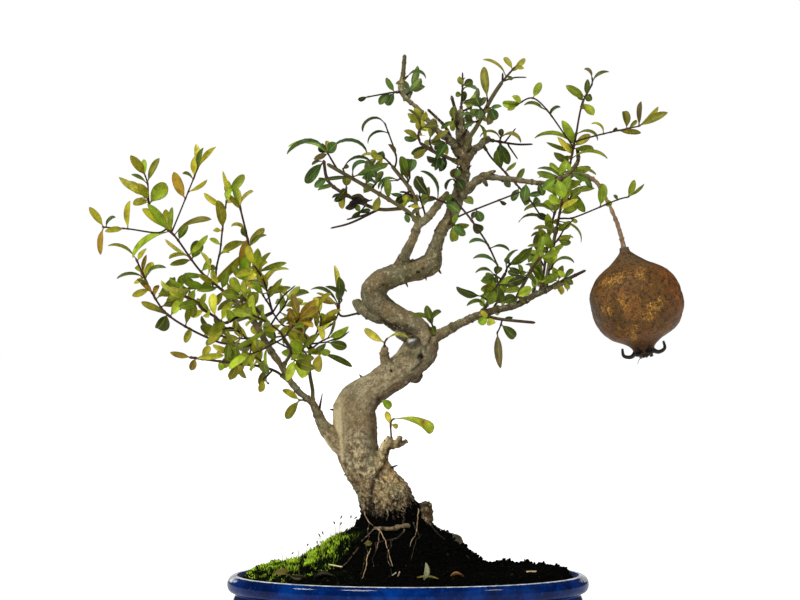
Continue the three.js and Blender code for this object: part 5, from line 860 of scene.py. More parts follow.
# ---------------------------------------------------------------- meshes
class Builder:
    """Gathers points, faces and colours in millimetres, and makes one object of them."""

    def __init__(self):
        self.points, self.faces, self.slots = [], [], []
        self.tints, self.blades = [], []
        self.count = 0

    def add(self, points, faces, tint, slot=0, blade=None):
        points = np.asarray(points, float)
        self.points.append(points)
        self.faces += [[v + self.count for v in face] for face in faces]
        self.slots += [slot] * len(faces)
        self.tints.append(np.broadcast_to(np.asarray(tint, float), points.shape))
        self.blades.append(np.zeros(points.shape) if blade is None else blade)
        self.count += len(points)

    def make(self, name, materials, sharp=None, smooth_count=None):
        """An object. All its faces are smooth, or as many of the first as smooth_count says."""
        mesh = bpy.data.meshes.new(name)
        mesh.from_pydata((np.concatenate(self.points) * MM).tolist(), [], self.faces)
        for key, values in (("tint", self.tints), ("blade", self.blades)):
            layer = mesh.attributes.new(key, "FLOAT_VECTOR", "POINT")
            layer.data.foreach_set("vector", np.concatenate(values).astype(np.float32).ravel())
        for material in materials:
            mesh.materials.append(material)
        mesh.polygons.foreach_set("material_index", self.slots)
        total = len(self.faces)
        smooth = np.arange(total) < (total if smooth_count is None else smooth_count)
        mesh.polygons.foreach_set("use_smooth", smooth)
        mesh.update()
        if sharp:
            mesh.set_sharp_from_angle(angle=math.radians(sharp))
        return link(name, mesh, (0, 0, 0))


def link(name, data, place):
    """A new object in the scene."""
    made = bpy.data.objects.new(name, data)
    made.location = place
    bpy.context.scene.collection.objects.link(made)
    return made


def dress(piece, slot, *nodes):
    """Puts a piece on the plant, and hides the solids that it replaces. The slot is not used."""
    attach(piece, "root")
    if nodes:
        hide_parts(*nodes)


def smooth_curve(points, step):
    """Points [x, y, z, ...] evenly set on a smooth curve through the ones given."""
    p = np.array(points, float)
    if len(p) == 2:
        count = max(2, math.ceil(np.linalg.norm(p[1, :3] - p[0, :3]) / step) + 1)
        return p[0] + np.linspace(0, 1, count)[:, None] * (p[1] - p[0])
    ends = np.vstack([2 * p[0] - p[1], p, 2 * p[-1] - p[-2]])
    pieces = []
    for i in range(1, len(ends) - 2):
        a, b, c, d = ends[i - 1:i + 3]
        knots = np.cumsum([0, *(max(np.linalg.norm(v[:3] - u[:3]), 1e-6) ** 0.5
                                for u, v in ((a, b), (b, c), (c, d)))])
        t0, t1, t2, t3 = knots
        count = max(1, math.ceil(np.linalg.norm(c[:3] - b[:3]) / step))
        t = (t1 + (t2 - t1) * np.arange(count) / count)[:, None]
        a1 = (t1 - t) / (t1 - t0) * a + (t - t0) / (t1 - t0) * b
        a2 = (t2 - t) / (t2 - t1) * b + (t - t1) / (t2 - t1) * c
        a3 = (t3 - t) / (t3 - t2) * c + (t - t2) / (t3 - t2) * d
        b1 = (t2 - t) / (t2 - t0) * a1 + (t - t0) / (t2 - t0) * a2
        b2 = (t3 - t) / (t3 - t1) * a2 + (t - t1) / (t3 - t1) * a3
        pieces.append((t2 - t) / (t2 - t1) * b1 + (t - t1) / (t2 - t1) * b2)
    return np.vstack([*pieces, p[-1:]])


def frames_along(centres):
    """A direction and two cross directions at each centre, turned without twist."""
    after = np.vstack([centres[1:], centres[-1:]])
    before = np.vstack([centres[:1], centres[:-1]])
    along = after - before
    along /= np.linalg.norm(along, axis=1)[:, None]
    across = np.array([0.0, 1.0, 0.0]) if abs(along[0, 1]) < 0.9 else np.array([1.0, 0.0, 0.0])
    rows = []
    for direction in along:
        across = unit(across - direction * across.dot(direction))
        rows.append(across)
    across = np.array(rows)
    return along, across, np.cross(along, across)


def ring_faces(rings, sides):
    """Faces between rings of points, closed to one more point at each end."""
    last = (rings - 1) * sides
    first_end, last_end = last + sides, last + sides + 1
    faces = []
    for low in range(0, last, sides):
        for k in range(sides):
            following = (k + 1) % sides
            faces.append([low + k, low + following, low + sides + following, low + sides + k])
    for k in range(sides):
        following = (k + 1) % sides
        faces.append([first_end, following, k])
        faces.append([last_end, last + k, last + following])
    return faces


def with_ends(rows):
    """The rows, followed by the first and the last of them for a tube's two end points."""
    return np.vstack([rows, rows[:1], rows[-1:]])


def tube(centres, radii, sides):
    """Points and faces of a round limb with closed ends."""
    _, across, side = frames_along(centres)
    turns = circle(sides)[None, :, None]
    rings = (centres[:, None] + radii[:, None, None]
             * (np.cos(turns) * across[:, None] + np.sin(turns) * side[:, None]))
    points = np.vstack([rings.reshape(-1, 3), centres[:1], centres[-1:]])
    return points, ring_faces(len(centres), sides)


def add_tube(build, curve, sides, tint, slot=0):
    """A round limb of one colour along a curve of [x, y, z, radius]."""
    build.add(*tube(curve[:, :3], curve[:, 3], sides), tint, slot)


# ---------------------------------------------------------------- materials
class Shader:
    """A material whose nodes are made by short calls."""

    def __init__(self, name, **values):
        self.material = bpy.data.materials.new(name)
        self.material.use_nodes = True
        self.tree = self.material.node_tree
        self.surface = self.tree.nodes["Principled BSDF"]
        for key, value in values.items():
            self.surface.inputs[key.replace("_", " ")].default_value = value
        self.place = self.node("ShaderNodeTexCoord").outputs["Object"]

    def node(self, kind, settings=(), **inputs):
        made = self.tree.nodes.new(kind)
        for key, value in dict(settings).items():
            setattr(made, key, value)
        for key, value in inputs.items():
            self.join(value, made.inputs[int(key[1:]) if key[1:].isdigit() else
                                         key.replace("_", " ")])
        return made

    def join(self, value, socket):
        if isinstance(value, bpy.types.NodeSocket):
            self.tree.links.new(value, socket)
        else:
            socket.default_value = value

    def set(self, key, value):
        self.join(value, self.surface.inputs[key])

    def noise(self, scale, detail=4.0, roughness=0.6, distortion=0.0):
        return self.node("ShaderNodeTexNoise", Vector=self.place, Scale=scale, Detail=detail,
                         Roughness=roughness, Distortion=distortion).outputs["Fac"]

    def cells(self, scale):
        return self.node("ShaderNodeTexVoronoi", Vector=self.place,
                         Scale=scale).outputs["Distance"]

    def attribute(self, name):
        return self.node("ShaderNodeAttribute", {"attribute_name": name}).outputs["Vector"]

    def parts(self, name):
        return self.node("ShaderNodeSeparateXYZ", Vector=self.attribute(name)).outputs

    def ramp(self, value, *stops):
        made = self.node("ShaderNodeValToRGB", Fac=value)
        points = made.color_ramp.elements
        for i, (place, colour) in enumerate(stops):
            stop = points[i] if i < 2 else points.new(place)
            stop.position = place
            shade = (colour,) * 3 if np.isscalar(colour) else tuple(colour)
            stop.color = (*shade, 1)
        return made.outputs["Color"]

    def mix(self, share, a, b, mode="MIX"):
        made = self.node("ShaderNodeMix", {"data_type": "RGBA", "blend_type": mode}, _0=share,
                         _6=self.colour(a), _7=self.colour(b))
        return made.outputs[2]

    @staticmethod
    def colour(value):
        if isinstance(value, bpy.types.NodeSocket):
            return value
        return (*tuple(value), 1.0)

    def math(self, operation, a, b=0.0):
        return self.node("ShaderNodeMath", {"operation": operation}, _0=a, _1=b).outputs[0]

    def times(self, a, b):
        return self.math("MULTIPLY", a, b)

    def plus(self, a, b):
        return self.math("ADD", a, b)

    def set_grained_tint(self, grain, share, dark, bright):
        """The piece's own colour, darkened and brightened by a fine grain."""
        tone = self.ramp(grain, (0.3, dark), (0.7, bright))
        self.set("Base Color", self.mix(share, self.attribute("tint"), tone, "OVERLAY"))

    def bump(self, height, distance, strength=1.0, under=None):
        made = self.node("ShaderNodeBump", Height=height, Distance=distance, Strength=strength)
        if under is not None:
            self.join(under, made.inputs["Normal"])
        return made.outputs["Normal"]


def leaf_material():
    s = Shader("leaf_blade", Specular_IOR_Level=0.18)
    along, across, own = s.parts("blade")
    off_middle = s.math("ABSOLUTE", across)
    rib = s.ramp(off_middle, (0.0, 1.0), (0.14, 0.0))
    slant = s.plus(s.times(along, 13.0), s.times(off_middle, -4.5))
    vein_wave = s.math("ABSOLUTE", s.math("SUBTRACT", s.math("FRACT", slant), 0.5))
    inside = s.ramp(off_middle, (0.6, 1.0), (0.9, 0.0))
    veins = s.times(s.ramp(vein_wave, (0.0, 1.0), (0.13, 0.0)), inside)
    patch = s.ramp(s.noise(230, 4, 0.6), (0.3, 0.55), (0.7, 1.35))
    colour = s.mix(1.0, s.attribute("tint"), patch, "MULTIPLY")
    # Painted shade: the blade darkens towards its edges.
    colour = s.mix(s.ramp(off_middle, (0.72, 0.0), (1.0, 0.5)), colour, srgb(0x2E3A0C))
    colour = s.mix(s.times(rib, 0.4), colour, srgb(0xA8B04A))
    colour = s.mix(s.times(veins, 0.12), colour, srgb(0x9AA83C))
    spots = s.ramp(s.noise(900, 2), (0.64, 0.0), (0.72, 0.6))
    s.set("Base Color", s.mix(spots, colour, s.mix(0.6, colour, srgb(0x3E2E10))))
    relief = s.plus(s.times(rib, -1.0), s.times(veins, -0.3))
    s.set("Normal", s.bump(relief, 0.00014, 0.8, s.bump(s.noise(1500, 2), 0.00006, 0.5)))
    s.set("Roughness", s.ramp(own, (0.0, 0.38), (1.0, 0.6)))
    return s.material


def bark_material():
    s = Shader("old_bark", Specular_IOR_Level=0.12)
    rough = s.parts("blade")[0]
    fine = s.noise(1400, 5, 0.65)
    coarse = s.plus(s.times(rough, 0.35), 0.6)
    colour = s.mix(coarse, s.attribute("tint"), s.ramp(fine, (0.32, 0.16), (0.68, 0.84)), "OVERLAY")
    pale = s.ramp(s.noise(420, 3), (0.56, 0.0), (0.7, 0.5))
    colour = s.mix(pale, colour, s.mix(0.7, colour, srgb(0xDACDA6)))
    flecks = s.ramp(s.noise(620, 5, 0.72), (0.53, 0.0), (0.62, 1.0))
    amount = s.plus(s.times(rough, 0.7), 0.15)
    s.set("Base Color", s.mix(s.times(flecks, amount), colour, srgb(0x3A2816)))
    s.set("Roughness", s.ramp(fine, (0.3, 0.95), (0.7, 0.74)))
    grain = s.bump(s.noise(900, 6, 0.7), 0.0009, 0.8)
    s.set("Normal", s.bump(s.cells(520), 0.0004, 0.45, grain))
    return s.material


def twig_material():
    s = Shader("young_bark", Specular_IOR_Level=0.12)
    fine = s.noise(1600, 4)
    s.set_grained_tint(fine, 0.5, 0.3, 0.7)
    s.set("Roughness", s.ramp(fine, (0.35, 0.6), (0.7, 0.42)))
    s.set("Normal", s.bump(s.noise(1800, 4), 0.0002, 0.6))
    return s.material


def glaze_material():
    s = Shader("cobalt_glaze", Coat_Weight=0.5, Coat_Roughness=0.07, Coat_IOR=1.3,
               Specular_IOR_Level=0.0)
    worn_tint, bare_tint, _ = s.parts("tint")
    wide = s.noise(55, 4, 0.6, 0.6)
    fine = s.noise(420, 5, 0.7)
    colour = s.ramp(wide, (0.3, srgb(0x000A2C)), (0.5, srgb(0x001748)), (0.72, srgb(0x002E72)))
    colour = s.mix(s.ramp(fine, (0.54, 0.0), (0.75, 0.5)), colour, srgb(0x084496))
    dark = s.ramp(s.noise(190, 4), (0.58, 0.0), (0.72, 0.7))
    colour = s.mix(dark, colour, srgb(0x040A2C))
    worn = s.plus(worn_tint, s.times(s.math("SUBTRACT", fine, 0.5), 0.9))
    worn = s.ramp(worn, (0.45, 0.0), (0.62, 1.0))
    lip = s.ramp(s.noise(160, 3), (0.35, srgb(0x9A9EA6)), (0.7, srgb(0xE2E4E2)))
    clay = s.ramp(s.noise(500, 5), (0.3, srgb(0x8A6A4A)), (0.7, srgb(0xB79A74)))
    bare = s.ramp(bare_tint, (0.45, 0.0), (0.55, 1.0))
    s.set("Base Color", s.mix(bare, s.mix(worn, colour, lip), clay))
    s.set("Roughness", s.mix(bare, s.ramp(worn, (0.0, 0.25), (1.0, 0.5)), (0.9, 0.9, 0.9)))
    s.set("Normal", s.bump(wide, 0.0006, 0.25, s.bump(fine, 0.00006, 0.4)))
    return s.material


def soil_material():
    s = Shader("dark_soil", Roughness=0.95, Specular_IOR_Level=0.02)
    grain = s.noise(900, 6, 0.7)
    colour = s.ramp(grain, (0.35, srgb(0x010101)), (0.6, srgb(0x070605)), (0.85, srgb(0x1C150D)))
    s.set("Base Color", s.mix(0.7, colour, s.attribute("tint"), "ADD"))
    s.set("Normal", s.bump(grain, 0.0012, 0.9, s.bump(s.cells(420), 0.0008, 0.6)))
    return s.material


def moss_material():
    s = Shader("moss", Roughness=0.8, Specular_IOR_Level=0.05)
    s.set_grained_tint(s.noise(1300, 4), 0.7, 0.25, 0.75)
    s.set("Normal", s.bump(s.noise(1800, 4), 0.0004, 0.6))
    return s.material


def rind_material():
    s = Shader("dry_rind", Specular_IOR_Level=0.15)
    golden, rusty, dull = s.parts("blade")
    base = s.ramp(s.noise(52, 5, 0.65, 0.4), (0.3, srgb(0x3E2C13)), (0.46, srgb(0x5A3E1A)),
                  (0.62, srgb(0x6E471D)), (0.78, srgb(0x5E3D22)))
    colour = s.mix(0.8, base, s.attribute("tint"), "OVERLAY")
    fleck = s.ramp(s.noise(640, 6, 0.85), (0.49, 0.0), (0.54, 1.0))
    gold = s.ramp(s.plus(s.noise(110, 4, 0.6), s.times(golden, 0.3)), (0.6, 0.0), (0.72, 0.9))
    colour = s.mix(s.times(gold, fleck), colour, srgb(0xB28034))
    rust = s.ramp(s.plus(s.noise(130, 4, 0.6), s.times(rusty, 0.35)), (0.62, 0.0), (0.74, 0.65))
    colour = s.mix(s.times(rust, fleck), colour, srgb(0x9C5A2C))
    colour = s.mix(s.times(dull, 0.65), colour, srgb(0x51462F))
    dark = s.ramp(s.noise(420, 6, 0.8), (0.5, 0.0), (0.58, 0.8))
    colour = s.mix(dark, colour, srgb(0x261A0D))
    grain = s.ramp(s.noise(1500, 3, 0.6), (0.35, 0.6), (0.65, 1.4))
    s.set("Base Color", s.mix(1.0, colour, grain, "MULTIPLY"))
    s.set("Roughness", s.ramp(s.noise(300, 4), (0.3, 0.45), (0.7, 0.72)))
    fine = s.bump(s.noise(800, 6, 0.7), 0.0006, 0.6)
    s.set("Normal", s.bump(s.cells(300), 0.0005, 0.4, fine))
    return s.material


def dry_material(name, roughness, grain):
    s = Shader(name, Roughness=roughness, Specular_IOR_Level=0.3)
    fine = s.noise(grain, 5)
    s.set_grained_tint(fine, 0.6, 0.28, 0.72)
    s.set("Normal", s.bump(fine, 0.0003, 0.6))
    return s.material


# ---------------------------------------------------------------- soil
WALL_GAP = 0.5  # between the soil's outermost ring and the pot
SHOULDER_HEAP, FOOT_HEAP, END_HEAP = 3.4, 5.5, 2.3
SHOULDER_X, SHOULDER_REACH, FOOT_HEAP_REACH = 28, (6.5, 20), 20.5
LEFT_END, RIGHT_END = (60, 85), (84, 92)  # distances in x at which the ends rise
SOIL_RINGS, SOIL_SIDES = 84, 200
SOIL_UNDERSIDE = [(76, 12), (94, 47), (WALL_RADIUS - 1.5, 60)]  # radius and height
SOIL_BASE, SOIL_TOP = 12, 104  # heights of its middle points
GRAIN_COUNT = 5200
GRAIN_SEED = 7
GRAIN_BLACK, GRAIN_BROWN, GRAIN_MOSSY = srgb(0x040403), srgb(0x32271A), srgb(0x0E1C08)


def lump(x, y):
    """Slow waves of the soil's surface."""
    return SOIL_LUMP * (np.sin(0.31 * x + 1.3) * np.cos(0.27 * y)
                        + 0.6 * np.sin(0.19 * (x + y)))


def to_wall(x, y):
    """From 1 in the pot's middle down to 0 at its wall."""
    return 1 - np.hypot(x / WALL_RADIUS, y / (WALL_RADIUS * OVAL))


def soil_height(x, y):
    from_foot = np.hypot(x - MOUND_X, y / MOUND_DEPTH_SHARE)
    inward = to_wall(x, y)
    bank = SOIL_BANK * smoothstep(inward, 0, 0.12)
    rough = np.where(inward > 0.03, lump(x, y), 0)
    mound = MOUND_HEIGHT * np.exp(-((from_foot / MOUND_REACH) ** 4))
    foot = FOOT_HEIGHT * np.exp(-((from_foot / FOOT_REACH) ** 4))
    return SOIL_EDGE + bank + rough + mound + foot


def heaped(x, y):
    """How much higher the loose soil lies at the foot, on its shoulder and at the pot's ends."""
    from_foot = np.hypot(x - MOUND_X + 1, y / MOUND_DEPTH_SHARE)
    across, back = SHOULDER_REACH
    shoulder = SHOULDER_HEAP * np.exp(-((x - SHOULDER_X) / across) ** 2 - (y / back) ** 2)
    collar = FOOT_HEAP * np.exp(-(from_foot / FOOT_HEAP_REACH) ** 8)
    ends = END_HEAP * (0.5 * smoothstep(-x, *LEFT_END) + smoothstep(x, *RIGHT_END))
    return shoulder + collar + ends * smoothstep(to_wall(x, y), 0, 0.03)


def ground_height(x, y):
    return soil_height(x, y) + heaped(x, y)


def clods(points, size):
    """Rough relief of soil, from -1 to 1, at points in millimetres."""
    return fractal(points / size, 0.7, 2.1, 4)


def plan_point(turn, share):
    """A place on the soil, from its middle (0) to the pot's wall (1)."""
    reach = WALL_RADIUS - WALL_GAP
    x = MOUND_X + share * (reach * np.cos(turn) - MOUND_X)
    y = share * reach * OVAL * np.sin(turn)
    return x, y


def oval_ring(radius, height, turns):
    """Points at one height around an oval like the pot's."""
    return np.stack([radius * np.cos(turns), radius * OVAL * np.sin(turns),
                     np.full(len(turns), height)], 1)


def soil_surface(x, y):
    z = ground_height(x, y)
    flat = np.stack([x, y, z], 1)
    rough = 0.9 * clods(flat, 5.0) + 0.9 * np.abs(clods(flat + 30, 9.0))
    return z + (rough - 0.3) * smoothstep(to_wall(x, y), 0.0, 0.06)


def grain_shape():
    """An icosahedron's points and faces."""
    g = (1 + 5 ** 0.5) / 2
    points = np.array([[-1, g, 0], [1, g, 0], [-1, -g, 0], [1, -g, 0], [0, -1, g], [0, 1, g],
                       [0, -1, -g], [0, 1, -g], [g, 0, -1], [g, 0, 1], [-g, 0, -1],
                       [-g, 0, 1]]) / math.hypot(1, g)
    faces = [[0, 11, 5], [0, 5, 1], [0, 1, 7], [0, 7, 10], [0, 10, 11], [1, 5, 9], [5, 11, 4],
             [11, 10, 2], [10, 7, 6], [7, 1, 8], [3, 9, 4], [3, 4, 2], [3, 2, 6], [3, 6, 8],
             [3, 8, 9], [4, 9, 5], [2, 4, 11], [6, 2, 10], [8, 6, 7], [9, 8, 1]]
    return points, faces


def add_grains(build):
    """Loose grains of many sizes, most of them black, scattered over the soil."""
    random = np.random.default_rng(GRAIN_SEED)
    shape, shape_faces = grain_shape()
    turn = random.uniform(0, 2 * np.pi, GRAIN_COUNT)
    share = np.sqrt(random.uniform(0.02, 0.96, GRAIN_COUNT))
    x, y = plan_point(turn, share)
    z = soil_surface(x, y)
    size = 0.45 + 1.15 * random.uniform(0, 1, GRAIN_COUNT) ** 2.5
    brown = random.uniform(0, 1, GRAIN_COUNT)
    mossy = smoothstep(-x, 22, 40) * brown
    for i in range(GRAIN_COUNT):
        stretch = random.uniform(0.55, 1.25, 3) * size[i]
        wobble = random.uniform(0.75, 1.2, (len(shape), 1))
        turn_z = random.uniform(0, 6.28)
        c, s = math.cos(turn_z), math.sin(turn_z)
        points = shape * wobble * stretch @ np.array([[c, s, 0], [-s, c, 0], [0, 0, 1]])
        shade = GRAIN_BROWN if brown[i] > 0.975 else GRAIN_BLACK * (0.3 + 2.4 * brown[i])
        build.add(points + [x[i], y[i], z[i] + 0.25 * size[i]], shape_faces,
                  shade + GRAIN_MOSSY * mossy[i])


def make_soil(material):
    turns = circle(SOIL_SIDES)
    rings = [oval_ring(radius, height, turns) for radius, height in SOIL_UNDERSIDE]
    for ring in range(SOIL_RINGS, 0, -1):
        x, y = plan_point(turns, ring / SOIL_RINGS)
        rings.append(np.stack([x, y, soil_surface(x, y)], 1))
    points = np.vstack([*rings, [[0, 0, SOIL_BASE]], [[MOUND_X, 0, SOIL_TOP]]])
    faces = ring_faces(len(rings), SOIL_SIDES)
    build = Builder()
    build.add(points, faces, [0, 0, 0])
    add_grains(build)
    dress(build.make("potting_soil", [material], smooth_count=len(faces)), "soil", "soil")


# ---------------------------------------------------------------- moss
# The moss grows between these turns around the soil's middle and these shares of the way out.
MOSS_TURNS = (math.radians(132), math.radians(231))
MOSS_SHARES = (0.27, 0.985)
MOSS_TURN_EDGE, MOSS_INNER_EDGE, MOSS_OUTER_EDGE = 0.22, 0.16, 0.03  # widths of thin moss
MAT_COLUMNS, MAT_ROWS = 110, 60
MOSS_SINK, MOSS_DEPTH, MOSS_BUMP = 1.2, 2.9, 1.1
TUFT_COUNT = 9000
LEAST_COVER = 0.12  # no tuft grows where the moss is thinner
STALK_COUNT = 34
MOSS_SEED = 11
MAT_DARK, MAT_GREEN = srgb(0x030602), srgb(0x1E360A)
TUFT_LOW, TUFT_DARK, TUFT_BRIGHT = srgb(0x081004), srgb(0x081404), srgb(0xBEE63A)
STALK_TONES = (srgb(0xA8B85A), srgb(0x9A8A3A))
CAPSULE_TONE = srgb(0x3A3A12)


def moss_cover(turn, share):
    """How thickly moss grows at a place on the soil, from 0 to 1."""
    edge = np.minimum(turn - MOSS_TURNS[0], MOSS_TURNS[1] - turn) / MOSS_TURN_EDGE
    inner = (share - MOSS_SHARES[0]) / MOSS_INNER_EDGE
    outer = (MOSS_SHARES[1] + 0.01 - share) / MOSS_OUTER_EDGE
    cover = np.clip(np.minimum(np.minimum(edge, inner), outer), 0, 1)
    return cover * (1 - 0.75 * smoothstep(share, 0.55, 0.95))


def moss_ground(turn, share):
    """Places in plan, the moss's height there, its bumps and how thickly it grows."""
    x, y = plan_point(turn, share)
    flat = np.stack([x, y, np.zeros(len(x))], 1)
    bumps = clods(flat, 9.0)
    cover = moss_cover(turn, share) * smoothstep(clods(flat + 50, 14.0), -0.75, -0.25)
    height = ground_height(x, y) - MOSS_SINK + cover * (MOSS_DEPTH + MOSS_BUMP * bumps)
    return flat, height, bumps, cover


def add_mat(build):
    turn, share = np.meshgrid(np.linspace(*MOSS_TURNS, MAT_COLUMNS),
                              np.linspace(*MOSS_SHARES, MAT_ROWS), indexing="ij")
    flat, height, bumps, _ = moss_ground(turn.ravel(), share.ravel())
    starts = [i * MAT_ROWS + j for i in range(MAT_COLUMNS - 1) for j in range(MAT_ROWS - 1)]
    faces = [[k, k + 1, k + MAT_ROWS + 1, k + MAT_ROWS] for k in starts]
    # Painted shade: the mat is near black in its hollows and green on its bumps.
    build.add(flat + UP * height[:, None], faces,
              toward(MAT_DARK, MAT_GREEN, smoothstep(bumps, 0, 0.7)))


def upright(root, levels, height, lean):
    """Places up a small stem that leans more towards its tip."""
    centres = root + np.outer(levels, [0, 0, height])
    centres[:, :2] += np.outer(levels ** 2, lean)
    return centres


def add_tufts(build, random):
    turn = random.uniform(*MOSS_TURNS, TUFT_COUNT)
    share = np.sqrt(random.uniform(MOSS_SHARES[0] ** 2, MOSS_SHARES[1] ** 2, TUFT_COUNT))
    flat, ground, _, cover = moss_ground(turn, share)
    lit = clods(flat, 6.0) + random.uniform(-0.25, 0.25, TUFT_COUNT)
    lit = lit + 0.3 * smoothstep(flat[:, 1], -34, -6)
    glow = smoothstep(lit, -0.12, 0.7) * smoothstep(share, 0.3, 0.42)
    levels = np.array([0.0, 0.45, 1.0])
    for i in np.flatnonzero(cover > LEAST_COVER):
        height = random.uniform(1.6, 3.9) * (0.6 + 0.5 * cover[i])
        lean = random.normal(0, 0.45, 2)
        root = flat[i] + UP * (ground[i] - 0.4)
        centres = upright(root, levels, height, lean * height * 0.5)
        radius = random.uniform(0.26, 0.5)
        points, faces = tube(centres, radius * np.array([0.55, 1.0, 0.12]), 3)
        low = TUFT_LOW * (0.3 + 2 * glow[i])
        tip = toward(TUFT_DARK, TUFT_BRIGHT, glow[i] ** 1.5)
        shades = np.stack([low, 0.5 * (low + tip), tip])
        tint = np.vstack([np.repeat(shades, 3, 0), shades[:1], shades[-1:]])
        build.add(points, faces, tint)


def add_moss_stalks(build, random):
    """Thin stalks that stand out of the moss, each third one with a capsule."""
    levels = np.linspace(0, 1, 6)
    for i in range(STALK_COUNT):
        turn = random.uniform(MOSS_TURNS[0] + 0.1, MOSS_TURNS[1] - 0.25)
        x, y = plan_point(turn, random.uniform(0.33, 0.85))
        height = random.uniform(5, 13)
        lean = random.normal(0, 0.12, 2)
        centres = upright(np.array([x, y, soil_height(x, y)]), levels, height, lean * height)
        build.add(*tube(centres, np.linspace(0.16, 0.1, 6), 4), STALK_TONES[i % 2])
        if i % 3 == 0:
            axis = unit(np.array([lean[0] * 4, lean[1] * 4, 0.5]))
            spine = centres[-1] + np.outer([-0.2, 0.5, 1.2, 1.9, 2.3], axis)
            build.add(*tube(spine, np.array([0.1, 0.4, 0.52, 0.38, 0.08]), 6), CAPSULE_TONE)


def make_moss(material):
    build = Builder()
    random = np.random.default_rng(MOSS_SEED)
    add_mat(build)
    add_tufts(build, random)
    add_moss_stalks(build, random)
    dress(build.make("moss_cushion", [material]), "moss", "moss")


# ---------------------------------------------------------------- pot
POT_PROFILE = [[0, 0], [78, 0], [80, 0], [81, 1.5], [83, 6], [96, 30], [104.8, 54], [104.9, 55.2],
               [103.5, 58], [103.5, 58.6], [107.2, 60.2], [108.3, 62.4], [108.5, 64.5],
               [108.1, 66.6], [107.1, 68.3], [105.4, 69.6], [103.6, 70], [101.4, 69.6],
               [99.7, 68.2], [99.1, 66], [95, 48], [76, 9], [0, 8.4]]


POT_SIDES = 256
WORN_RADIUS = 102.5  # the glaze inside this radius is hardly worn
# Where the wear comes in: heights on the crest and on the lip's side, and distances in x.
LIP_CREST, LIP_SIDE, LIP_ENDS = (69.1, 69.95), (64.0, 68.5), (94, 107)
FOOT_BARE = (2.2, 3.2)  # the height below which the clay is bare


def rounded(profile, times):
    """The profile with its corners cut, and each long side kept."""
    points = [np.array(p, float) for p in profile]
    for _ in range(times):
        cut = [points[0]]
        for a, b in zip(points, points[1:]):
            share = min(0.25, 0.8 / max(np.linalg.norm(b - a), 1e-6))
            cut += [a + share * (b - a), b - share * (b - a)]
        points = [*cut, points[-1]]
    return np.array(points)


def lip_wear(rings, radii):
    """How worn the glaze is: pale on the crest and on the lip's outside at the pot's ends."""
    x, z = rings[:, :, 0], rings[:, :, 2]
    crest = smoothstep(z, *LIP_CREST)
    outer_lip = smoothstep(z, *LIP_SIDE) * smoothstep(np.abs(x), *LIP_ENDS)
    worn = np.maximum(crest * 0.85, outer_lip * 0.74)
    return np.where(radii[:, None] < WORN_RADIUS, 0.2 * crest, worn)


def make_pot(material):
    profile = rounded(POT_PROFILE, 2)
    profile = profile[profile[:, 0] > 0.01]
    turns = circle(POT_SIDES)
    rings = np.array([oval_ring(radius, height, turns) for radius, height in profile])
    worn = lip_wear(rings, profile[:, 0])
    bare = falling(rings[:, :, 2], *FOOT_BARE)
    tint = np.stack([worn, bare, np.zeros(worn.shape)], 2).reshape(-1, 3)
    points = np.vstack([rings.reshape(-1, 3), [[0, 0, 0]], [[0, 0, POT_PROFILE[-1][1]]]])
    build = Builder()
    build.add(points, ring_faces(len(rings), POT_SIDES),
              np.vstack([tint, [[0, 1, 0]], [[0, 0, 0]]]))
    dress(build.make("glazed_pot", [material]), "glaze", "pot")


# ---------------------------------------------------------------- trunk and limbs
THIN_WOOD = 1.7  # a limb thinner than this is a plain tube and isn't joined to the rest
VOXEL = 0.66  # of the mesh that joins the thick limbs
THICK_SIDES, LIMB_SIDES, TWIG_SIDES = 28, 16, 6
ROOT_SIDES = 7
BARK_LIGHT, BARK_MIDDLE = srgb(0xC0B088), srgb(0x776544)
BARK_OLIVE, BARK_DARK = srgb(0x5C5838), srgb(0x302014)
BARK_OCHRE, BARK_MOTTLE, BARK_SCAB = srgb(0xA88C54), srgb(0x3E2C1A), srgb(0x5A3E28)
BARK_GREY, BARK_TAN, CREST_GREY = srgb(0x8C8A6C), srgb(0x9A8058), srgb(0x4A4B3A)
SPUR_TAN, STALK_TAN = srgb(0x9E8868), srgb(0x94745A)
SCAR_DARK, SCAR_HIGHLIGHT = srgb(0x57544A), srgb(0xD6D6D0)
CUT_END, HOLE_SHADE = srgb(0x4A4032), srgb(0x21150C)
TWIG_DARK, TWIG_RED, TWIG_GREY = srgb(0x35271C), srgb(0x6E3420), srgb(0x6C663E)
ROOT_DARK, ROOT_PALE = srgb(0x16100A), srgb(0xA48C68)


def limb_samples(points):
    curve = smooth_curve(points, 1.0)
    curve[:, 3] = np.maximum(curve[:, 3], 0.3)
    return curve


def joined_wood(limbs):
    """One skin over all the thick limbs, by a fine remesh of their tubes."""
    build = Builder()
    for curve in limbs:
        centres, radii = curve[:, :3], curve[:, 3]
        sides = THICK_SIDES if radii.max() > 6 else LIMB_SIDES
        start = centres[0] - unit(centres[1] - centres[0]) * radii[0] * 0.3
        end = centres[-1] + unit(centres[-1] - centres[-2]) * radii[-1] * 0.25
        centres = np.vstack([[start], centres, [end]])
        radii = np.concatenate([[radii[0] * 0.8], radii, [radii[-1] * 0.72]])
        build.add(*tube(centres, radii, sides), [0, 0, 0])
    piece = build.make("wood_blank", [])
    remesh = piece.modifiers.new("skin", "REMESH")
    remesh.mode = "VOXEL"
    remesh.voxel_size = VOXEL * MM
    remesh.use_smooth_shade = True
    soften = piece.modifiers.new("soften", "SMOOTH")
    soften.factor = 0.5
    soften.iterations = 4
    graph = bpy.context.evaluated_depsgraph_get()
    mesh = bpy.data.meshes.new_from_object(piece.evaluated_get(graph))
    bpy.data.objects.remove(piece)
    points, normals = (np.empty(len(mesh.vertices) * 3) for _ in range(2))
    mesh.vertices.foreach_get("co", points)
    mesh.vertices.foreach_get("normal", normals)
    faces = [list(p.vertices) for p in mesh.polygons]
    bpy.data.meshes.remove(mesh)
    return points.reshape(-1, 3) / MM, normals.reshape(-1, 3), faces


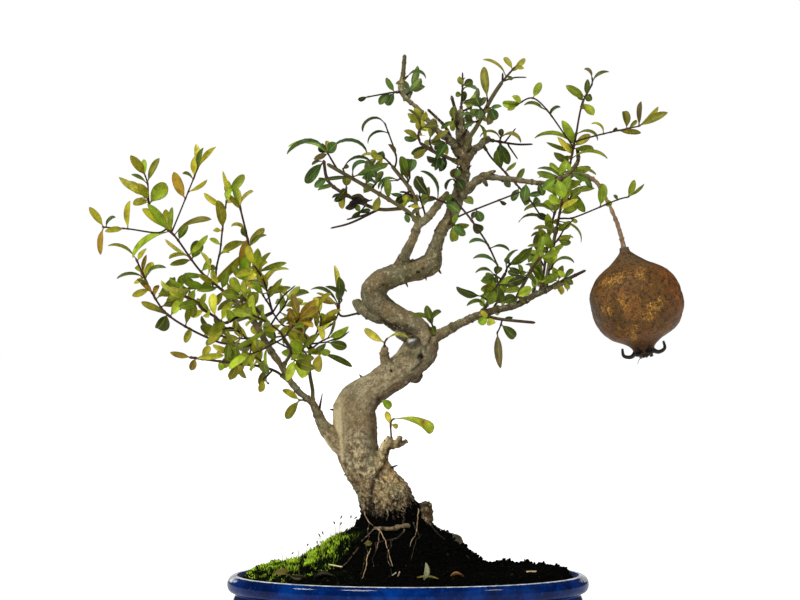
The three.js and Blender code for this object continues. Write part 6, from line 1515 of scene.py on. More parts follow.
def nearest_rows(points, centres):
    """For each point, the index of the nearest centre, found for a few thousand at a time."""
    found, step = np.empty(len(points), int), 4000
    for i in range(0, len(points), step):
        part = points[i:i + step]
        gaps = (part ** 2).sum(1)[:, None] - 2 * part @ centres.T + (centres ** 2).sum(1)
        found[i:i + step] = gaps.argmin(1)
    return found


# Round patches of the bark: [x, z] of the middle, and the squares of its reach in x and z.
HEAD_PATCH = (33, 318), (420, 420)
KNEE_PATCH = (-44, 168), (90, 90)
STUMP_PATCH = (-10, 134), (60, 320)
# Heights, or places in x, between which something on the bark comes in or fades out.
ROUGH_FADE, WORN_FADE, WET_FADE, SCAB_FADE = (104, 150), (138, 176), (108, 118), (125, 150)
OLIVE_RISE, YOUNG_RISE, CREST_RISE, CREST_FADE = (205, 240), (205, 225), (222, 234), (262, 272)
SHADE_RISE, SHADE_FADE, SHADED_SIDE_FADE = (135, 175), (255, 285), (240, 262)
SUN_RISE, SUN_FADE, SUN_LEFT_END = (138, 150), (168, 184), -50
FOOT_FADE, FOOT_RIGHT, SNAG_X, SNAG_RISE = (112, 134), (-22, -8), 11, (98, 104)
HEAD_LIMB_RISE, HEAD_LIMB_FADE, HEAD_LIMB_RIGHT_END = (330, 338), (356, 362), 28
SPUR_RISE, SPUR_RIGHT_END, SCAB_TOP = (360, 366), 4, 262
ROUGH_LEFT_END, WORN_LEFT_END = -60, -62
FRUIT_LIMB_START, FRUIT_LIMB_RUN, FRUIT_LIMB_END = (30, 55), (60, 105), (98, 114)
# Marks on the bark: [x, y, z, radius, kind].
MARKS = [
    [2.2, -6, 208.7, 3.3, "scar"], [-21.5, -12, 167, 1.5, "hole"], [-1.5, -6, 203, 0.9, "hole"],
    [-10, -6, 192, 0.8, "hole"], [7.6, -3.6, 200.2, 1.9, "hole"], [9.5, -3, 194, 1.2, "hole"],
    [-15, 3, 244, 1.2, "hole"], [6, -3, 251, 1.0, "hole"], [9, -3, 253.5, 1.0, "hole"],
    [7.5, 12, 186.5, 3.6, "end"], [10.5, -6, 115, 3.4, "end"], [14, -1, 259, 1.4, "hole"],
]
# Folds on the side that faces front, sunk in and darkened with painted shade: a line of [x, z], its width
# and its depth.
SHADED_FOLDS = [
    ([[-10.5, 145], [-14, 136], [-20, 128], [-22.5, 118], [-23, 108]], 1.5, 1.5),
    ([[7.8, 204], [8.6, 197.5], [5.5, 194], [2.5, 192]], 0.7, 0.8),
    ([[-15, 221], [-8, 217.5], [-1, 215.5], [3, 212.5]], 1.5, 0.9),
    ([[-39, 168], [-38.5, 158], [-39, 150], [-36, 142]], 0.7, 0.35),
    ([[13, 219], [14.5, 213], [11, 206]], 0.9, 0.9),
    ([[-7, 218.5], [-1, 217.5], [5, 215.5]], 2.0, 0.9),
    ([[24, 275], [26, 283], [24, 291]], 0.7, 0.7),
    ([[30, 296], [28.5, 304], [31, 312], [30, 320]], 0.7, 0.8),
]


class Bark:
    """The skin of the old wood: how far each point stands out, its colour and its roughness."""

    def __init__(self, points, normals, axis):
        self.points, self.normals = points, normals
        self.x, self.y, self.z = points.T
        self.find_patterns(axis)
        self.find_zones()
        self.out = self.relief()
        self.light_and_shade()
        self.patches()
        self.shade_light_and_weathering()
        self.young_and_wet_wood()
        for fold in SHADED_FOLDS:
            self.fold(*fold)
        for mark in MARKS:
            self.mark(*mark)

    def find_patterns(self, axis):
        """Noises that run along the wood, and noises that don't."""
        row = nearest_rows(self.points, axis["centres"])
        offset = self.points - axis["centres"][row]
        a = (offset * axis["across"][row]).sum(1)
        b = (offset * axis["side"][row]).sum(1)
        self.run = axis["run"][row] + (offset * axis["along"][row]).sum(1)
        self.radius = axis["radius"][row]
        self.ridges = fractal(np.stack([a * 0.55, b * 0.55, self.run * 0.13], 1), 0.8, 2.0, 4)
        self.fine = fractal(np.stack([a * 0.9, b * 0.9, self.run * 0.6], 1), 0.7, 2.2, 3)
        self.crack = np.clip(1 - np.abs(self.ridges + 0.3 * self.fine) * 6, 0, 1)
        self.patch = fractal(self.points / 6, 0.8, 2.0, 3)
        self.mottle = fractal(self.points / 2.7, 0.6, 2.1, 3)

    def find_zones(self):
        """Where the wood is rough and low, in the head, worn, thin, or swollen at a joint."""
        self.low = falling(self.z - 9 * self.patch, *ROUGH_FADE) * (self.x > ROUGH_LEFT_END)
        self.head = self.near(*HEAD_PATCH)
        self.worn = falling(self.z, *WORN_FADE) * (self.x > WORN_LEFT_END)
        self.thin = falling(self.radius, 4, 6.5)
        joints = np.sin(self.run * 0.52 + 2 * np.sin(self.run * 0.13))
        self.joint = self.thin * smoothstep(joints, 0.86, 1)

    def near(self, middle, reach):
        across, up = (self.x - middle[0]) ** 2, (self.z - middle[1]) ** 2
        return np.exp(-(across / reach[0] + up / reach[1]))

    def relief(self):
        x, z = self.x, self.z
        lumps, knobs = waves(self.points / 9), waves(self.points / 3.4)
        size = np.clip(self.radius / 8, 0.15, 1)
        out = size * (0.4 * self.ridges + 0.75 * lumps)
        out += 0.28 * self.fine * np.clip(size * 2, 0.4, 1)
        out += (0.45 * self.thin + 0.5 * self.head) * knobs + 0.45 * self.joint
        out -= 0.45 * smoothstep(x, *FRUIT_LIMB_RUN) + 0.15 * smoothstep(x, 30, 60)
        head_limb = smoothstep(z, *HEAD_LIMB_RISE) * falling(z, *HEAD_LIMB_FADE)
        out -= 0.45 * head_limb * (x < HEAD_LIMB_RIGHT_END)
        out += self.low * (0.7 * self.ridges + 0.45 * self.fine - 0.8 * self.crack)
        return out - 0.3 * self.worn * smoothstep(self.mottle, 0.0, 0.3)

    def tone(self, colour, share):
        self.tint = toward(self.tint, colour, share)

    def darken(self, share):
        self.tint = self.tint * (1 - share)[:, None]

    def light_and_shade(self):
        nx, _, nz = self.normals.T
        light = 0.3 + 0.8 * smoothstep(self.patch + 0.6 * self.ridges, -0.6, 0.6)
        # Painted light: faces that turn up and to the left are lighter. Painted shade: the undersides go
        # dark olive.
        self.tint = toward(BARK_MIDDLE, BARK_LIGHT, light + 0.4 * smoothstep(nz - nx, 0.3, 1.3))
        self.tone(BARK_OLIVE * 0.8, 0.6 * smoothstep(-nz, 0.0, 0.9))
        high = np.maximum(smoothstep(self.z, *OLIVE_RISE), falling(self.radius, 2.5, 4.5))
        self.tone(BARK_OLIVE * 1.3, 0.6 * high)

    def patches(self):
        """Ochre on the knee and the stump, dark mottles, flecks and cracks."""
        stump = self.near(*STUMP_PATCH) * (self.y < -2)
        self.tone(BARK_OCHRE, 0.6 * self.near(*KNEE_PATCH) + 0.55 * stump)
        self.darken(-0.5 * stump)
        self.tone(BARK_MOTTLE, smoothstep(self.mottle, -0.02, 0.34) * (0.14 + 0.56 * self.worn))
        self.darken(-0.3 * self.worn * smoothstep(-self.mottle, 0.06, 0.4))
        flecks = smoothstep(self.fine + 0.3 * self.low + 0.25 * self.patch, 0.34, 0.54)
        self.tone(BARK_DARK, flecks * (0.55 + 0.35 * self.low))
        self.tone(BARK_DARK, self.crack * (0.2 + 0.65 * self.low))
        self.darken(0.42 * self.head)

    def shade_light_and_weathering(self):
        """A darker band up the trunk, painted shade on the side that turns right and down, scabs that
        gather most on that shaded side, grey and tan clouds, and painted light on the sunlit left side.
        """
        x, z = self.x, self.z
        nx, _, nz = self.normals.T
        self.darken(0.37 * smoothstep(z, *SHADE_RISE) * falling(z, *SHADE_FADE))
        # Painted shade on faces that turn right and down, away from the key light.
        shaded_side = smoothstep(nx - 0.4 * nz, 0.3, 0.95) * falling(z, *SHADED_SIDE_FADE)
        self.tone(BARK_DARK * 1.3, 0.66 * shaded_side)
        # The brown scabs are the bark's own, but they gather most on the painted-shade side.
        scab = self.patch + 0.5 * self.fine + 0.5 * shaded_side + 0.35 * falling(z, *SCAB_FADE)
        scab = smoothstep(scab, 0.25, 0.75) * (x > WORN_LEFT_END) * (z < SCAB_TOP)
        self.tone(BARK_SCAB, 0.6 * scab)
        cloud = waves(self.points / 13 + [7, 3, 1])
        self.tone(BARK_GREY * 0.9, 0.3 * smoothstep(cloud, 0.02, 0.4))
        self.tone(BARK_TAN * 0.8, 0.35 * smoothstep(-cloud, 0.02, 0.4))
        sunlit = smoothstep(-nx, 0.3, 0.85) * smoothstep(z, *SUN_RISE) * falling(z, *SUN_FADE)
        self.tone(BARK_LIGHT * 1.7, 0.8 * sunlit * (x > SUN_LEFT_END))

    def young_and_wet_wood(self):
        """The shaded foot, grey crest, dark joints, tan spur and stalk, and the wet base."""
        x, z = self.x, self.z
        self.darken(0.22 * falling(z, *FOOT_FADE) * smoothstep(x, *FOOT_RIGHT))
        self.darken(0.12 * smoothstep(z, *YOUNG_RISE))
        crest = smoothstep(self.normals[:, 2], 0.45, 0.9) * smoothstep(z, *CREST_RISE)
        crest = crest * falling(z, *CREST_FADE) * smoothstep(self.patch, -0.5, 0.2)
        self.tone(CREST_GREY, 0.55 * crest)
        self.darken(0.35 * self.joint)
        self.darken(0.36 * smoothstep(x, *FRUIT_LIMB_START))
        self.tone(SPUR_TAN, 0.7 * smoothstep(z, *SPUR_RISE) * (x < SPUR_RIGHT_END))
        self.tone(STALK_TAN, 0.7 * smoothstep(x, *FRUIT_LIMB_END))
        snag = hump(x, SNAG_X, 5.5) * smoothstep(z, *SNAG_RISE) * (self.y < 2)
        wet = falling(z - 7 * self.patch - 5 * self.fine, *WET_FADE)
        self.darken(0.95 * wet * (1 - 0.8 * snag))

    def fold(self, path, width, depth):
        gap = np.full(len(self.points), 99.0)
        for start, end in zip(np.array(path, float), np.array(path[1:], float)):
            way = end - start
            here = np.stack([self.x, self.z], 1) - start
            share = np.clip(here @ way / way.dot(way), 0, 1)
            gap = np.minimum(gap, np.linalg.norm(here - share[:, None] * way, axis=1))
        inside = hump(gap, 0, width) * (self.normals[:, 1] < 0.15)
        self.out = self.out - depth * inside
        # Painted shade in the fold.
        self.tone(BARK_DARK * 0.4, 0.85 * min(depth, 1) * inside)

    def mark(self, x, y, z, size, kind):
        wide = np.array([0.68, 0.6, 1.1]) if kind == "scar" else np.ones(3)
        gap = np.linalg.norm((self.points - [x, y, z]) * wide, axis=1) / size
        inside = falling(gap, 0.75, 1.1)
        rim = hump(gap, 1.15, 0.22)
        if kind == "scar":
            # The scar's cut face gets a painted highlight at its upper left and painted shade at its lower
            # right.
            shine = smoothstep(self.z - z - 0.5 * (self.x - x), 0.2, 1.5)
            self.tone(toward(SCAR_DARK, SCAR_HIGHLIGHT, shine), inside)
            self.out = self.out * (1 - inside) - 1.3 * inside + 0.6 * rim
        elif kind == "end":
            self.tone(CUT_END, inside)
        else:
            # Painted shade in the hole.
            self.tone(HOLE_SHADE, inside)
            self.out = self.out - 0.7 * inside + 0.3 * rim
        self.tone(BARK_DARK, 0.7 * rim)

    def add_to(self, build, faces):
        rough = np.clip(self.low + self.head, 0, 1)[:, None] * np.array([1.0, 0.0, 0.0])
        build.add(self.points + self.normals * self.out[:, None], faces,
                  np.clip(self.tint, 0.003, 1), 0, rough)


def add_twig(build, curve, slot, sides, swell=0.0, tip=0.45):
    """Young wood: dark, greyer where it is thick, and redder where it swells at its nodes."""
    radii = curve[:, 3] * (1 + 0.35 * swell)
    radii[-1] *= tip
    points, faces = tube(curve[:, :3], radii, sides)
    tint = toward(TWIG_DARK, TWIG_GREY, smoothstep(curve[:, 3], 0.85, 1.7))
    tint = toward(tint, TWIG_RED, 0.35 * np.clip(swell, 0, 1))
    build.add(points, faces, with_ends(np.repeat(tint, sides, 0)), slot)


# Short spurs on the trunk and its limbs: [root x, y, z], [tip x, y, z], radius at the root.
STUBS = [
    [[-43.5, 0, 158.5], [-46.6, -1, 159.6], 1.1], [[-35.5, 0, 130], [-38.8, -1, 129.4], 1.0],
    [[-27, 4, 187], [-29.4, 4, 189.8], 1.1], [[-22.5, -2, 160], [-18.6, -3, 160.6], 1.2],
    [[31, 1, 324], [27, -4, 331], 1.5], [[32, 1, 323], [30, -6, 329], 1.3],
    [[34, 0, 321], [38.5, -5, 326], 1.4], [[32, 3, 331], [36, -2, 338], 1.2],
    [[31, 5, 336], [27, 1, 342], 1.1], [[33, 0, 311], [38, -4, 315], 1.3],
    [[31, -1, 303], [26.5, -5, 307], 1.2], [[34, 1, 318], [28.5, -5, 319], 1.3],
    [[26, -2, 285], [30.5, -5, 288], 1.1], [[-12, 8, 248], [-14, 4, 253], 1.2],
    [[3, -4, 213.5], [-7.4, -9, 219.4], 0.7],
    [[86, -18, 304.5], [88.4, -25.6, 308], 0.9], [[96, -15, 308], [96.8, -20.5, 310], 0.8],
]
# Fine roots on the soil's front, as the points [x, z, lift off the soil, share of radius].
ROOTLETS = [
    ([[-20, 98.5, 1.2, 0.8], [-12, 98, 1.6, 1], [-4, 99.5, 1.8, 1], [1, 100, 2, 0.95]], 1.4, 0.42),
    ([[-18, 98, 1.5, 1.6], [-14.8, 94, 1.8, 1.3], [-12.6, 89, 1.5, 1.1], [-11, 84, 1.3, 1],
      [-9, 78, 1, 0.8]], 0.27, 1.0),
    ([[-17, 98, 1.5, 1.3], [-17.6, 91, 1.8, 1], [-19, 86, 1.2, 0.7]], 0.27, 0.7),
    ([[-20.5, 98, 1, 1], [-24, 94, 1.2, 1.2], [-28.4, 90, 1.2, 0.7]], 0.4, 0.2),
    ([[-22, 88, 1, 1], [-24, 83, 1.3, 1.2], [-24.6, 78, 1, 1], [-27, 72, 0.8, 0.6]], 0.3, 1.0),
    ([[-24, 114, 1.6, 1.6], [-25.8, 108, 1.6, 1.2], [-24.6, 103, 1.4, 1.1], [-20.6, 100, 1, 0.7]],
     0.36, 0.8),
    ([[-13, 111, 1.5, 1.4], [-12, 107, 1.6, 1.1], [-12.6, 103, 1.2, 0.7]], 0.4, 0.5),
    ([[6.2, 109, 1.5, 1.3], [5.6, 102, 1.6, 1.1], [4.6, 96, 1.4, 1], [2.4, 92, 1.2, 1],
      [0.6, 88, 1, 0.6]], 0.28, 0.75),
    ([[14, 101, 1, 1], [18, 99, 1.6, 1], [23, 98, 2, 1], [28, 95, 1.5, 0.7]], 0.35, 0.2),
    ([[-29, 88, 1, 1], [-34, 82, 1.2, 1], [-40, 76, 1, 0.7]], 0.42, 0.12),
]


def front_place(x, z, lift):
    """The place on the front of the soil that is z high, lifted off it."""
    near, far = 0.0, -WALL_RADIUS * OVAL * 0.96
    for _ in range(24):
        middle = (near + far) / 2
        if ground_height(x, middle) > z:
            near = middle
        else:
            far = middle
    return x, near - lift * 0.8, min(z, float(ground_height(x, near))) + lift * 0.5


def wander(points, size):
    """A gentle wander in x, y and z for each of the points."""
    return np.stack([waves(points / size + shift) for shift in (0, 31.7, -17.3)], 1)


def add_root(build, curve, thin, pale=None):
    """A root with uneven girth, stained by soil. It is paler where it is thin, or as given."""
    radii = curve[:, 3] * thin * (0.92 + 0.4 * waves(curve[:, :3] / 2.2))
    radii[-1] *= 0.5
    points, faces = tube(curve[:, :3], radii, ROOT_SIDES)
    shade = 0.04 * falling(radii, 0.5, 1.6) if pale is None else pale
    stain = fractal(curve[:, :3] / 3.5, 0.8, 2.0, 3)
    tint = toward(ROOT_DARK, ROOT_PALE, shade * (1 - 0.8 * smoothstep(stain, -0.1, 0.5)))
    build.add(points, faces, with_ends(np.repeat(tint, ROOT_SIDES, 0)))


def thick_and_thin_limbs():
    """The limbs as curves. A limb that thins out is cut, and its thin end overlaps."""
    thick, thin = [], []
    for points in (TRUNK, *LIMBS.values()):
        curve = limb_samples(points)
        small = np.flatnonzero(curve[:, 3] < THIN_WOOD)
        if len(small) and small[0] <= 3:
            thin.append(curve)
            continue
        cut = small[0] if len(small) else len(curve)
        thick.append(curve[:cut])
        if cut < len(curve):
            thin.append(curve[max(cut - 5, 0):])
    return thick, thin


def limb_axis(limbs):
    """The limbs' centres in one table, with directions, runs along each limb, and radii."""
    rows = []
    for curve in limbs:
        along, across, side = frames_along(curve[:, :3])
        steps = np.linalg.norm(np.diff(curve[:, :3], axis=0), axis=1)
        run = np.concatenate([[0], np.cumsum(steps)]) + 97 * len(rows)
        rows.append((curve[:, :3], along, across, side, run, curve[:, 3]))
    keys = ("centres", "along", "across", "side", "run", "radius")
    return {key: np.concatenate([row[i] for row in rows]) for i, key in enumerate(keys)}


def add_shoot_stubs(build):
    """The short stub on the wood that each spray of shoots grows on from."""
    for stub, branches in SPRAYS.values():
        path, radius = branches[0]["path"], branches[0]["radius"]
        joint, _ = split_stub(path, stub)
        curve = smooth_curve([[*path[0], radius * 1.3], [*joint, radius]], 0.8)
        curve[-2:, 3] *= 1.12
        add_twig(build, curve, 0, 8, tip=1)


def add_roots(build):
    for root in ROOTS:
        halfway = [(a + b) / 2 for a, b in zip(root[0], root[1])]
        bent = smooth_curve([[x, y, 0, r] for x, y, r in (root[0], halfway, *root[1:])], 0.9)
        bent[1:, :2] += wander(bent[:, :3], 5)[1:, :2] * 1.6
        bent[:, 2] = soil_height(bent[:, 0], bent[:, 1]) + bent[:, 3] * 0.35 + 0.5
        add_root(build, bent, 0.3)
    for path, radius, pale in ROOTLETS:
        places = [[*front_place(x, z, lift), radius * share] for x, z, lift, share in path]
        bent = smooth_curve(places, 0.8)
        bent[:, :3] += wander(bent[:, :3], 3) * 0.5
        add_root(build, bent, 1, pale)


def make_trunk(bark):
    thick, thin = thick_and_thin_limbs()
    points, normals, faces = joined_wood(thick)
    build = Builder()
    Bark(points, normals, limb_axis(thick)).add_to(build, faces)
    for curve in thin:
        nodes = np.maximum(0, np.sin(np.arange(len(curve)) * 0.9) - 0.82) * 4
        add_twig(build, curve, 0, 9, nodes)
    for root, tip, radius in THORNS + STUBS:
        add_twig(build, smooth_curve([[*root, radius], [*tip, radius * 0.25]], 1.0), 0, 7)
    add_shoot_stubs(build)
    add_roots(build)
    dress(build.make("trunk_wood", [bark]), "bark", "trunk")


# ---------------------------------------------------------------- leaves and sprays
PALETTES = {
    "left": {"green": 0x7C8612, "olive": 0x8C880E, "bronze": 0x8E7412, "yellow": 0xC4BA2C,
             "dark": 0x4E5A0A, "f": 0x7A9212, "y": 0xD0C840, "d": 0x3E4E0A, "b": 0x8A6C16},
    "crown": {"green": 0x626C1C, "olive": 0x726E1A, "bronze": 0x7C661C, "yellow": 0xACA42E,
              "dark": 0x3C5019, "f": 0x637A1A, "y": 0xB4AE36, "d": 0x2C4418, "b": 0x6A5A2C},
    "right": {"green": 0x748012, "olive": 0x827E16, "bronze": 0x8C7218, "yellow": 0xB8B02C,
              "dark": 0x4A5A14, "f": 0x7A9016, "y": 0xC2BC36, "d": 0x3C4C12, "b": 0x665830},
}
# How bronzed the leaves get at the tip, then their darkest and lightest factor.
SPREADS = {"left": (0.3, 0.42, 1.5), "crown": (0.15, 0.12, 2.08), "right": (0.18, 0.42, 1.45)}
BRONZE = srgb(0x8A6A1C)
PALE_LEAF = srgb(0xB8B23A)
# The rows of a blade from root to tip, and three outlines as shares of half its width.
LEAF_ROWS = np.array([0.0, 0.06, 0.13, 0.22, 0.33, 0.45, 0.57, 0.69, 0.8, 0.89, 0.955, 1.0])
BLADE_SHAPE = np.array([0.0, 0.05, 0.19, 0.5, 0.8, 0.97, 1.0, 0.95, 0.81, 0.58, 0.33, 0.04])
ROUND_SHAPE = np.array([0.0, 0.03, 0.14, 0.42, 0.72, 0.91, 1.0, 0.98, 0.86, 0.65, 0.38, 0.06])
SPOON_SHAPE = np.array([0.0, 0.04, 0.1, 0.2, 0.34, 0.54, 0.76, 0.94, 1.0, 0.9, 0.62, 0.1])
BLADE_COLUMNS = np.array([-1, -0.55, 0, 0.55, 1])
BLADE_AROUND = np.concatenate([BLADE_COLUMNS, BLADE_COLUMNS[1:4]])  # on top, then underneath
BLADE_THICKNESS = 0.28
SHARP_ANGLE = 72
CROWN_HEIGHT = 275  # sprays that start above it belong to the crown
SPRAY_SEED, LIMB_LEAF_SEED, LITTER_SEED = 31, 67, 53
PLAIN_SPREAD = (0.55, 1.4)
BRIGHT_TONES, BRIGHT_SPREAD = ("y", "yellow", "b", "bronze"), (0.55, 1.1)
LEFT_WIDER, LEFT_LONGER, KNOB_NARROWER = 1.07, 1.1, 0.78
UNDERSIDE, BROWN_BRUISE = srgb(0x9FAE5A), srgb(0x7A4A10)


def palette_of(name):
    if name.startswith(("left", "bend", "knob", "stump")):
        return "left"
    return "right" if name.startswith(("right", "turn", "trunk_leaf")) else "crown"


def is_spoon(leaf):
    return leaf["length"] > 22 and leaf["width"] > 8


def half_widths(leaf):
    outline = ROUND_SHAPE if leaf["width"] > 0.4 * leaf["length"] else BLADE_SHAPE
    if is_spoon(leaf):
        outline = SPOON_SHAPE
    stalk = 0.3 + 0.1 * (leaf["length"] > 12)
    half = np.maximum(leaf["width"] / 2 * outline, stalk * (1 - LEAF_ROWS ** 3))
    half[-1] = 0.1
    return half[:, None]


def blade_points(leaf, random):
    """A thin blade with a keel, a slightly waved edge and a stalk drawn in to its stem."""
    side = np.cross(leaf["along"], leaf["face"])
    pull = np.clip(1 - LEAF_ROWS / 0.22, 0, 1)[:, None]
    stem = leaf.get("stem", leaf["base"])
    middle = leaf_points(leaf, LEAF_ROWS) + (stem - leaf["base"]) * pull
    normal = np.cross(side, np.gradient(middle, axis=0))
    normal /= np.linalg.norm(normal, axis=1)[:, None]
    half = half_widths(leaf)
    fold = random.uniform(0.25, 0.75)
    wave = random.uniform(-0.2, 0.2) * np.sin(LEAF_ROWS * random.uniform(5, 9)
                                              + random.uniform(0, 6))
    width = half * BLADE_COLUMNS
    rise = half * (fold * np.abs(BLADE_COLUMNS) + wave[:, None] * BLADE_COLUMNS)
    first, last = random.uniform(-14, 14), random.uniform(-26, 26)
    if leaf.get("edge_on"):
        first, last = (16, -14) if side.dot(FRONT) * leaf["face"].dot(FRONT) > 0 else (-16, 14)
    turned = np.radians(first + (last - first) * LEAF_ROWS)[:, None]
    across = (side * np.cos(turned) + normal * np.sin(turned))[:, None]
    above = (normal * np.cos(turned) - side * np.sin(turned))[:, None]
    top = middle[:, None] + width[:, :, None] * across + rise[:, :, None] * above
    depth = BLADE_THICKNESS * np.where(LEAF_ROWS < 0.2, 1.6, 1.0)
    under = top[:, 1:4] - normal[:, None] * depth[:, None, None]
    return np.concatenate([top, under], 1).reshape(-1, 3)


def blade_faces():
    """Faces between rows of five points on top and three underneath."""
    around = len(BLADE_AROUND)
    end = (len(LEAF_ROWS) - 1) * around
    faces = []
    for a in range(0, end, around):
        b = a + around
        for c in range(4):
            faces.append([a + c, a + c + 1, b + c + 1, b + c])
        for c, d in zip((0, 5, 6, 7), (5, 6, 7, 4)):
            faces.append([a + d, a + c, b + c, b + d])
    faces.append([0, 5, 6, 7, 4, 3, 2, 1])
    faces.append([end + k for k in (0, 1, 2, 3, 4, 7, 6, 5)])
    return faces


def blade_tint(leaf, tone, random, bronzed, spread):
    """Each leaf has its own lightness and hue, and bronze towards its tip and edge."""
    lit = random.uniform(*spread)
    colour = tone * lit * random.uniform(0.93, 1.07, 3)
    if tone.sum() > 0.4:
        colour = colour + (PALE_LEAF - colour) * 0.8 * np.clip(lit - 1.1, 0, 0.4)
    tip = colour + (BRONZE - colour) * bronzed * random.uniform(0.2, 1.0)
    share = smoothstep(LEAF_ROWS, 0.25, 1.0)[:, None] * (0.35 + 0.65 * np.abs(BLADE_AROUND))
    tint = toward(colour, tip, share)
    tint[:, 5:] = tint[:, 5:] * 0.9 + UNDERSIDE * 0.12
    tint[:2] = tint[:2] * 0.5 + TWIG_RED * 0.4
    if is_spoon(leaf):
        tint[7, 1:3] = BROWN_BRUISE
    return np.clip(tint, 0.003, 1).reshape(-1, 3)


def add_leaf(build, leaf, tone, random, bronzed, spread):
    points = blade_points(leaf, random)
    tint = blade_tint(leaf, tone, random, bronzed, spread)
    blade = np.zeros((len(LEAF_ROWS), len(BLADE_AROUND), 3))
    blade[:, :, 0] = LEAF_ROWS[:, None]
    blade[:, :, 1] = BLADE_AROUND
    blade[:, :, 2] = random.uniform(0, 1)
    build.add(points, blade_faces(), tint, 0, blade.reshape(-1, 3))


def add_listed_leaves(build, listed, random):
    for root, heading, lean, length, width, arch, roll, tone in listed:
        along = direction_of(heading, lean)
        leaf = {"along": along, "face": face_of(along, FRONT, roll), "length": length,
                "width": width, "arch": math.radians(arch), "base": vec(root)}
        add_leaf(build, leaf, srgb(tone), random, 0.2, (0.85, 1.15))


def shoot_curve(branch, stub, is_first):
    """A shoot's centres and radii. The first one starts inside the stub on the wood."""
    path, radius = [vec(p) for p in branch["path"]], branch["radius"]
    fine = radius * (0.78 if radius < 1.3 else 0.92)
    last = len(path) - 1
    if is_first:
        _, path = split_stub(path, stub)
        path[0] = path[0] - unit(path[1] - path[0]) * (TIP_GAP + 0.9)
        last = len(path)
    return smooth_curve([[*p, fine * (1 - 0.3 * k / last)] for k, p in enumerate(path)], 1.3)


def spray_curves(stub, branches):
    """The shoots of a spray, each set on the shoot that it starts from."""
    curves = []
    for branch in branches:
        curve = shoot_curve(branch, stub, not curves)
        if curves:
            others = np.vstack([c[:, :3] for c in curves])
            gaps = np.linalg.norm(others - curve[0, :3], axis=1)
            if gaps.min() < 3:
                curve[0, :3] = others[gaps.argmin()]
        curves.append(curve)
    return curves


def set_on_stems(leaves, curves):
    """Gives each leaf its place on its shoot, and returns where the shoots swell."""
    swells = [np.zeros(len(c)) for c in curves]
    for leaf in leaves:
        curve = curves[leaf["branch"]]
        row = np.linalg.norm(curve[:, :3] - leaf["base"], axis=1).argmin()
        swells[leaf["branch"]][row] = 1.0
        leaf["stem"] = curve[row, :3]
    return swells


def sized(leaf, name):
    """The leaf as wide and long as the photograph shows those of its spray."""
    if name == "knob_leaf":
        return {**leaf, "width": leaf["width"] * KNOB_NARROWER}
    if palette_of(name) == "left":
        return {**leaf, "width": leaf["width"] * LEFT_WIDER,
                "length": leaf["length"] * LEFT_LONGER}
    return leaf


def add_spray_leaf(build, leaf, name, own_tone, random):
    where = palette_of(name)
    bronzed, *spread = SPREADS[where]
    key = leaf["tone"] or own_tone
    if key in BRIGHT_TONES:
        spread = BRIGHT_SPREAD
    sunny = smoothstep(leaf["base"][2], 255, 300) if where == "left" else 0
    tone = srgb(PALETTES[where][key]) * (1 + 0.35 * sunny)
    add_leaf(build, sized(leaf, name), tone, random, bronzed, spread)


def make_sprays(leaf_look, young, grown):
    random = np.random.default_rng(SPRAY_SEED)
    for name, (stub, branches) in SPRAYS.items():
        build = Builder()
        curves = spray_curves(stub, branches)
        for curve, swell in zip(curves, set_on_stems(grown[name], curves)):
            add_twig(build, curve, 1, TWIG_SIDES, swell)
        for leaf in grown[name]:
            add_spray_leaf(build, leaf, name, branches[leaf["branch"]]["tone"], random)
        piece = build.make(name + "_shoots", [leaf_look, young], SHARP_ANGLE)
        slot = "crown_leaf" if branches[0]["path"][0][2] > CROWN_HEIGHT else "leaf"
        dress(piece, slot, "spray_" + name)


# ---------------------------------------------------------------- fruit
FRUIT_PROFILE = [[0, 2.4], [2, 4], [8, 11], [13, 18.8], [18.5, 23.8], [25, 26.7], [34, 27.5],
                 [41.5, 26], [47.5, 22.9], [51.8, 18.5], [55, 11.6], [58.5, 7.2], [62.5, 5.8]]


FRUIT_MOUTH = [[62.7, 5.3], [62.2, 4.6], [61.0, 3.9], [60.2, 3.3]]  # from the rim inwards
FRUIT_START = vec(FRUIT_TOP) + FRUIT_DOWN * TIP_GAP
CROWN_MOUTH = FRUIT_START + FRUIT_DOWN * 61.4
BODY_LENGTH, BODY_BOW = 56, 1.6
# Drops below the fruit's root, or distances to its sides, between which a tint comes or goes.
NECK_FADE, LOW_RISE, RED_RISE, LEFT_RISE = (6, 17), (50, 58), (8, 24), (15, 27)
RUST_RISE, RUST_FADE = (10, 24), (20, 46)
FRUIT_SIDES = 112
SEPAL_SIDES = 8
STAMEN_COUNT = 16
STAMEN_SEED = 61
NECK_GREY, STALK_BROWN, HUSK_BLACK = srgb(0x6A6250) * 1.98, srgb(0x4A3C28), srgb(0x16110D)
STAMEN_BLACK, STAMEN_BROWN, STYLE_BLACK = srgb(0x1E1A12), srgb(0x5A3E20), srgb(0x1C1610)
RED_SIDE, SHADED_LEFT = np.array([0.56, 0.45, 0.4]), np.array([0.34, 0.36, 0.34])
SHADED_BOTTOM = np.array([0.2, 0.15, 0.13])
GOLD_PATCHES = [[122, 246, 6], [137, 250, 4], [143, 230, 5], [140, 224, 4], [128, 235, 5],
                [132, 215, 4], [117, 228, 4]]  # worn, speckled places: [x, z, reach]


def fruit_outward(turn):
    return FRUIT_RIGHT * math.cos(turn) + FRONT * math.sin(turn)


